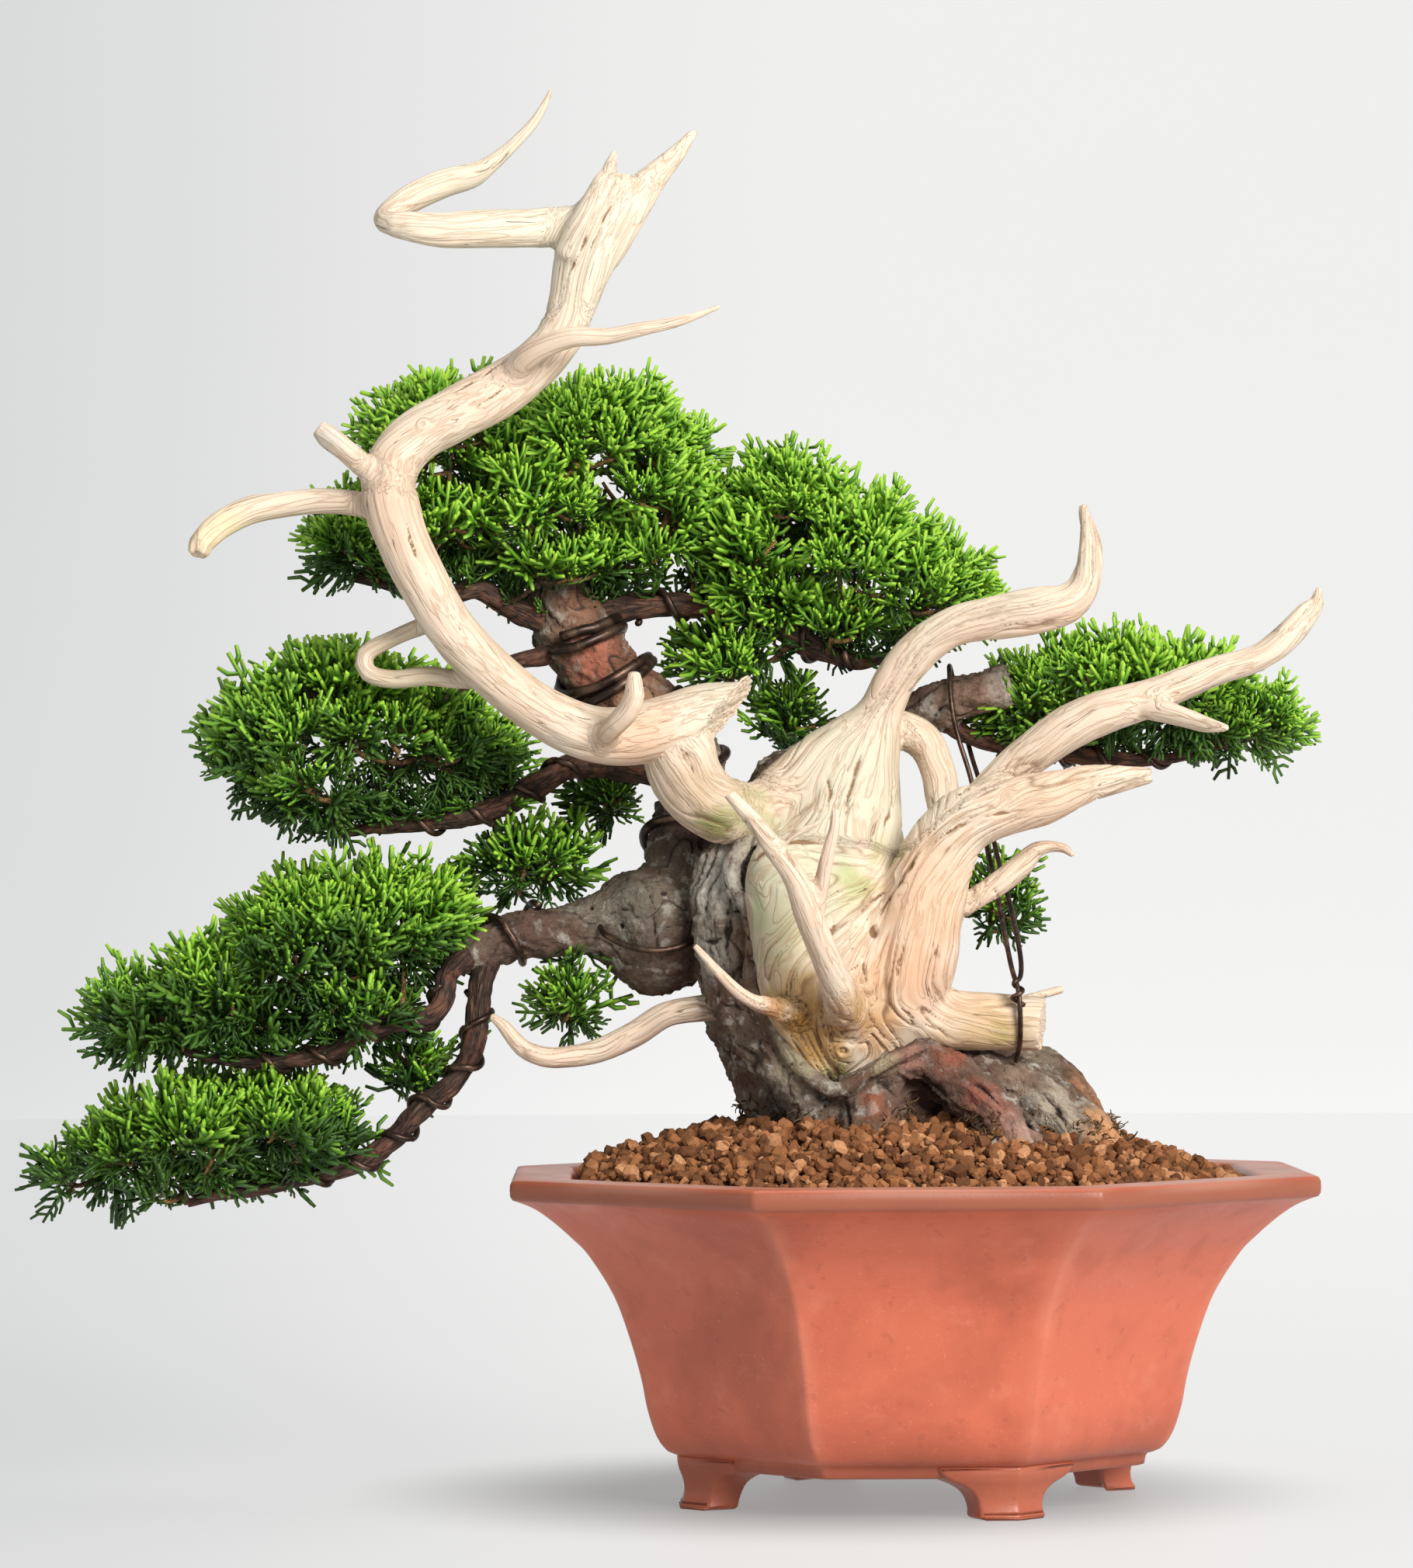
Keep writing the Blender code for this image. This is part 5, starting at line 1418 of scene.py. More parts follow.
@dataclass
class LiveTrunk:
    """The bark covered trunk: the live vein, the burl, the upper stem and the roots."""

    voxel: float = 0.7
    band: Limb = Limb((
        (-29, 2, 104, 17), (-35, 2, 124, 16), (-44, 2, 137, 13.5), (-52, 2, 152, 11.5), (-56, 4, 167, 10.5),
        (-57, 4, 181, 10.5), (-55, 6, 195, 11), (-49, 10, 207, 12), (-41, 16, 221, 11), (-26, 20, 232, 10),
        (-11, 24, 241, 9), (3, 22, 247, 8), (14, 18, 252, 7.6), (26, 14, 255, 6.8), (38, 11, 257, 6.4),
    ))
    cuts: tuple[Cut, ...] = (Cut((33, 12, 256), (0.9, -0.3, 0.3), 12, 0.5),)
    burl: Limb = Limb((
        (-58, 14, 179, 13.5), (-70, 14, 180, 18.5), (-80, 12, 180, 20.5), (-89, 10, 181, 17.5),
        (-97, 8, 181, 11), (-106, 6, 180, 8.4), (-117, 4, 179, 7.9), (-127, 2, 177, 7.4), (-135, 0, 173, 6),
        (-143, -2, 169, 4.4),
    ))
    upper_stem: Limb = Limb((
        (-65, 14, 189, 11), (-71, 16, 201, 11), (-70, 20, 213, 10.4), (-67, 22, 226, 10.6), (-73, 22, 240, 12),
        (-82, 20, 248, 13.2), (-91, 18, 255, 13.2), (-99, 16, 265, 12.5), (-106, 14, 276, 12.5),
        (-110, 14, 285, 10), (-111, 16, 294, 5.5),
    ), wind=0.01)
    root_left: Limb = Limb(((-33, 4, 120, 11), (-42, 6, 113, 7.5), (-50, 8, 107, 5), (-57, 8, 101, 3)))
    root_centre: Limb = Limb(((-10, -20, 134, 12), (-11, -31, 124, 10.5), (-13, -37, 115, 10), (-16, -39, 102, 8)))
    root_mid: Limb = Limb((
        (-22, -26, 124, 7), (-12, -30, 132, 7.5), (0, -30, 136.5, 8), (10, -31, 134, 8.6), (20, -35, 127, 8.6),
        (29, -40, 119, 8.2), (37, -43, 108, 7.2), (40, -44, 101, 6),
    ))
    root_saddle: Limb = Limb(((2, -18, 134, 11), (14, -20, 133, 9), (26, -20, 131, 8), (34, -18, 130, 7)))
    root_right: Limb = Limb((
        (22, -14, 134, 9), (33, -19, 131, 7.6), (41, -23, 125, 7.6), (49, -27, 117, 7.2), (55, -29, 108, 6.6),
        (58, -30, 101, 5.6),
    ))
    root_ochre: Limb = Limb((
        (30, -8, 133, 8), (44, -10, 128, 6.6), (54, -14, 120, 6.2), (62, -18, 111, 5.4), (68, -20, 102, 4.2),
    ))
    plate: Limb = Limb((
        (-48, -8, 209, 8), (-56, -11, 199, 9.5), (-58, -12, 186, 9.5), (-57, -13, 172, 9.2), (-54, -14, 159, 9.2),
        (-47, -18, 147, 9), (-40, -23, 137, 8), (-32, -27, 127, 8), (-28, -28, 116, 8),
    ))
    lip: Limb = Limb((
        (-43, -14, 209, 2.0), (-48, -20, 208, 2.8), (-54, -23, 203, 3.2), (-55.5, -23, 195, 3.0),
        (-51.5, -26, 187, 2.8),
        (-48.5, -28, 180, 2.8), (-48.5, -28, 171, 2.8), (-49.0, -26, 162, 3.0), (-45, -28, 152, 2.8),
        (-40, -31, 144, 2.6),
        (-33, -35, 135.5, 2.6), (-24, -38, 129.5, 2.4), (-16, -39, 133, 2.2), (-6, -40, 139, 2.0), (4, -38, 143.5, 1.8),
    ))
    root_rear: Limb = Limb(((16, 10, 136, 10), (39, 14, 137, 6.2), (50, 16, 132, 5), (58, 18, 122, 4.5),
                            (65, 18, 108, 3.8)))
    root_back: Limb = Limb(((-15, 18, 132, 18), (-15, 30, 117, 15), (-12, 34, 100, 10)))
    root_crown: Limb = Limb(((-12, -4, 134, 20), (-10, -4, 118, 26), (-8, -4, 102, 20)))
    root_small: Limb = Limb(((27, -44, 113, 3.0), (22, -50, 113, 2.8), (18.5, -54, 110, 2.6), (17, -56, 103, 2.2)))
    stains: tuple[Stain, ...] = (
        Stain((-90, 8, 258), 26, (0.20, 0.075, 0.040), 0.85),
        Stain((-84, 4, 248), 12, (0.36, 0.21, 0.12), 0.85),
        Stain((-98, 2, 267), 9, (0.44, 0.15, 0.09), 0.9),
        Stain((-104, 2, 282), 9, (0.28, 0.13, 0.07), 0.85),
        Stain((-112, 2, 292), 7, (0.60, 0.38, 0.16), 0.9),
        Stain((-70, 10, 215), 18, (0.065, 0.035, 0.028), 0.85),
        Stain((-120, 0, 178), 20, (0.10, 0.055, 0.04), 0.8),
        Stain((-88, 0, 186), 18, (0.155, 0.14, 0.105), 0.8),
        Stain((-70, -4, 172), 14, (0.10, 0.055, 0.04), 0.85),
        Stain((8, -30, 130), 26, (0.10, 0.045, 0.03), 0.85),
        Stain((12, -34, 138), 7, (0.30, 0.085, 0.05), 0.85),
        Stain((-1, -40, 139), 6, (0.44, 0.23, 0.17), 0.85),
        Stain((-12, -46, 127), 8, (0.34, 0.11, 0.05), 0.9),
        Stain((-5, -46, 117), 6, (0.32, 0.13, 0.05), 0.85),
        # painted shade: near black in the wide crack at the foot of the centre root
        Stain((-16, -44, 114), 7, (0.05, 0.03, 0.018), 0.9),
        Stain((21, -44, 128), 7, (0.28, 0.085, 0.055), 0.85),
        Stain((27, -46, 121), 6, (0.34, 0.13, 0.09), 0.8),
        Stain((33, -48, 115), 8, (0.44, 0.25, 0.19), 0.85),
        Stain((34, -30, 133), 7, (0.30, 0.20, 0.14), 0.8),
        Stain((46, -28, 124), 12, (0.44, 0.37, 0.29), 0.85),
        Stain((60, -22, 113), 13, (0.70, 0.34, 0.15), 0.95),
        Stain((56, 14, 122), 12, (0.40, 0.16, 0.07), 0.85),
        Stain((19, -54, 109), 7, (0.62, 0.32, 0.24), 0.9),
        # painted shade: near black in the widest crack across the roots
        Stain((7, -38, 124), 8, (0.045, 0.020, 0.012), 0.95),
        # painted shade: near black in the wide crack on the right root
        Stain((36, -36, 122), 5, (0.05, 0.035, 0.015), 0.85),
        Stain((20, 8, 255), 16, (0.36, 0.22, 0.16), 0.8),
        Stain((33, 10, 257), 7, (0.66, 0.58, 0.50), 0.9),
        Stain((-38, -24, 128), 16, (0.10, 0.085, 0.07), 0.8),
        Stain((-51, -26, 176), 9, (0.26, 0.15, 0.095), 0.85),
        Stain((-60, -22, 194), 14, (0.52, 0.49, 0.43), 0.85),
        Stain((-62, -18, 172), 10, (0.38, 0.35, 0.29), 0.8),
        Stain((-47, -26, 205), 8, (0.50, 0.46, 0.36), 0.7),
        Stain((-36, -36, 138), 8, (0.50, 0.44, 0.28), 0.7),
        Stain((-8, -42, 138), 6, (0.56, 0.47, 0.30), 0.6),
    )
    cracks: tuple[Crack, ...] = (
        Crack(((-2, -40, 132), (5, -42, 127), (10, -42, 120)), 4.0, 4.5),
        Crack(((-4, -40, 136), (3, -42, 133.5), (9, -42, 129), (16, -42, 122)), 0.7, 1.6),
        Crack(((-14, -44, 134), (-8, -44, 131), (-3, -44, 126)), 0.6, 1.4),
        Crack(((-22, -42, 128), (-20, -44, 121), (-21, -44, 115)), 1.2, 2.0),
        Crack(((16, -42, 134), (23, -44, 129), (29, -46, 123)), 0.5, 1.2),
        Crack(((40, -30, 130), (46, -32, 122), (50, -34, 113)), 0.7, 1.5),
        Crack(((-66, -20, 177), (-61, -22, 176), (-56, -26, 178)), 0.7, 1.6),
        Crack(((-56, -26, 192), (-55, -27, 184), (-57, -26, 176), (-55, -26, 166)), 0.8, 1.6),
        Crack(((-54, -27, 184), (-50, -30, 183), (-47, -30, 184)), 0.5, 1.1),
        Crack(((-55, -27, 178), (-50, -30, 177), (-47, -30, 178)), 0.5, 1.1),
        Crack(((-55, -27, 172), (-51, -30, 171), (-47, -29, 172)), 0.5, 1.1),
        Crack(((30, -38, 131), (35, -42, 123), (40, -44, 113)), 2.2, 3.0),
        Crack(((-84, -8, 196), (-80, -10, 188), (-79, -9, 176), (-76, -8, 164)), 0.4, 1.0),
        Crack(((-96, -8, 183), (-90, -10, 186), (-83, -9, 185)), 0.3, 0.8),
    )

    def build(self, finish: bpy.types.Material, soil: "Soil", rootlet: bpy.types.Material) -> None:
        """Grow the trunk, break up its bark, and stand it in the model with its rootlets.

        Args:
            finish: the bark's material.
            soil: the soil that the trunk stands in.
            rootlet: the rootlets' material.
        """
        noise = Noise(37)
        limbs = (
            self.band, self.burl, self.upper_stem, self.root_crown, self.root_left, self.root_centre, self.root_mid,
            self.root_saddle, self.root_right, self.root_ochre, self.root_rear, self.root_back, self.root_small,
            self.plate, self.lip,
        )
        skin = Skin(limbs, self.voxel)
        skin.settle((16, 3.0, 8.0), 3, self.cuts, noise)
        room = np.minimum(1.0, skin.radius / 8.0)
        grain = skin.grain + 2.5 * np.stack([
            noise.at(skin.points, 12.0), noise.at(skin.points + 50.0, 12.0), noise.at(skin.points + 80.0, 9.0),
        ], axis=1)
        x, _, z = skin.points.T
        root = smoothstep(-z, -141, -132) * smoothstep(x, -26, -14)
        burl = smoothstep(-np.linalg.norm((skin.points - (-83, 10, 180)) / (1.15, 1, 1), axis=1), -26, -18)
        calm = np.maximum(root, 0.8 * burl)
        lump = noise.layers(skin.points, 13.0, 2)
        knobs = billow(noise, grain, (6.5, 6.5, 9.0), 3)
        scales = billow(noise, skin.points + 60.0, 2.6, 2)
        seam = noise.at(grain + 20.0, (8.0, 8.0, 15.0))
        fissure = ridges(seam, 0.13) * smoothstep(noise.at(skin.points + 44.0, 16.0), -0.5, 0.2)
        wrinkle = (noise.at(grain + 110.0, (2.6, 2.6, 16.0)) + billow(noise, skin.points + 150.0, 4.0, 2) - 0.5) * root
        pits = smoothstep(noise.at(skin.points + 210.0, 4.2), 0.62, 0.8) * burl
        skin.push(room * (1.2 * lump + (1 - 0.75 * calm) * (1.7 * knobs - 1.0 + 0.9 * scales) + 0.4 * scales * burl
                          - 1.2 * (1 - 0.5 * calm) * fissure + 0.9 * wrinkle - 1.2 * pits))
        # painted shade: furrows between the knobs, with the fissures and pits, go dark through the recess shade
        crease_shade = (1 - calm) * smoothstep(-knobs, -0.26, -0.08)
        skin.hollow = np.clip((0.8 - 0.3 * root) * fissure + 0.5 * crease_shade + 0.8 * pits, 0, 1)
        skin.crack(self.cracks, noise)
        skin.paint(self.stains, noise)
        Rootlets().build(skin, soil, rootlet)
        skin.publish("live_trunk", finish, Slot.BARK, ("trunk_live",))


@dataclass
class Rootlets:
    """Dry rootlets and old moss that hang about the foot of the trunk."""

    count: int = 900
    tallest: float = 9.0
    radius: float = 0.36

    def build(self, skin: Skin, soil: "Soil", finish: bpy.types.Material) -> None:
        """Grow them from the skin of the trunk, just over the soil.

        Args:
            skin: the trunk's skin.
            soil: the soil, for its height.
            finish: their material.
        """
        chance, noise = random.Random(71), Noise(73)
        ways = skin.normals()
        over = skin.points[:, 2] - soil.height(skin.points[:, 0], skin.points[:, 1])
        tall = self.tallest * smoothstep(noise.at(skin.points, 14.0), -0.5, 0.5)
        spots = np.nonzero((over > -1.0) & (over < tall))[0]
        bm = bmesh.new()
        for _ in range(self.count):
            spot = spots[chance.randrange(len(spots))]
            place, way = skin.points[spot] - 0.5 * ways[spot], ways[spot] + (0.0, 0.0, chance.uniform(-0.6, 0.4))
            length, width = chance.uniform(0.6, 1.5), chance.uniform(0.5, 1.2) * self.radius
            stations = [(*place, width)]
            for share in (0.9, 0.8, 0.65, 0.4):
                way = way + [chance.gauss(0, 0.55) for _ in range(3)]
                way /= np.linalg.norm(way)
                place = place + length * way
                stations.append((*place, width * share))
            add_to(bm, Line(stations, 1.2).sweep(4))
        publish("rootlets", mesh_of("rootlets", bm), finish)


@dataclass
class Branches:
    """The live branches that carry the foliage."""

    mid_left: Limb = Limb((
        (-74, 22, 229, 5.6), (-85, 18, 231, 5), (-103, 8, 232, 4), (-112, 4, 228, 4), (-122, 0, 222, 4.1),
        (-130, -2, 218, 3.7), (-142, -4, 215, 3.4), (-160, -4, 213, 2.7), (-169, -4, 212, 2.1), (-178, -4, 210, 1.3),
    ))
    lowest: Limb = Limb((
        (-132, 1, 174, 5), (-135, -1, 160, 3.8), (-137, -4, 143, 3.7), (-144, -5, 131, 3.4), (-153, -6, 124, 3.5),
        (-160, -6, 116, 3.4), (-172, -6, 107, 3.1), (-184, -6, 103, 2.5), (-202, -6, 99, 2.2), (-220, -6, 96, 1.8),
        (-227, -6, 94, 1.2),
    ))
    low_left: Limb = Limb((
        (-139, -2, 172, 4), (-145, -9, 165, 3.5), (-146, -14, 158, 3.2), (-150, -16, 153, 3.2), (-160, -16, 151, 3.4),
        (-171, -16, 148, 3.2), (-180, -16, 142, 3), (-196, -16, 139, 2.6), (-213, -16, 139, 1.8), (-227, -16, 142, 1.2),
    ))
    apex_right: Limb = Limb((
        (-104, 14, 278, 5.6), (-88, 16, 282, 4.4), (-77, 18, 283, 3.9), (-67, 18, 283, 3.9), (-56, 18, 282, 4.4),
        (-45, 18, 279, 4.4), (-35, 18, 273, 4.2), (-25, 18, 268, 3.6), (-15, 18, 265, 3), (-4, 18, 266, 2),
    ))
    apex_left: Limb = Limb((
        (-106, 13, 274, 5), (-117, 8, 278, 4.2), (-127, 0, 283, 3.4), (-134, -5, 287, 3.2), (-141, -8, 286, 2.9),
        (-147, -5, 285, 2.6), (-156, 0, 287, 2.4), (-166, 4, 290, 2.1), (-175, 6, 292, 1.6),
    ))
    left_stem: Limb = Limb(((-104, 14, 270, 4.6), (-114, 8, 267, 3.2), (-125, 4, 264, 2.5), (-134, -2, 260, 2),
                            (-148, -6, 252, 1.6)))
    right: Limb = Limb((
        (8, 21, 248, 5), (15, 22, 245, 3.6), (20, 22, 241, 2.7), (27, 22, 239, 2.7), (37, 22, 237, 3),
        (47, 22, 236, 3.2), (59, 22, 234, 3.1), (69, 22, 233, 2.7), (79, 22, 233, 2), (91, 22, 234, 1.5),
        (100, 22, 237, 1.1),
    ))

    def named(self) -> dict[str, Limb]:
        """Each branch under its node's name."""
        return {
            "branch_mid_left": self.mid_left, "branch_lowest": self.lowest, "branch_low_left": self.low_left,
            "branch_apex_right": self.apex_right, "branch_apex_left": self.apex_left,
            "branch_left_stem": self.left_stem, "branch_right": self.right,
        }

    def build(self, finish: bpy.types.Material) -> None:
        """Make every branch."""
        noise = Noise(41)
        for name, limb in self.named().items():
            line = Line(limb.stations, 0.9)
            mesh = mesh_of(name, line.sweep(26))
            points = points_of(mesh)
            _, own, radius = line.near(points)
            flake = noise.layers(own, (2.6, 2.6, 7.0), 2)
            fissure = ridges(noise.at(own + 40.0, (2.6, 2.6, 9.0)), 0.3)
            lump = noise.at(points, 9.0)
            rise = np.minimum(1.0, radius / 4.0) * (0.5 * flake - 0.5 * fissure + 0.6 * lump)
            outward = points - line.places[((points[:, None, :] - line.places[None]) ** 2).sum(2).argmin(1)]
            outward /= np.linalg.norm(outward, axis=1).clip(1e-6)[:, None]
            move_points(mesh, points + outward * rise[:, None])
            set_attribute(mesh, "grain", own)
            # painted shade in the fissures of the bark
            set_attribute(mesh, "hollow", np.clip(fissure - 0.1, 0, 1))
            publish(f"{name}_wood", mesh, finish, (name,))


# ---- wire ---------------------------------------------------------------------------------------


@dataclass(frozen=True)
class Winding:
    """Wire wound round a limb.

    Attributes:
        limb: the limb.
        start, end: the shares of the limb that it covers.
        pitch: how far it advances in a turn.
        radius: half the wire's thickness.
        turn: where the first turn starts, radians.
        off: how far it stands off the bark.
        front: x and z of a place where it crosses the front of the limb, which then sets the turn.
    """

    limb: Limb
    start: float
    end: float
    pitch: float
    radius: float
    turn: float
    off: float = 0.4
    front: tuple[float, ...] = ()

    def stations(self) -> list[Station]:
        """The wire's own line."""
        line = Line(self.limb.stations, 0.6)
        first, last = self.start * line.length, self.end * line.length
        count = max(8, round((last - first) / abs(self.pitch) * 26))
        turn = self.turn
        if self.front:  # turn it so that it is in front there
            near = int(np.argmin([math.dist((p[0], p[2]), self.front) for p in line.places]))
            facing = math.atan2(-line.crosses[near][1], -line.normals[near][1])
            turn = facing - math.tau * (line.runs[near] - first) / self.pitch
        made = []
        for k in range(count + 1):
            run = first + (last - first) * k / count
            i = min(int(np.searchsorted(line.runs, run)), len(line.runs) - 1)
            angle = turn + math.tau * (run - first) / self.pitch
            out = line.normals[i] * math.cos(angle) + line.crosses[i] * math.sin(angle)
            place = line.places[i] + out * (line.radii[i] + self.radius + self.off)
            made.append((*place, self.radius))
        return made


@dataclass
class Wires:
    """The training wire on the branches, and the guy wire."""

    trunk: LiveTrunk
    branches: Branches
    guy_radius: float = 0.8
    sag: tuple[Station, ...] = (
        (-97, -1, 181, 1.0), (-95, -7, 178, 1.0), (-88, -9.5, 174.5, 1.0), (-80, -10.5, 173, 1.0),
        (-72, -9, 174, 1.0), (-66, -5, 177, 1.0), (-62, 0, 181, 1.0),
    )
    guy: tuple[tuple[float, float, float], ...] = (
        (33, -25, 138), (34, -31, 144), (34, -34.5, 152), (33.5, -34, 160), (31.5, -29, 168), (29, -18, 184),
        (26.5, -9, 199), (21, 4, 226), (17, 7, 240), (15, 7.5, 250), (14.5, 11, 260), (15, 20, 263),
        (17, 29.5, 256), (19.5, 29.5, 245), (22, 23, 234), (25, 12, 222), (29, -2, 201), (32.5, -14, 185),
        (34.6, -25, 171), (34.2, -32, 164.5), (32.2, -34.5, 162.8), (32.6, -32.4, 161.6), (34.8, -33.4, 160.4),
        (33.6, -35.8, 159.2), (31.6, -34.2, 158.0), (33.4, -32.2, 156.8), (35.0, -34.6, 155.8),
    )

    def lay(self, name: str, lines: Sequence[Sequence[Station]], finish: bpy.types.Material, node: str) -> None:
        """Draw one piece of wire."""
        bm = bmesh.new()
        for stations in lines:
            add_to(bm, Line(stations, 1.0).sweep(10))
        publish(name, mesh_of(name, bm), finish, (node,))

    def build(self, finish: bpy.types.Material) -> None:
        """Make every wire."""
        stem, wood = self.trunk.upper_stem, self.branches
        windings = {
            "wire_upper_stem": (
                Winding(stem, 0.08, 0.40, 17, 1.5, 0.9, 0.2),
                Winding(stem, 0.50, 0.82, -18, 1.7, 0.0, 0.1, (-104, 271)),
                Winding(stem, 0.52, 0.84, -18, 1.7, 0.0, 0.1, (-106.2, 273.8)),
            ),
            "wire_mid_left": (Winding(wood.mid_left, 0.2, 0.86, 17, 1.0, 1.0, -0.2),),
            "wire_lowest": (Winding(wood.lowest, 0.1, 0.75, 15, 1.0, 2.0, -0.2),
                            Winding(self.trunk.burl, 0.66, 0.9, 13, 1.2, 1.0, 0.2)),
            "wire_low_left": (Winding(wood.low_left, 0.16, 0.85, 16, 0.95, 0.4, -0.2),),
            "wire_apex_right": (Winding(wood.apex_right, 0.18, 0.88, 15, 1.1, 1.6, -0.1),),
            "wire_right": (Winding(wood.right, 0.3, 0.85, 15, 0.9, 0.2, -0.1),),
        }
        for node, wound in windings.items():
            lines = [w.stations() for w in wound]
            if node == "wire_lowest":
                lines.append(list(self.sag))
            self.lay(f"{node}_coil", lines, finish, node)
        self.lay("guy_wire_strand", [[(*p, self.guy_radius) for p in self.guy]], finish, "guy_wire")


# ---- foliage ------------------------------------------------------------------------------------


@dataclass(frozen=True)
class Pad:
    """A foliage pad.

    Attributes:
        node: its CAD node.
        lobes: the centre and half sizes of each part of it.
        carriers: the branches that its twigs spring from.
        spacing: how far apart its clumps are.
        sprigs: how many sprigs each clump has.
        bright: painted light and shade on its green, lighter above 0 and darker below.
        spurs: how many sprigs spring from each stretch of its branches.
    """

    node: str
    lobes: tuple[tuple[float, ...], ...]
    carriers: tuple[tuple[Station, ...], ...]
    spacing: float = 9.4
    sprigs: int = 6
    bright: float = 0.0
    spurs: int = 1


def shape_of(bm: bmesh.types.BMesh) -> tuple[Array, Array, Array]:
    """The points, the face corners and the face sizes of a small shape, which is freed."""
    mesh = mesh_of("shape", bm)
    points = points_of(mesh)
    corners = np.array([v for p in mesh.polygons for v in p.vertices], np.int64)
    sizes = np.array([len(p.vertices) for p in mesh.polygons], np.int64)
    bpy.data.meshes.remove(mesh)
    return points, corners, sizes


class SprigKinds:
    """A few sprigs of scale-leaved shoots, repeated all over the pads."""

    def __init__(self, chance: random.Random, kinds: int = 6) -> None:
        """Make the sprigs.

        Args:
            chance: source of variation.
            kinds: how many different sprigs.
        """
        self.kinds = [self.one(chance) for _ in range(kinds)]

    def one(self, chance: random.Random) -> tuple[Array, Array, Array, Array]:
        """Model one sprig, upright from the origin.

        Args:
            chance: source of variation.

        Returns:
            Points, how far along the sprig each is, the corners of the faces, and how many corners each face has.
        """
        bm = bmesh.new()
        height = chance.uniform(15, 20)
        bend = Vector((chance.uniform(-3, 3), chance.uniform(-3, 3), 0))
        top = Vector((0, 0, height))
        lines = [[(0, 0, 0, 0.55), (*(bend * 0.35 + top * 0.5), 0.85), (*(bend + top), 0.68)]]
        plane = chance.uniform(0, math.tau)
        count = 7
        for k in range(count):
            share = 0.18 + 0.62 * k / (count - 1)
            base = bend * (share * share) + top * share
            angle = plane + math.pi * (k % 2) + chance.uniform(-0.8, 0.8)
            out = Vector((math.cos(angle), math.sin(angle), 0))
            length = (11.5 - 6.5 * share) * chance.uniform(0.7, 1.2)
            lift = chance.uniform(0.55, 0.95)
            middle = base + out * length * 0.42 + Vector((0, 0, length * 0.32 * lift))
            tip = base + out * length * 0.62 + Vector((0, 0, length * 0.86 * lift))
            lines.append([(*base, 0.6), (*middle, 0.84), (*tip, 0.62)])
        fingers = []
        for stations in lines:
            finger = Line(stations, 100.0).sweep(3)
            heights = [v.co.z for v in finger.verts]
            low, high = min(heights), max(heights)
            fingers += [(z - low) / (high - low) for z in heights]
            add_to(bm, finger)
        points, corners, sizes = shape_of(bm)
        along = np.clip(0.35 * points[:, 2] / height + 0.65 * np.array(fingers), 0, 1)
        return points, along, corners, sizes


class Crowd:
    """Many copies of a few small shapes, gathered into one mesh."""

    def __init__(self) -> None:
        """Start empty."""
        self.points: list[Array] = []
        self.corners: list[Array] = []
        self.sizes: list[Array] = []
        self.marks: dict[str, list[Array]] = {}
        self.count = 0

    def add(self, kind: tuple[Array, Array, Array, Array], turn: Array, place: Array, **marks: float | Array) -> None:
        """Add one copy.

        Args:
            kind: points, a mark on each, the corners of the faces and their number.
            turn: a 3 by 3 matrix that turns and sizes it.
            place: where it stands.
            marks: numbers kept on its vertices.
        """
        points, _, corners, sizes = kind
        self.points.append(points @ turn.T + place)
        self.corners.append(corners + self.count)
        self.sizes.append(sizes)
        self.count += len(points)
        for key, value in marks.items():
            self.marks.setdefault(key, []).append(np.broadcast_to(value, len(points)))

    def mesh(self, name: str) -> bpy.types.Mesh:
        """Gather the copies into a mesh."""
        points, corners, sizes = (np.concatenate(x) for x in (self.points, self.corners, self.sizes))
        mesh = bpy.data.meshes.new(name)
        mesh.vertices.add(len(points))
        move_points(mesh, points)
        mesh.loops.add(len(corners))
        mesh.loops.foreach_set("vertex_index", corners.astype(np.int32))
        mesh.polygons.add(len(sizes))
        mesh.polygons.foreach_set("loop_start", (np.cumsum(sizes) - sizes).astype(np.int32))
        mesh.update(calc_edges=True)
        for key, values in self.marks.items():
            set_attribute(mesh, key, np.concatenate(values))
        return mesh


def strays(chance: random.Random, low: float, high: float) -> Array:
    """Three random numbers between two."""
    return np.array([chance.uniform(low, high) for _ in range(3)])


def facing(axis: Array, spin: float, size: float) -> Array:
    """A matrix that turns upright into an axis, spins about it, and sizes."""
    axis = axis / np.linalg.norm(axis)
    side = np.cross(axis, (0.0, 1.0, 0.0) if abs(axis[1]) < 0.9 else (1.0, 0.0, 0.0))
    side /= np.linalg.norm(side)
    other = np.cross(axis, side)
    c, s = math.cos(spin), math.sin(spin)
    return np.stack([side * c + other * s, other * c - side * s, axis], axis=1) * size


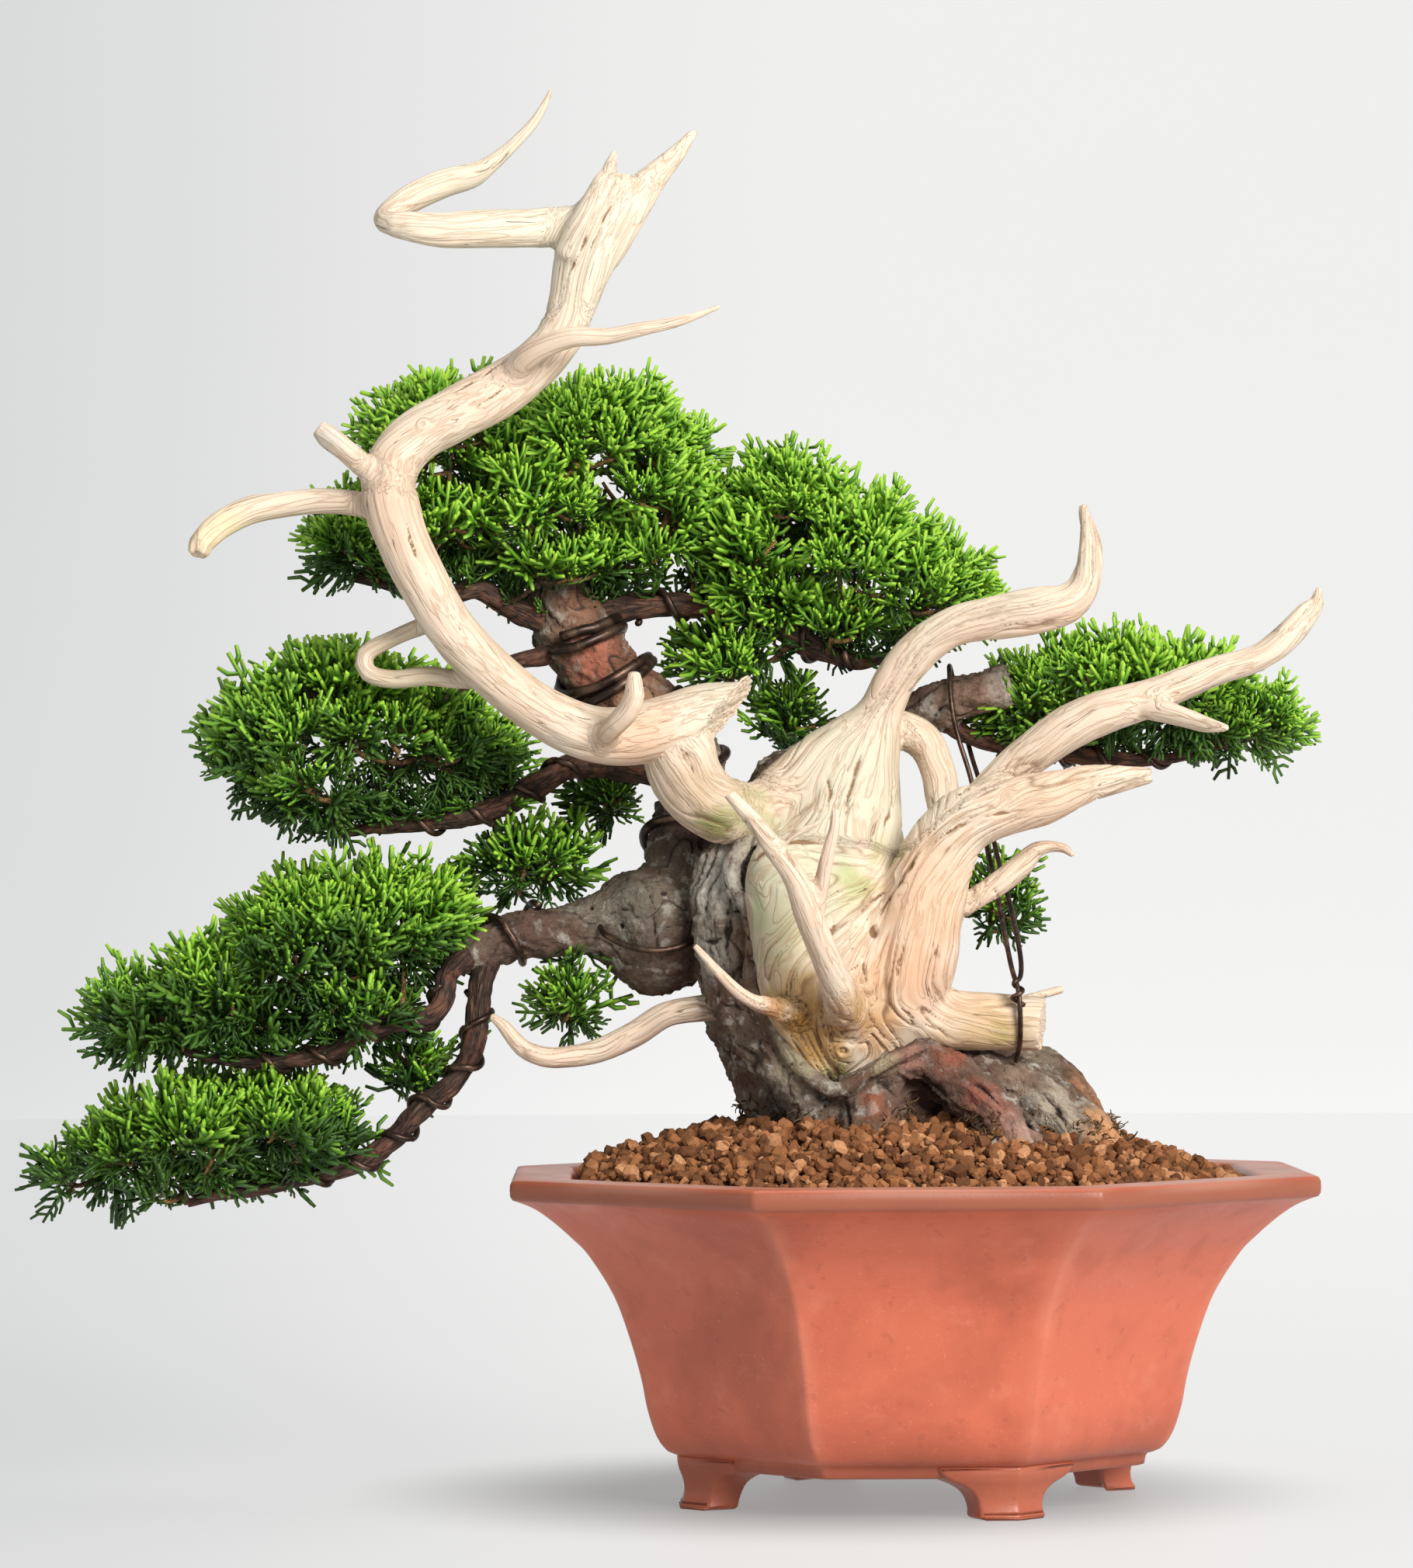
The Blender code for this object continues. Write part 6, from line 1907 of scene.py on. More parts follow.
class Foliage:
    """All of the foliage pads: clumps of sprigs on a net of fine twigs."""

    tries: int = 420
    clump_depth: float = 15.0
    clump_spread: float = math.radians(56)

    def __init__(self, pads: Sequence[Pad], seed: int) -> None:
        """Take the pads.

        Args:
            pads: the pads.
            seed: source of variation.
        """
        self.pads = pads
        self.chance = random.Random(seed)
        self.sprigs = SprigKinds(self.chance)

    def clumps(self, pad: Pad) -> list[tuple[Array, Array, Array]]:
        """Spread clumps over the outside of a pad.

        Args:
            pad: the pad.

        Returns:
            The place, the skin's normal, and the way each clump faces.
        """
        candidates = []
        lobes = np.array(pad.lobes)
        middle = lobes[:, :3].mean(0)
        for centre, size in zip(lobes[:, :3], lobes[:, 3:]):
            for k in range(self.tries):
                z = 1 - 2 * (k + 0.5) / self.tries
                ring = math.sqrt(1 - z * z)
                way = np.array((ring * math.cos(GOLDEN_TURN * k), ring * math.sin(GOLDEN_TURN * k), z))
                place = centre + way * size
                inside = (((place - lobes[:, :3]) / lobes[:, 3:]) ** 2).sum(1)
                if (inside < 0.9).any():
                    continue
                normal = way / size
                candidates.append((place, normal / np.linalg.norm(normal)))
        self.chance.shuffle(candidates)
        kept: list[tuple[Array, Array, Array]] = []
        for place, normal in candidates:
            room = pad.spacing * (1.0 if normal[2] > UNDERSIDE else 1.25) * self.chance.uniform(0.85, 1.2)
            if all(((place - other[0]) ** 2).sum() > room * room for other in kept):
                out = place - middle
                out[2] = 0
                out /= max(1e-6, np.linalg.norm(out))
                up = 0.6 if normal[2] > UNDERSIDE else 0.0
                axis = 0.5 * normal + up * np.array((0, 0, 1.25)) + 0.6 * out + 0.8 * strays(self.chance, -0.5, 0.5)
                axis /= np.linalg.norm(axis)
                kept.append((place + axis * self.chance.triangular(-6.0, 5.0, -1.0), normal, axis))
        return kept

    def grow(self, pad: Pad, leaves: bpy.types.Material, bark: bpy.types.Material) -> None:
        """Grow one pad."""
        chance = self.chance
        lobes = np.array(pad.lobes)
        low, high = (lobes[:, 2] - lobes[:, 5]).min(), (lobes[:, 2] + lobes[:, 5]).max()
        crowd = Crowd()
        net = [np.array(s[:3], float) for carrier in pad.carriers for s in carrier]
        twigs = bmesh.new()
        clumps = self.clumps(pad)
        clumps.sort(key=lambda c: min(((c[0] - p) ** 2).sum() for p in net))
        for place, normal, axis in clumps:
            under = normal[2] < UNDERSIDE
            height = (place[2] - low) / (high - low)
            # painted light and shade: clumps high in the pad, facing up, or in pads given more painted light are
            # lighter
            shade = 0.22 + 0.5 * height + 0.4 * normal[2] + chance.uniform(-0.15, 0.2) + pad.bright
            shade = float(np.clip(shade, 0.0, 1.0))
            size = chance.triangular(0.62, 1.2, 0.95) * (0.85 if under else 1.0)
            heart = place - axis * self.clump_depth * size
            count = max(3, round(pad.sprigs * (0.6 if under else 1.0)))
            seat = facing(axis, chance.uniform(0, math.tau), 1.0)
            for k in range(count):
                tilt = self.clump_spread * math.sqrt((k + 0.35) / count)
                turn = GOLDEN_TURN * k + chance.uniform(-0.5, 0.5)
                aside = math.sin(tilt)
                way = seat @ np.array((aside * math.cos(turn), aside * math.sin(turn), math.cos(tilt)))
                way = way + np.array((0, 0, -0.05 if under else 0.14)) + strays(chance, -0.3, 0.3)
                way /= np.linalg.norm(way)
                kind = self.sprigs.kinds[chance.randrange(len(self.sprigs.kinds))]
                own = size * chance.uniform(0.62, 1.15)
                tone = chance.random()
                # painted light: sprigs that point up are lighter
                lit = np.clip(shade + 0.3 * way[2] - 0.1, 0, 1)
                crowd.add(kind, facing(way, chance.uniform(0, math.tau), own), heart + way * 2.5,
                          along=kind[1], tone=tone, shade=float(lit))
            self.join_twig(twigs, net, heart, crowd, shade)
        self.line_branches(pad, crowd)
        publish(f"{pad.node}_shoots", crowd.mesh(pad.node), leaves, (pad.node,))
        mesh = mesh_of(f"{pad.node}_twigs", twigs)
        points = points_of(mesh)
        set_attribute(mesh, "grain", points[:, [0, 2, 1]])
        set_attribute(mesh, "hollow", np.zeros(len(points)))
        set_attribute(mesh, "ripe", smoothstep(Noise(9).at(points, 14.0), -0.1, 0.4))
        publish(f"{pad.node}_twigs", mesh, bark)

    def line_branches(self, pad: Pad, crowd: Crowd) -> None:
        """Set sprigs along the branches inside a pad, darkened with painted shade.

        Args:
            pad: the pad.
            crowd: the pad's sprigs.
        """
        chance = self.chance
        for carrier in pad.carriers:
            line = Line(carrier, 3.0)
            for i in range(1, len(line.places)):
                for _ in range(pad.spurs):
                    stray = np.array([chance.uniform(-1, 1), chance.uniform(-1, 1), chance.uniform(0.15, 1.1)])
                    way = stray + 0.5 * line.tangents[i]
                    kind = self.sprigs.kinds[chance.randrange(len(self.sprigs.kinds))]
                    # painted shade: these sprigs get a low shade mark
                    crowd.add(kind, facing(way, chance.uniform(0, math.tau), chance.uniform(0.5, 0.9)),
                              line.places[i] + way * 0.6 * line.radii[i], along=kind[1] * 0.75, tone=chance.random(),
                              shade=chance.uniform(0.0, 0.35))

    def join_twig(self, twigs: bmesh.types.BMesh, net: list[Array], heart: Array, crowd: Crowd, shade: float) -> None:
        """Join a clump to the nearest twig or branch, with a few stray sprigs on the way.

        Args:
            twigs: the mesh that the twig is added to.
            net: places that twigs can spring from; the new ones are added to it.
            heart: where the twig ends.
            crowd: the pad's sprigs.
            shade: how light the clump is.
        """
        chance = self.chance
        start = min(net, key=lambda p: ((p - heart) ** 2).sum() + 0.6 * max(0.0, p[2] - heart[2]) ** 2)
        span = float(np.linalg.norm(heart - start))
        if span < 2.0:
            return
        sag = np.array((chance.uniform(-1, 1), chance.uniform(-1, 1), -1.2)) * span * 0.09
        thick = min(2.1, 0.75 + span * 0.03)
        stations = []
        for t in (0.0, 0.3, 0.6, 0.85, 1.0):
            bow = 4 * t * (1 - t)
            stations.append((*(start + (heart - start) * t + sag * bow), thick * (1 - 0.55 * t)))
        add_to(twigs, Line(stations, 4.0).sweep(6))
        for station in stations[1:]:
            net.append(np.array(station[:3]))
        away = (heart - start) / span
        for _ in range(int(span / 9.0)):
            t = chance.uniform(0.2, 0.95)
            place = start + (heart - start) * t + sag * 4 * t * (1 - t)
            way = away * 0.7 + strays(chance, -1, 1) * 0.7 + np.array((0, 0, 0.1))
            kind = self.sprigs.kinds[chance.randrange(len(self.sprigs.kinds))]
            # painted shade: the stray sprigs inside the pad are darker than their clump
            crowd.add(kind, facing(way, chance.uniform(0, math.tau), chance.uniform(0.5, 0.75)), place,
                      along=kind[1] * 0.7, tone=chance.random(), shade=0.35 * shade)

    def build(self, leaves: bpy.types.Material, bark: bpy.types.Material) -> None:
        """Grow every pad."""
        for pad in self.pads:
            self.grow(pad, leaves, bark)


def foliage_pads(trunk: LiveTrunk, wood: Branches) -> list[Pad]:
    """The seven pads and six tufts of the tree."""
    crown = trunk.upper_stem.stations[-4:]
    right = wood.apex_right.stations[2:]
    left = wood.apex_left.stations[3:]
    return [
        Pad("foliage_apex", (
            (-97, 16, 334, 30, 40, 20), (-120, 14, 316, 30, 42, 19), (-149, 0, 334, 22, 30, 17),
            (-150, 4, 312, 24, 32, 17), (-72, 22, 314, 17, 30, 16), (-83, 20, 326, 22, 34, 18),
            (-110, 20, 300, 30, 36, 13),
        ), (crown, wood.apex_right.stations[:5], wood.apex_left.stations[:5]), bright=0.36),
        Pad("foliage_apex_left", ((-176, 4, 306, 12, 22, 13), (-168, 4, 299, 14, 20, 9)), (left,)),
        Pad("foliage_upper_right", (
            (-38, 22, 314, 20, 34, 16), (-16, 24, 301, 24, 38, 18), (6, 26, 288, 26, 36, 17),
            (-50, 22, 302, 15, 28, 14),
            (-16, 26, 280, 24, 28, 10), (-58, 24, 269, 14, 20, 8), (-44, 24, 286, 16, 24, 10),
        ), (right,), bright=0.34),
        Pad("foliage_right", (
            (62, 30, 256, 24, 34, 17), (90, 28, 253, 24, 32, 15), (111, 24, 246, 17, 24, 11), (40, 32, 250, 16, 24, 15),
        ), (wood.right.stations[3:],), bright=0.2),
        Pad("foliage_mid_left", (
            (-168, 4, 243, 32, 34, 21), (-196, 4, 244, 23, 32, 18), (-184, 4, 226, 26, 32, 13),
            (-142, 8, 236, 22, 30, 14),
            (-181, 10, 258, 18, 26, 13), (-206, 4, 236, 14, 22, 13),
        ), (wood.mid_left.stations[4:],), bright=-0.2, spurs=2),
        Pad("foliage_low_left", (
            (-161, -2, 182, 24, 32, 18), (-188, -2, 174, 29, 38, 22), (-218, -2, 160, 24, 34, 16),
            (-242, -2, 153, 18, 26, 12), (-175, -6, 157, 24, 28, 11),
        ), (wood.low_left.stations[4:],), bright=-0.32, spurs=2),
        Pad("foliage_lowest", (
            (-193, -6, 118, 22, 30, 14), (-220, -6, 116, 25, 34, 16), (-246, -6, 111, 20, 26, 12),
            (-264, -6, 106, 13, 16, 8),
        ), (wood.lowest.stations[6:],), bright=-0.4, spurs=2),
        Pad("tuft_burl_left", ((-120, 10, 202, 20, 16, 11),), (((-113, 6, 184, 2), (-116, 10, 196, 2)),), 10, 4, -0.3),
        Pad("tuft_under_branch", ((-107, 8, 158, 9, 10, 9),), (((-106, 6, 176, 2), (-107, 8, 162, 2)),), 9, 4, -0.3),
        Pad("tuft_drop", ((-157, 4, 139, 7, 9, 6),), (((-138, -2, 140, 2), (-152, 3, 139, 2)),), 8, 4, -0.3),
        Pad("tuft_right", ((31, 24, 188, 14, 12, 12),), (((-4, 10, 178, 2), (24, 22, 187, 2)),), 10, 4, 0.0),
        Pad("tuft_crotch", ((-36, 36, 249, 10, 10, 9),), (((-34, 20, 230, 2), (-36, 32, 244, 2)),), 9, 4, -0.3),
        Pad("tuft_stem", ((-96, 28, 224, 9, 9, 8),), (((-84, 20, 228, 2), (-92, 26, 225, 2)),), 9, 4, -0.3),
    ]


# ---- pot and soil -------------------------------------------------------------------------------


def octagon_corner(radius: float, index: float, z: float, turn: float) -> Vector:
    """A corner of the octagon; index 0 is the front right one."""
    angle = math.radians(turn + 45.0 * index)
    return Vector((radius * math.sin(angle), -radius * math.cos(angle), z))


@dataclass
class Pot:
    """The eight sided clay pot: flared walls, a lipped rim, a base band and four bracket feet."""

    turn: float = 23.3
    arris: float = 1.0
    outer: tuple[tuple[float, float], ...] = (
        (76.0, 12.5), (77.6, 13.0), (78.0, 15.2), (78.6, 16.3), (82.8, 17.8), (86.6, 22.6), (89.6, 31.0), (91.7, 41.0),
        (95.3, 53.0), (100.7, 66.5), (109.0, 79.0), (114.5, 84.5), (121.0, 90.0), (127.0, 94.0), (132.6, 96.3),
        (134.2, 96.8), (135.0, 98.0), (135.0, 101.6), (134.3, 102.7), (133.0, 103.0), (117.0, 103.0),
        (115.2, 102.6), (114.2, 101.2), (111.0, 92.0), (101.0, 79.0), (92.0, 66.5), (86.0, 53.0), (82.5, 41.0),
        (80.5, 31.0), (77.0, 24.0), (73.0, 22.0),
    )
    foot_levels: tuple[tuple[float, float, float, float], ...] = (
        (16.6, 25.0, 79.8, 13.0), (14.2, 24.0, 79.6, 12.5), (12.0, 21.0, 79.0, 12.0), (10.2, 16.6, 78.2, 11.2),
        (8.2, 13.6, 77.6, 10.5), (5.6, 12.0, 77.2, 9.8), (2.8, 11.6, 77.8, 9.6), (1.0, 11.9, 79.0, 10.2),
        (0.0, 11.4, 78.8, 9.8),
    )
    hole_x: float = 32.0
    hole_radius: float = 9.0

    def shell(self) -> bmesh.types.BMesh:
        """The turned and closed wall, floor and rim."""
        bm = bmesh.new()
        start = [octagon_corner(r, 0, z, self.turn) for r, z in self.profile()]
        verts = [bm.verts.new(p) for p in (Vector((0, 0, self.outer[0][1])), *start, Vector((0, 0, self.outer[-1][1])))]
        edges = [bm.edges.new(pair) for pair in zip(verts, verts[1:])]
        bmesh.ops.spin(bm, geom=verts + edges, cent=(0, 0, 0), axis=(0, 0, 1), angle=math.tau, steps=8, use_merge=True)
        bmesh.ops.remove_doubles(bm, verts=bm.verts[:], dist=0.01)
        columns = [e for e in bm.edges if self.is_arris(e)]
        bmesh.ops.bevel(bm, geom=columns, offset=self.arris, offset_type="OFFSET", segments=4, profile=0.5,
                        affect="EDGES", material=-1)
        across = [e for e in bm.edges if abs(e.verts[0].co.z - e.verts[1].co.z) < 0.02 and e.calc_length() > 25
                  and e.verts[0].co.length > 40]
        bmesh.ops.subdivide_edges(bm, edges=across, cuts=18, use_grid_fill=False)
        bmesh.ops.recalc_face_normals(bm, faces=bm.faces[:])
        return bm

    def profile(self) -> list[tuple[float, float]]:
        """The wall's profile, smoothed where it is long."""
        line = Line([(r, 0, z, 1) for r, z in self.outer], 2.2)
        return [(p[0], p[2]) for p in line.places]

    def is_arris(self, edge: bmesh.types.BMEdge) -> bool:
        """Whether an edge runs up a corner of the pot."""
        a, b = edge.verts
        if min(a.co.xy.length, b.co.xy.length) < 20:
            return False
        gap = a.co.xy.angle_signed(b.co.xy)
        return abs(gap) < 0.01

    def foot(self, index: int) -> bmesh.types.BMesh:
        """One foot, a chevron bracket under a corner of the pot."""
        bm = bmesh.new()
        line = Line([(half, z, radius, thick) for z, half, radius, thick in self.foot_levels], 1.3)
        loop: list[bmesh.types.BMVert] = []
        edges: list[bmesh.types.BMEdge] = []
        for (half, z, radius), thick in zip(line.places, line.radii):
            outline = self.foot_outline(index, half, z, radius, thick)
            if not loop:
                loop = [bm.verts.new(p) for p in outline]
                bm.faces.new(loop)
                edges = bm.edges[:]
                continue
            fresh, edges = extruded(bm, edges)
            known = set(fresh)
            loop = [next(v for e in old.link_edges for v in e.verts if v in known) for old in loop]
            for vert, place in zip(loop, outline):
                vert.co = place
        bmesh.ops.edgeloop_fill(bm, edges=edges)
        bmesh.ops.recalc_face_normals(bm, faces=bm.faces[:])
        sharp = [e for e in bm.edges if e.calc_face_angle(0.0) > 0.6]
        bmesh.ops.bevel(bm, geom=sharp, offset=1.1, offset_type="OFFSET", segments=3, profile=0.5,
                        affect="EDGES", material=-1)
        return bm

    def foot_outline(self, index: int, half: float, z: float, radius: float, thick: float) -> list[Vector]:
        """The foot's outline at one height."""
        tip = octagon_corner(radius, index, z, self.turn)
        along = [(octagon_corner(radius, index + s, z, self.turn) - tip).normalized() for s in (-1, 1)]
        inward = -octagon_corner(1.0, index, 0.0, self.turn)
        outer = [tip + along[0] * half, tip, tip + along[1] * half]
        depth = thick / math.cos(math.radians(22.5))
        return outer + [p + inward * depth for p in reversed(outer)]

    def stand(self, name: str, bm: bmesh.types.BMesh) -> bpy.types.Object:
        """Stand a working shape in the scene, in metres."""
        bmesh.ops.scale(bm, vec=(MM, MM, MM), verts=bm.verts[:])
        helper = bpy.data.objects.new(name, mesh_of(name, bm))
        bpy.context.scene.collection.objects.link(helper)
        return helper

    def build(self, finish: bpy.types.Material) -> None:
        """Make the pot, with its feet and drainage holes."""
        helper = self.stand("clay", self.shell())
        tools = [("UNION", self.foot(index)) for index in (0, 2, 4, 6)]
        for x in (-self.hole_x, self.hole_x):
            drill = bmesh.new()
            bmesh.ops.create_cone(drill, cap_ends=True, segments=32, radius1=self.hole_radius,
                                  radius2=self.hole_radius, depth=30, matrix=Matrix.Translation((x, 0, 17)))
            tools.append(("DIFFERENCE", drill))
        stands = []
        for operation, bm in tools:
            tool = self.stand("tool", bm)
            join = helper.modifiers.new("Join", "BOOLEAN")
            join.operation, join.object, join.solver = operation, tool, "EXACT"
            stands.append(tool)
        mesh = settled(helper)
        for tool in stands:
            bpy.data.objects.remove(tool, do_unlink=True)
        mesh.transform(Matrix.Scale(1 / MM, 4))
        points = points_of(mesh)
        angle = np.degrees(np.arctan2(points[:, 0], -points[:, 1])) - self.turn
        off = np.abs((angle + 22.5) % 45.0 - 22.5) * np.pi / 180 * np.hypot(points[:, 0], points[:, 1])
        wear = np.exp(-((off / 2.2) ** 2)) * (points[:, 2] > 14)
        rim = np.exp(-(((points[:, 2] - 103.0) / 0.9) ** 2)) * (np.hypot(points[:, 0], points[:, 1]) > 118)
        noise = Noise(5)
        points += 0.16 * noise.at(points, 26.0)[:, None] * np.array((1, 1, 0.2))
        move_points(mesh, points)
        set_attribute(mesh, "wear", np.clip(0.8 * wear + 0.35 * rim, 0, 1))
        level, reach = points[:, 2], np.hypot(points[:, 0], points[:, 1])
        # painted shade: the rim's outer lip face
        lip = smoothstep(level, 95.8, 97.2) * smoothstep(-level, -103.2, -102.2) * (reach > 120)
        # darker on the base and feet below about 15 mm, and along a faint line at 19.5 mm
        band = 0.6 * smoothstep(-level, -17.0, -14.5) + 0.15 * np.exp(-(((level - 19.5) / 3.0) ** 2))
        set_attribute(mesh, "lip", np.clip(lip + band, 0, 1))
        # painted sheen: the flat top of the rim, inside its outer edge
        inside = (points[:, 2] > 101.5) * smoothstep(-np.hypot(points[:, 0], points[:, 1]), -131, -118)
        set_attribute(mesh, "dust", inside.astype(float))
        publish("pot_clay", mesh, finish, ("pot",))


@dataclass
class Soil:
    """The granular soil: a dark bed, painted as the shade between the granules, and loose granules over it."""

    turn: float = 23.3
    edge: float = 112.4
    edge_z: float = 98.0
    rise: float = 23.0
    spacing: float = 3.1
    kinds: int = 10
    shapes: list[tuple[Array, Array, Array, Array]] = field(default_factory=list)

    def height(self, x: Array, y: Array) -> Array:
        """The mound's height."""
        reach = np.hypot(x + 6.0, y - 4.0) / 112.0
        return self.edge_z + self.rise * np.clip(1.0 - reach**2.1, 0, None)

    def within(self, x: Array, y: Array, room: float) -> Array:
        """Whether places are inside the octagon, with room to spare."""
        apothem = self.edge * math.cos(math.pi / 8) - room
        kept = np.ones(len(x), bool)
        for k in range(8):
            angle = math.radians(self.turn + 22.5 + 45.0 * k)
            kept &= x * math.sin(angle) - y * math.cos(angle) < apothem
        return kept

    def bed(self, finish: bpy.types.Material) -> None:
        """The bed under the granules, near black: painted shade in the gaps between them."""
        bm = bmesh.new()
        bmesh.ops.create_circle(bm, cap_ends=False, segments=48, radius=1.0)
        edges = bm.edges[:]
        before = 1.0
        for share in (0.97, 0.9, 0.8, 0.7, 0.6, 0.5, 0.4, 0.3, 0.2, 0.1, 0.03):
            verts, edges = extruded(bm, edges)
            bmesh.ops.scale(bm, vec=(share / before,) * 3, verts=verts)
            before = share
        bmesh.ops.edgeloop_fill(bm, edges=edges)
        for vert in bm.verts:
            way = math.atan2(vert.co.x, -vert.co.y) - math.radians(self.turn)
            fold = (way + math.pi / 8) % (math.pi / 4) - math.pi / 8
            wall = self.edge * math.cos(math.pi / 8) / math.cos(abs(fold) - math.pi / 8)
            vert.co.xy *= wall * 0.995
        points = np.array([v.co for v in bm.verts], float)
        z = self.height(points[:, 0], points[:, 1]) - 1.6
        for vert, level in zip(bm.verts, z):
            vert.co.z = level
        lower, _ = extruded(bm, [e for e in bm.edges if e.is_boundary])
        bmesh.ops.translate(bm, vec=(0, 0, -8), verts=lower)
        bmesh.ops.scale(bm, vec=(0.97, 0.97, 1), verts=lower)
        bmesh.ops.edgeloop_fill(bm, edges=[e for e in bm.edges if e.is_boundary])
        bmesh.ops.recalc_face_normals(bm, faces=bm.faces[:])
        mesh = mesh_of("bed", bm)
        # painted shade: a low tone keeps the bed near black
        set_attribute(mesh, "tone", np.full(len(mesh.vertices), 0.15))
        publish("soil_bed", mesh, finish, ("soil",))

    def shape(self, chance: random.Random, noise: Noise) -> tuple[Array, Array, Array, Array]:
        """One granule about a millimetre in radius."""
        bm = bmesh.new()
        bmesh.ops.create_cube(bm, size=1.5)
        bmesh.ops.bevel(bm, geom=bm.edges[:], offset=0.34, offset_type="OFFSET", segments=1, profile=0.5,
                        affect="EDGES", material=-1)
        bmesh.ops.recalc_face_normals(bm, faces=bm.faces[:])
        points, corners, sizes = shape_of(bm)
        rise = 1 + 0.42 * noise.at(points + chance.uniform(0, 99), 1.1)
        return points * rise[:, None], np.zeros(len(points)), corners, sizes

    def build(self, granule: bpy.types.Material, bed: bpy.types.Material) -> None:
        """Lay the bed and strew the granules."""
        self.bed(bed)
        chance = random.Random(3)
        noise = Noise(19)
        self.shapes = [self.shape(chance, noise) for _ in range(self.kinds)]
        places = []
        steps = int(2 * self.edge / self.spacing) + 2
        for i in range(steps):
            for j in range(steps):
                x = -self.edge + (i + 0.5 * (j % 2)) * self.spacing + chance.uniform(-1.2, 1.2)
                y = -self.edge + j * self.spacing + chance.uniform(-1.2, 1.2)
                places.append((x, y, chance.uniform(0.9, 2.3), chance.uniform(-1.0, 0.6)))
        for _ in range(1200):
            x, y = chance.uniform(-self.edge, self.edge), chance.uniform(-self.edge, self.edge)
            places.append((x, y, chance.uniform(1.5, 3.1), chance.uniform(0.7, 2.2)))
        spots = np.array(places)
        spots = spots[self.within(spots[:, 0], spots[:, 1], 1.6)]
        level = self.height(spots[:, 0], spots[:, 1])
        crowds = {"front": Crowd(), "back": Crowd()}
        for (x, y, radius, lift), z in zip(spots, level):
            kind = self.shapes[chance.randrange(self.kinds)]
            way = np.array([chance.gauss(0, 1) for _ in range(3)])
            turn = facing(way, chance.uniform(0, math.tau), 1.0) * (radius * strays(chance, 0.75, 1.2))
            half = "front" if y < 0 else "back"
            crowds[half].add(kind, turn, np.array((x, y, z + lift)), tone=chance.random())
        for half, crowd in crowds.items():
            publish(f"soil_granules_{half}", crowd.mesh(half), granule, smooth=False)


# ---- the studio ---------------------------------------------------------------------------------


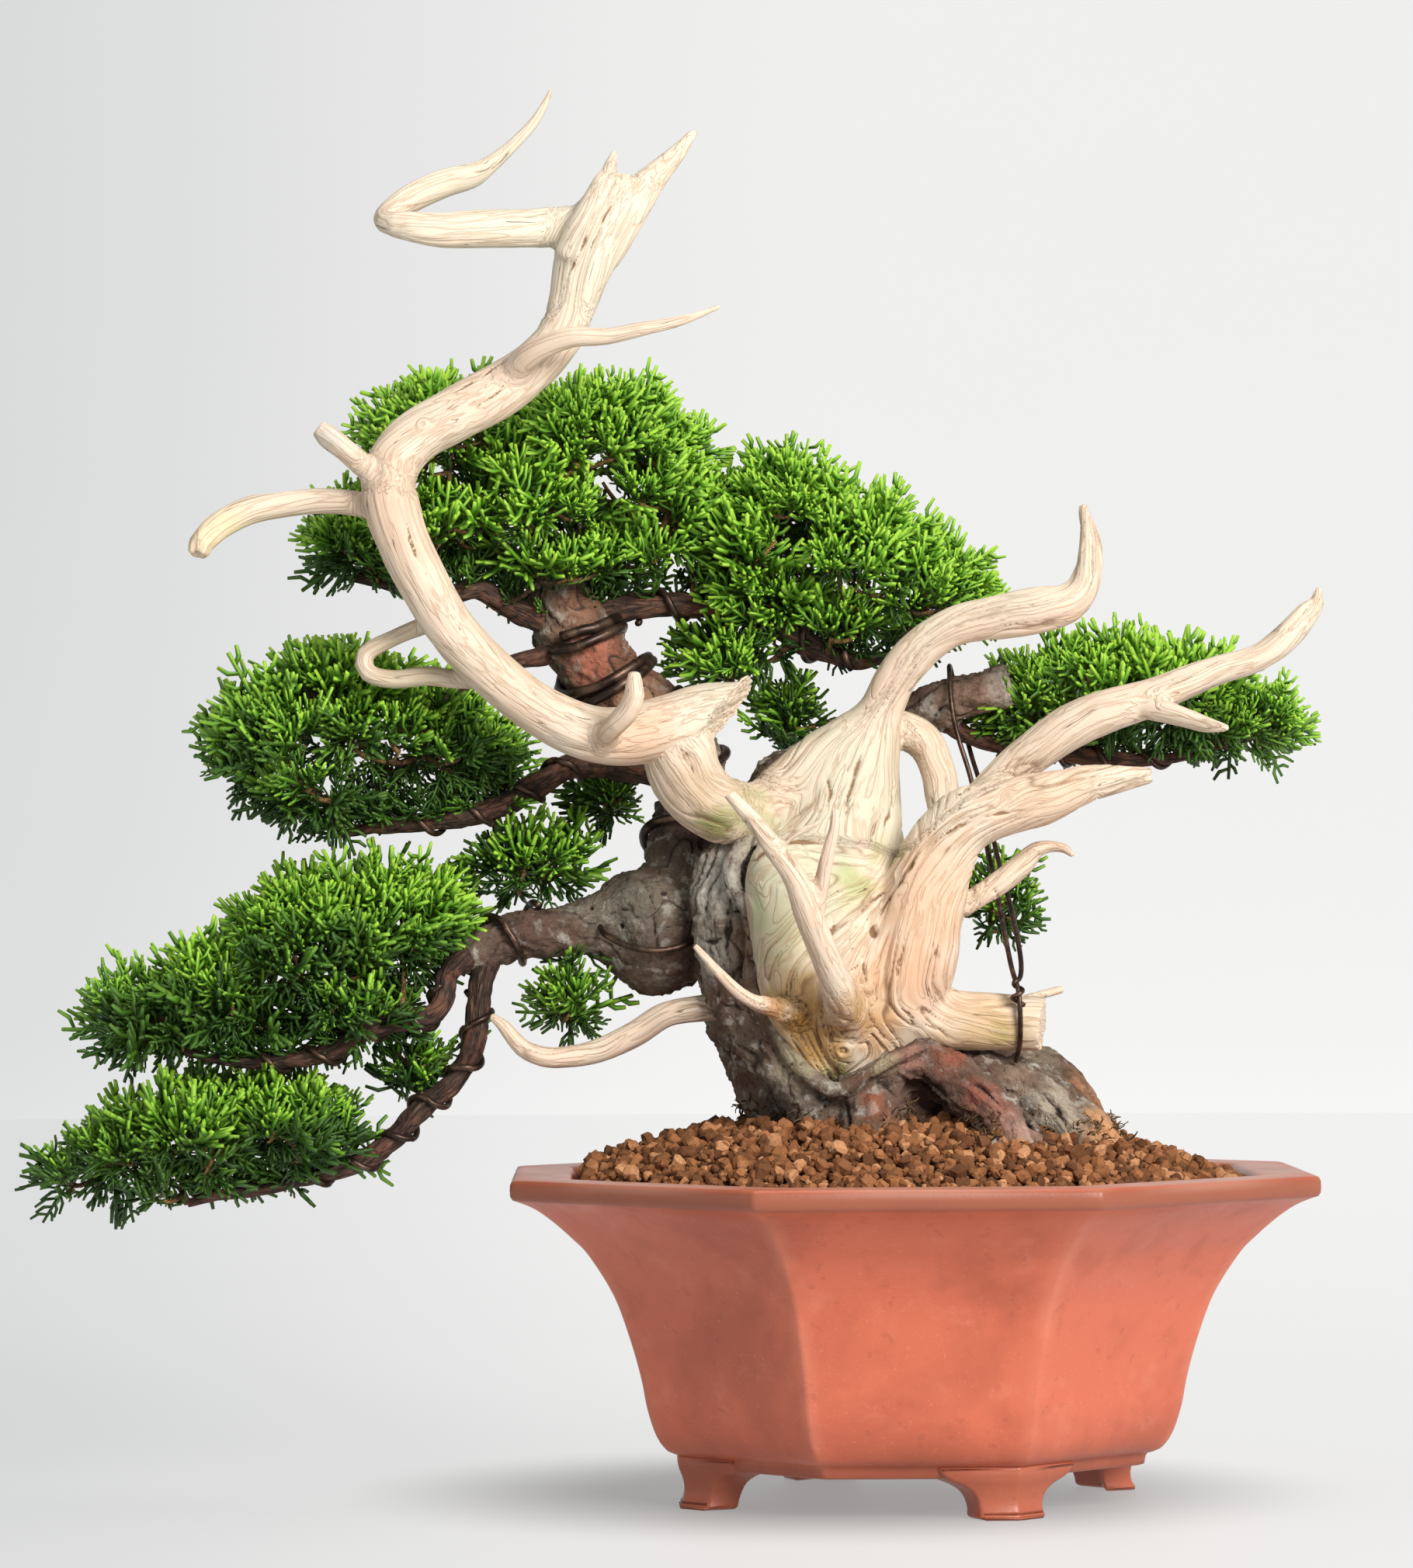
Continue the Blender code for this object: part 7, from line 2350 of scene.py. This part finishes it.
@dataclass
class Studio:
    """Camera, pale floor and soft light."""

    lens: float = 137.95
    eye: tuple[float, float, float] = (-63.0, -1900.0, 189.0)
    pitch: float = 1.1
    roll: float = 0.29
    floor_radius: float = 3.4
    wall_height: float = 3.0
    floor_paint: Colour = (0.07, 0.07, 0.07)
    left_tint: Colour = (0.675, 0.685, 0.685)
    right_tint: Colour = (0.86, 0.857, 0.85)
    stand_off: float = 1.9
    tint_reach: tuple[float, float] = (-0.142, 0.03)
    dim_middle: tuple[float, float, float] = (0.05, 0.02, 0.0)
    dim_reach: tuple[float, float] = (0.06, 0.17)
    dim_share: float = 0.55

    def camera(self) -> None:
        """Stand the camera where it sees the whole plant from the front."""
        data = bpy.data.cameras.new("view")
        data.lens = self.lens
        data.sensor_width = 36.0
        data.clip_start, data.clip_end = 0.05, 60.0
        camera = bpy.data.objects.new("view", data)
        bpy.context.scene.collection.objects.link(camera)
        place = placed(np.array(self.eye))
        tilt = Matrix.Rotation(math.radians(90 + self.pitch), 4, "X")
        lean = Matrix.Rotation(math.radians(-self.roll), 4, "Z")
        camera.matrix_world = Matrix.Translation(Vector(place)) @ tilt @ lean
        bpy.context.scene.camera = camera

    def stage(self, name: str, bm: bmesh.types.BMesh, finish: bpy.types.Material) -> bpy.types.Object:
        """Put a piece of the studio in place."""
        mesh = mesh_of(name, bm)
        mesh.polygons.foreach_set("use_smooth", [len(p.vertices) == 4 for p in mesh.polygons])
        mesh.materials.append(finish)
        stand = bpy.data.objects.new(name, mesh)
        bpy.context.scene.collection.objects.link(stand)
        return stand

    def finish(self, name: str, albedo: Colour, glow: float, low: float, high: float) -> bpy.types.Material:
        """Pale matt paint that glows away from the pot, as if lit by lamps of its own, and is dimmer on the left.

        Args:
            name: the material's name.
            albedo: its colour.
            glow: how much light it gives far out.
            low: where the glow starts, metres from the middle.
            high: where it is full.

        Returns:
            The material.
        """
        sheet, shader = start_finish(name)
        cloud = sheet.noise(sheet.own(), 3.0, 2.0)
        parts = sheet.add("ShaderNodeSeparateXYZ")
        sheet.put(parts.inputs[0], sheet.own())
        length = sheet.add("ShaderNodeVectorMath", operation="DISTANCE")
        sheet.put(length.inputs[0], sheet.own())
        length.inputs[1].default_value = self.dim_middle
        away = sheet.sum("ADD", sheet.sum("ABSOLUTE", parts.outputs["Y"]), self.stand_off)
        # painted shade: the glow is dimmer on the left
        warm = sheet.step(sheet.sum("DIVIDE", parts.outputs["X"], away), *self.tint_reach)
        tint = sheet.mix(warm, self.left_tint, self.right_tint)
        colour = sheet.cover(albedo, (0.6, 0.6, 0.6), cloud, 0.05)
        share = sheet.sum("MULTIPLY", sheet.step(length.outputs["Value"], low, high), glow)
        # painted shadow: the glow is dimmed round the pot
        dim = sheet.sum("MULTIPLY", sheet.step(length.outputs["Value"], *self.dim_reach), self.dim_share)
        near = sheet.sum("ADD", dim, 1 - self.dim_share)
        share = sheet.sum("MULTIPLY", share, near)
        shine = sheet.mix(share, (0.0, 0.0, 0.0), tint)
        sheet.feed(shader, Base_Color=colour, Roughness=0.6, Emission_Color=shine)
        shader.inputs["Emission Strength"].default_value = 1.0
        shader.inputs["Specular IOR Level"].default_value = 0.2
        return bpy.data.materials[name]

    def floor(self) -> None:
        """A pale floor, and a pale wall that curves up from it far off, all round."""
        bm = bmesh.new()
        bmesh.ops.create_circle(bm, cap_ends=True, segments=96, radius=self.floor_radius)
        self.stage("floor", bm, self.finish("pale_floor", self.floor_paint, 0.90, -9.0, 2.3))
        bm = bmesh.new()
        bmesh.ops.create_circle(bm, cap_ends=False, segments=96, radius=self.floor_radius)
        edges = bm.edges[:]
        radius, height = self.floor_radius, 0.0
        for k in range(1, 17):
            angle = math.pi / 2 * k / 16
            verts, edges = extruded(bm, edges)
            wide = self.floor_radius + self.wall_height * math.sin(angle)
            high = self.wall_height * (1 - math.cos(angle))
            bmesh.ops.scale(bm, vec=(wide / radius, wide / radius, 1), verts=verts)
            bmesh.ops.translate(bm, vec=(0, 0, high - height), verts=verts)
            radius, height = wide, high
        wall = self.stage("backdrop", bm, self.finish("pale_wall", (0.09, 0.09, 0.09), 0.965, -2.0, -1.0))
        wall.visible_diffuse = False

    def light(self, name: str, place: tuple[float, float, float], size: float, power: float, colour: Colour) -> None:
        """Hang one soft light that faces the tree.

        Args:
            name: the light's name.
            place: where it hangs, metres.
            size: how wide it is.
            power: watts.
            colour: its colour.
        """
        data = bpy.data.lights.new(name, "AREA")
        data.shape = "DISK"
        data.size, data.energy, data.color = size, power, colour
        lamp = bpy.data.objects.new(name, data)
        lamp.location = place
        lamp.rotation_mode = "QUATERNION"
        aim = Vector((0.0, 0.0, 0.2)) - Vector(place)
        lamp.rotation_quaternion = aim.to_track_quat("-Z", "Y")
        lamp.visible_camera = False
        bpy.context.scene.collection.objects.link(lamp)

    def build(self) -> None:
        """Set up the studio."""
        self.camera()
        self.floor()
        self.light("key", (1.16, -1.90, 1.24), 1.2, 77.0, (1.0, 0.975, 0.94))
        self.light("fill", (-1.8, -1.6, 1.1), 1.4, 4.4, (0.93, 0.96, 1.0))
        self.light("top", (-0.2, 0.3, 2.4), 1.6, 17.0, (1.0, 1.0, 1.0))
        world = bpy.data.worlds.new("studio")
        bpy.context.scene.world = world
        world.use_nodes = True
        world.node_tree.nodes["Background"].inputs[0].default_value = (0.93, 0.96, 1.0, 1)
        world.node_tree.nodes["Background"].inputs[1].default_value = 0.2
        bpy.context.scene.view_settings.view_transform = "Standard"


def dress_drainage(wire: bpy.types.Material, netting: bpy.types.Material) -> None:
    """Give the netting over the drainage holes and its clips their finishes."""
    for side in ("left", "right"):
        for node, finish in ((f"drain_screen_{side}", netting), (f"screen_clip_{side}", wire)):
            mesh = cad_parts[node].data
            mesh.materials.clear()
            mesh.materials.append(finish)


def main() -> None:
    """Build the tree, its pot and the studio."""
    logging.basicConfig(level=logging.INFO, format="%(message)s", stream=sys.stdout)
    Studio().build()
    wire = TrainingWire().material()
    deadwood = Deadwood().material()
    branch_bark = TwigBark("branch_bark", (0.055, 0.030, 0.022), (0.15, 0.065, 0.04), (0.20, 0.13, 0.085)).material()
    twig_bark = TwigBark("twig_bark_fine", (0.07, 0.04, 0.02), (0.20, 0.11, 0.045), (0.28, 0.19, 0.09)).material()
    dress_drainage(wire, ScreenWeave().material())
    Pot().build(Clay().material())
    soil = Soil()
    soil.build(
        Granules("baked_granules", (0.11, 0.045, 0.020), (0.40, 0.165, 0.065), (0.58, 0.30, 0.15)).material(),
        # painted shade: near black colours for the bed, standing for the shade between granules
        Granules("soil_under", (0.05, 0.02, 0.01), (0.10, 0.04, 0.018), (0.14, 0.06, 0.03)).material(),
    )
    DeadTrunk().build(deadwood)
    DeadArch().build(deadwood)
    trunk, branches = LiveTrunk(), Branches()
    rootlet = TwigBark("rootlet", (0.10, 0.05, 0.02), (0.34, 0.19, 0.08), (0.45, 0.31, 0.15)).material()
    trunk.build(TrunkBark().material(), soil, rootlet)
    branches.build(branch_bark)
    Wires(trunk, branches).build(wire)
    Foliage(foliage_pads(trunk, branches), 29).build(Shoots().material(), twig_bark)


if __name__ == "__main__":
    main()
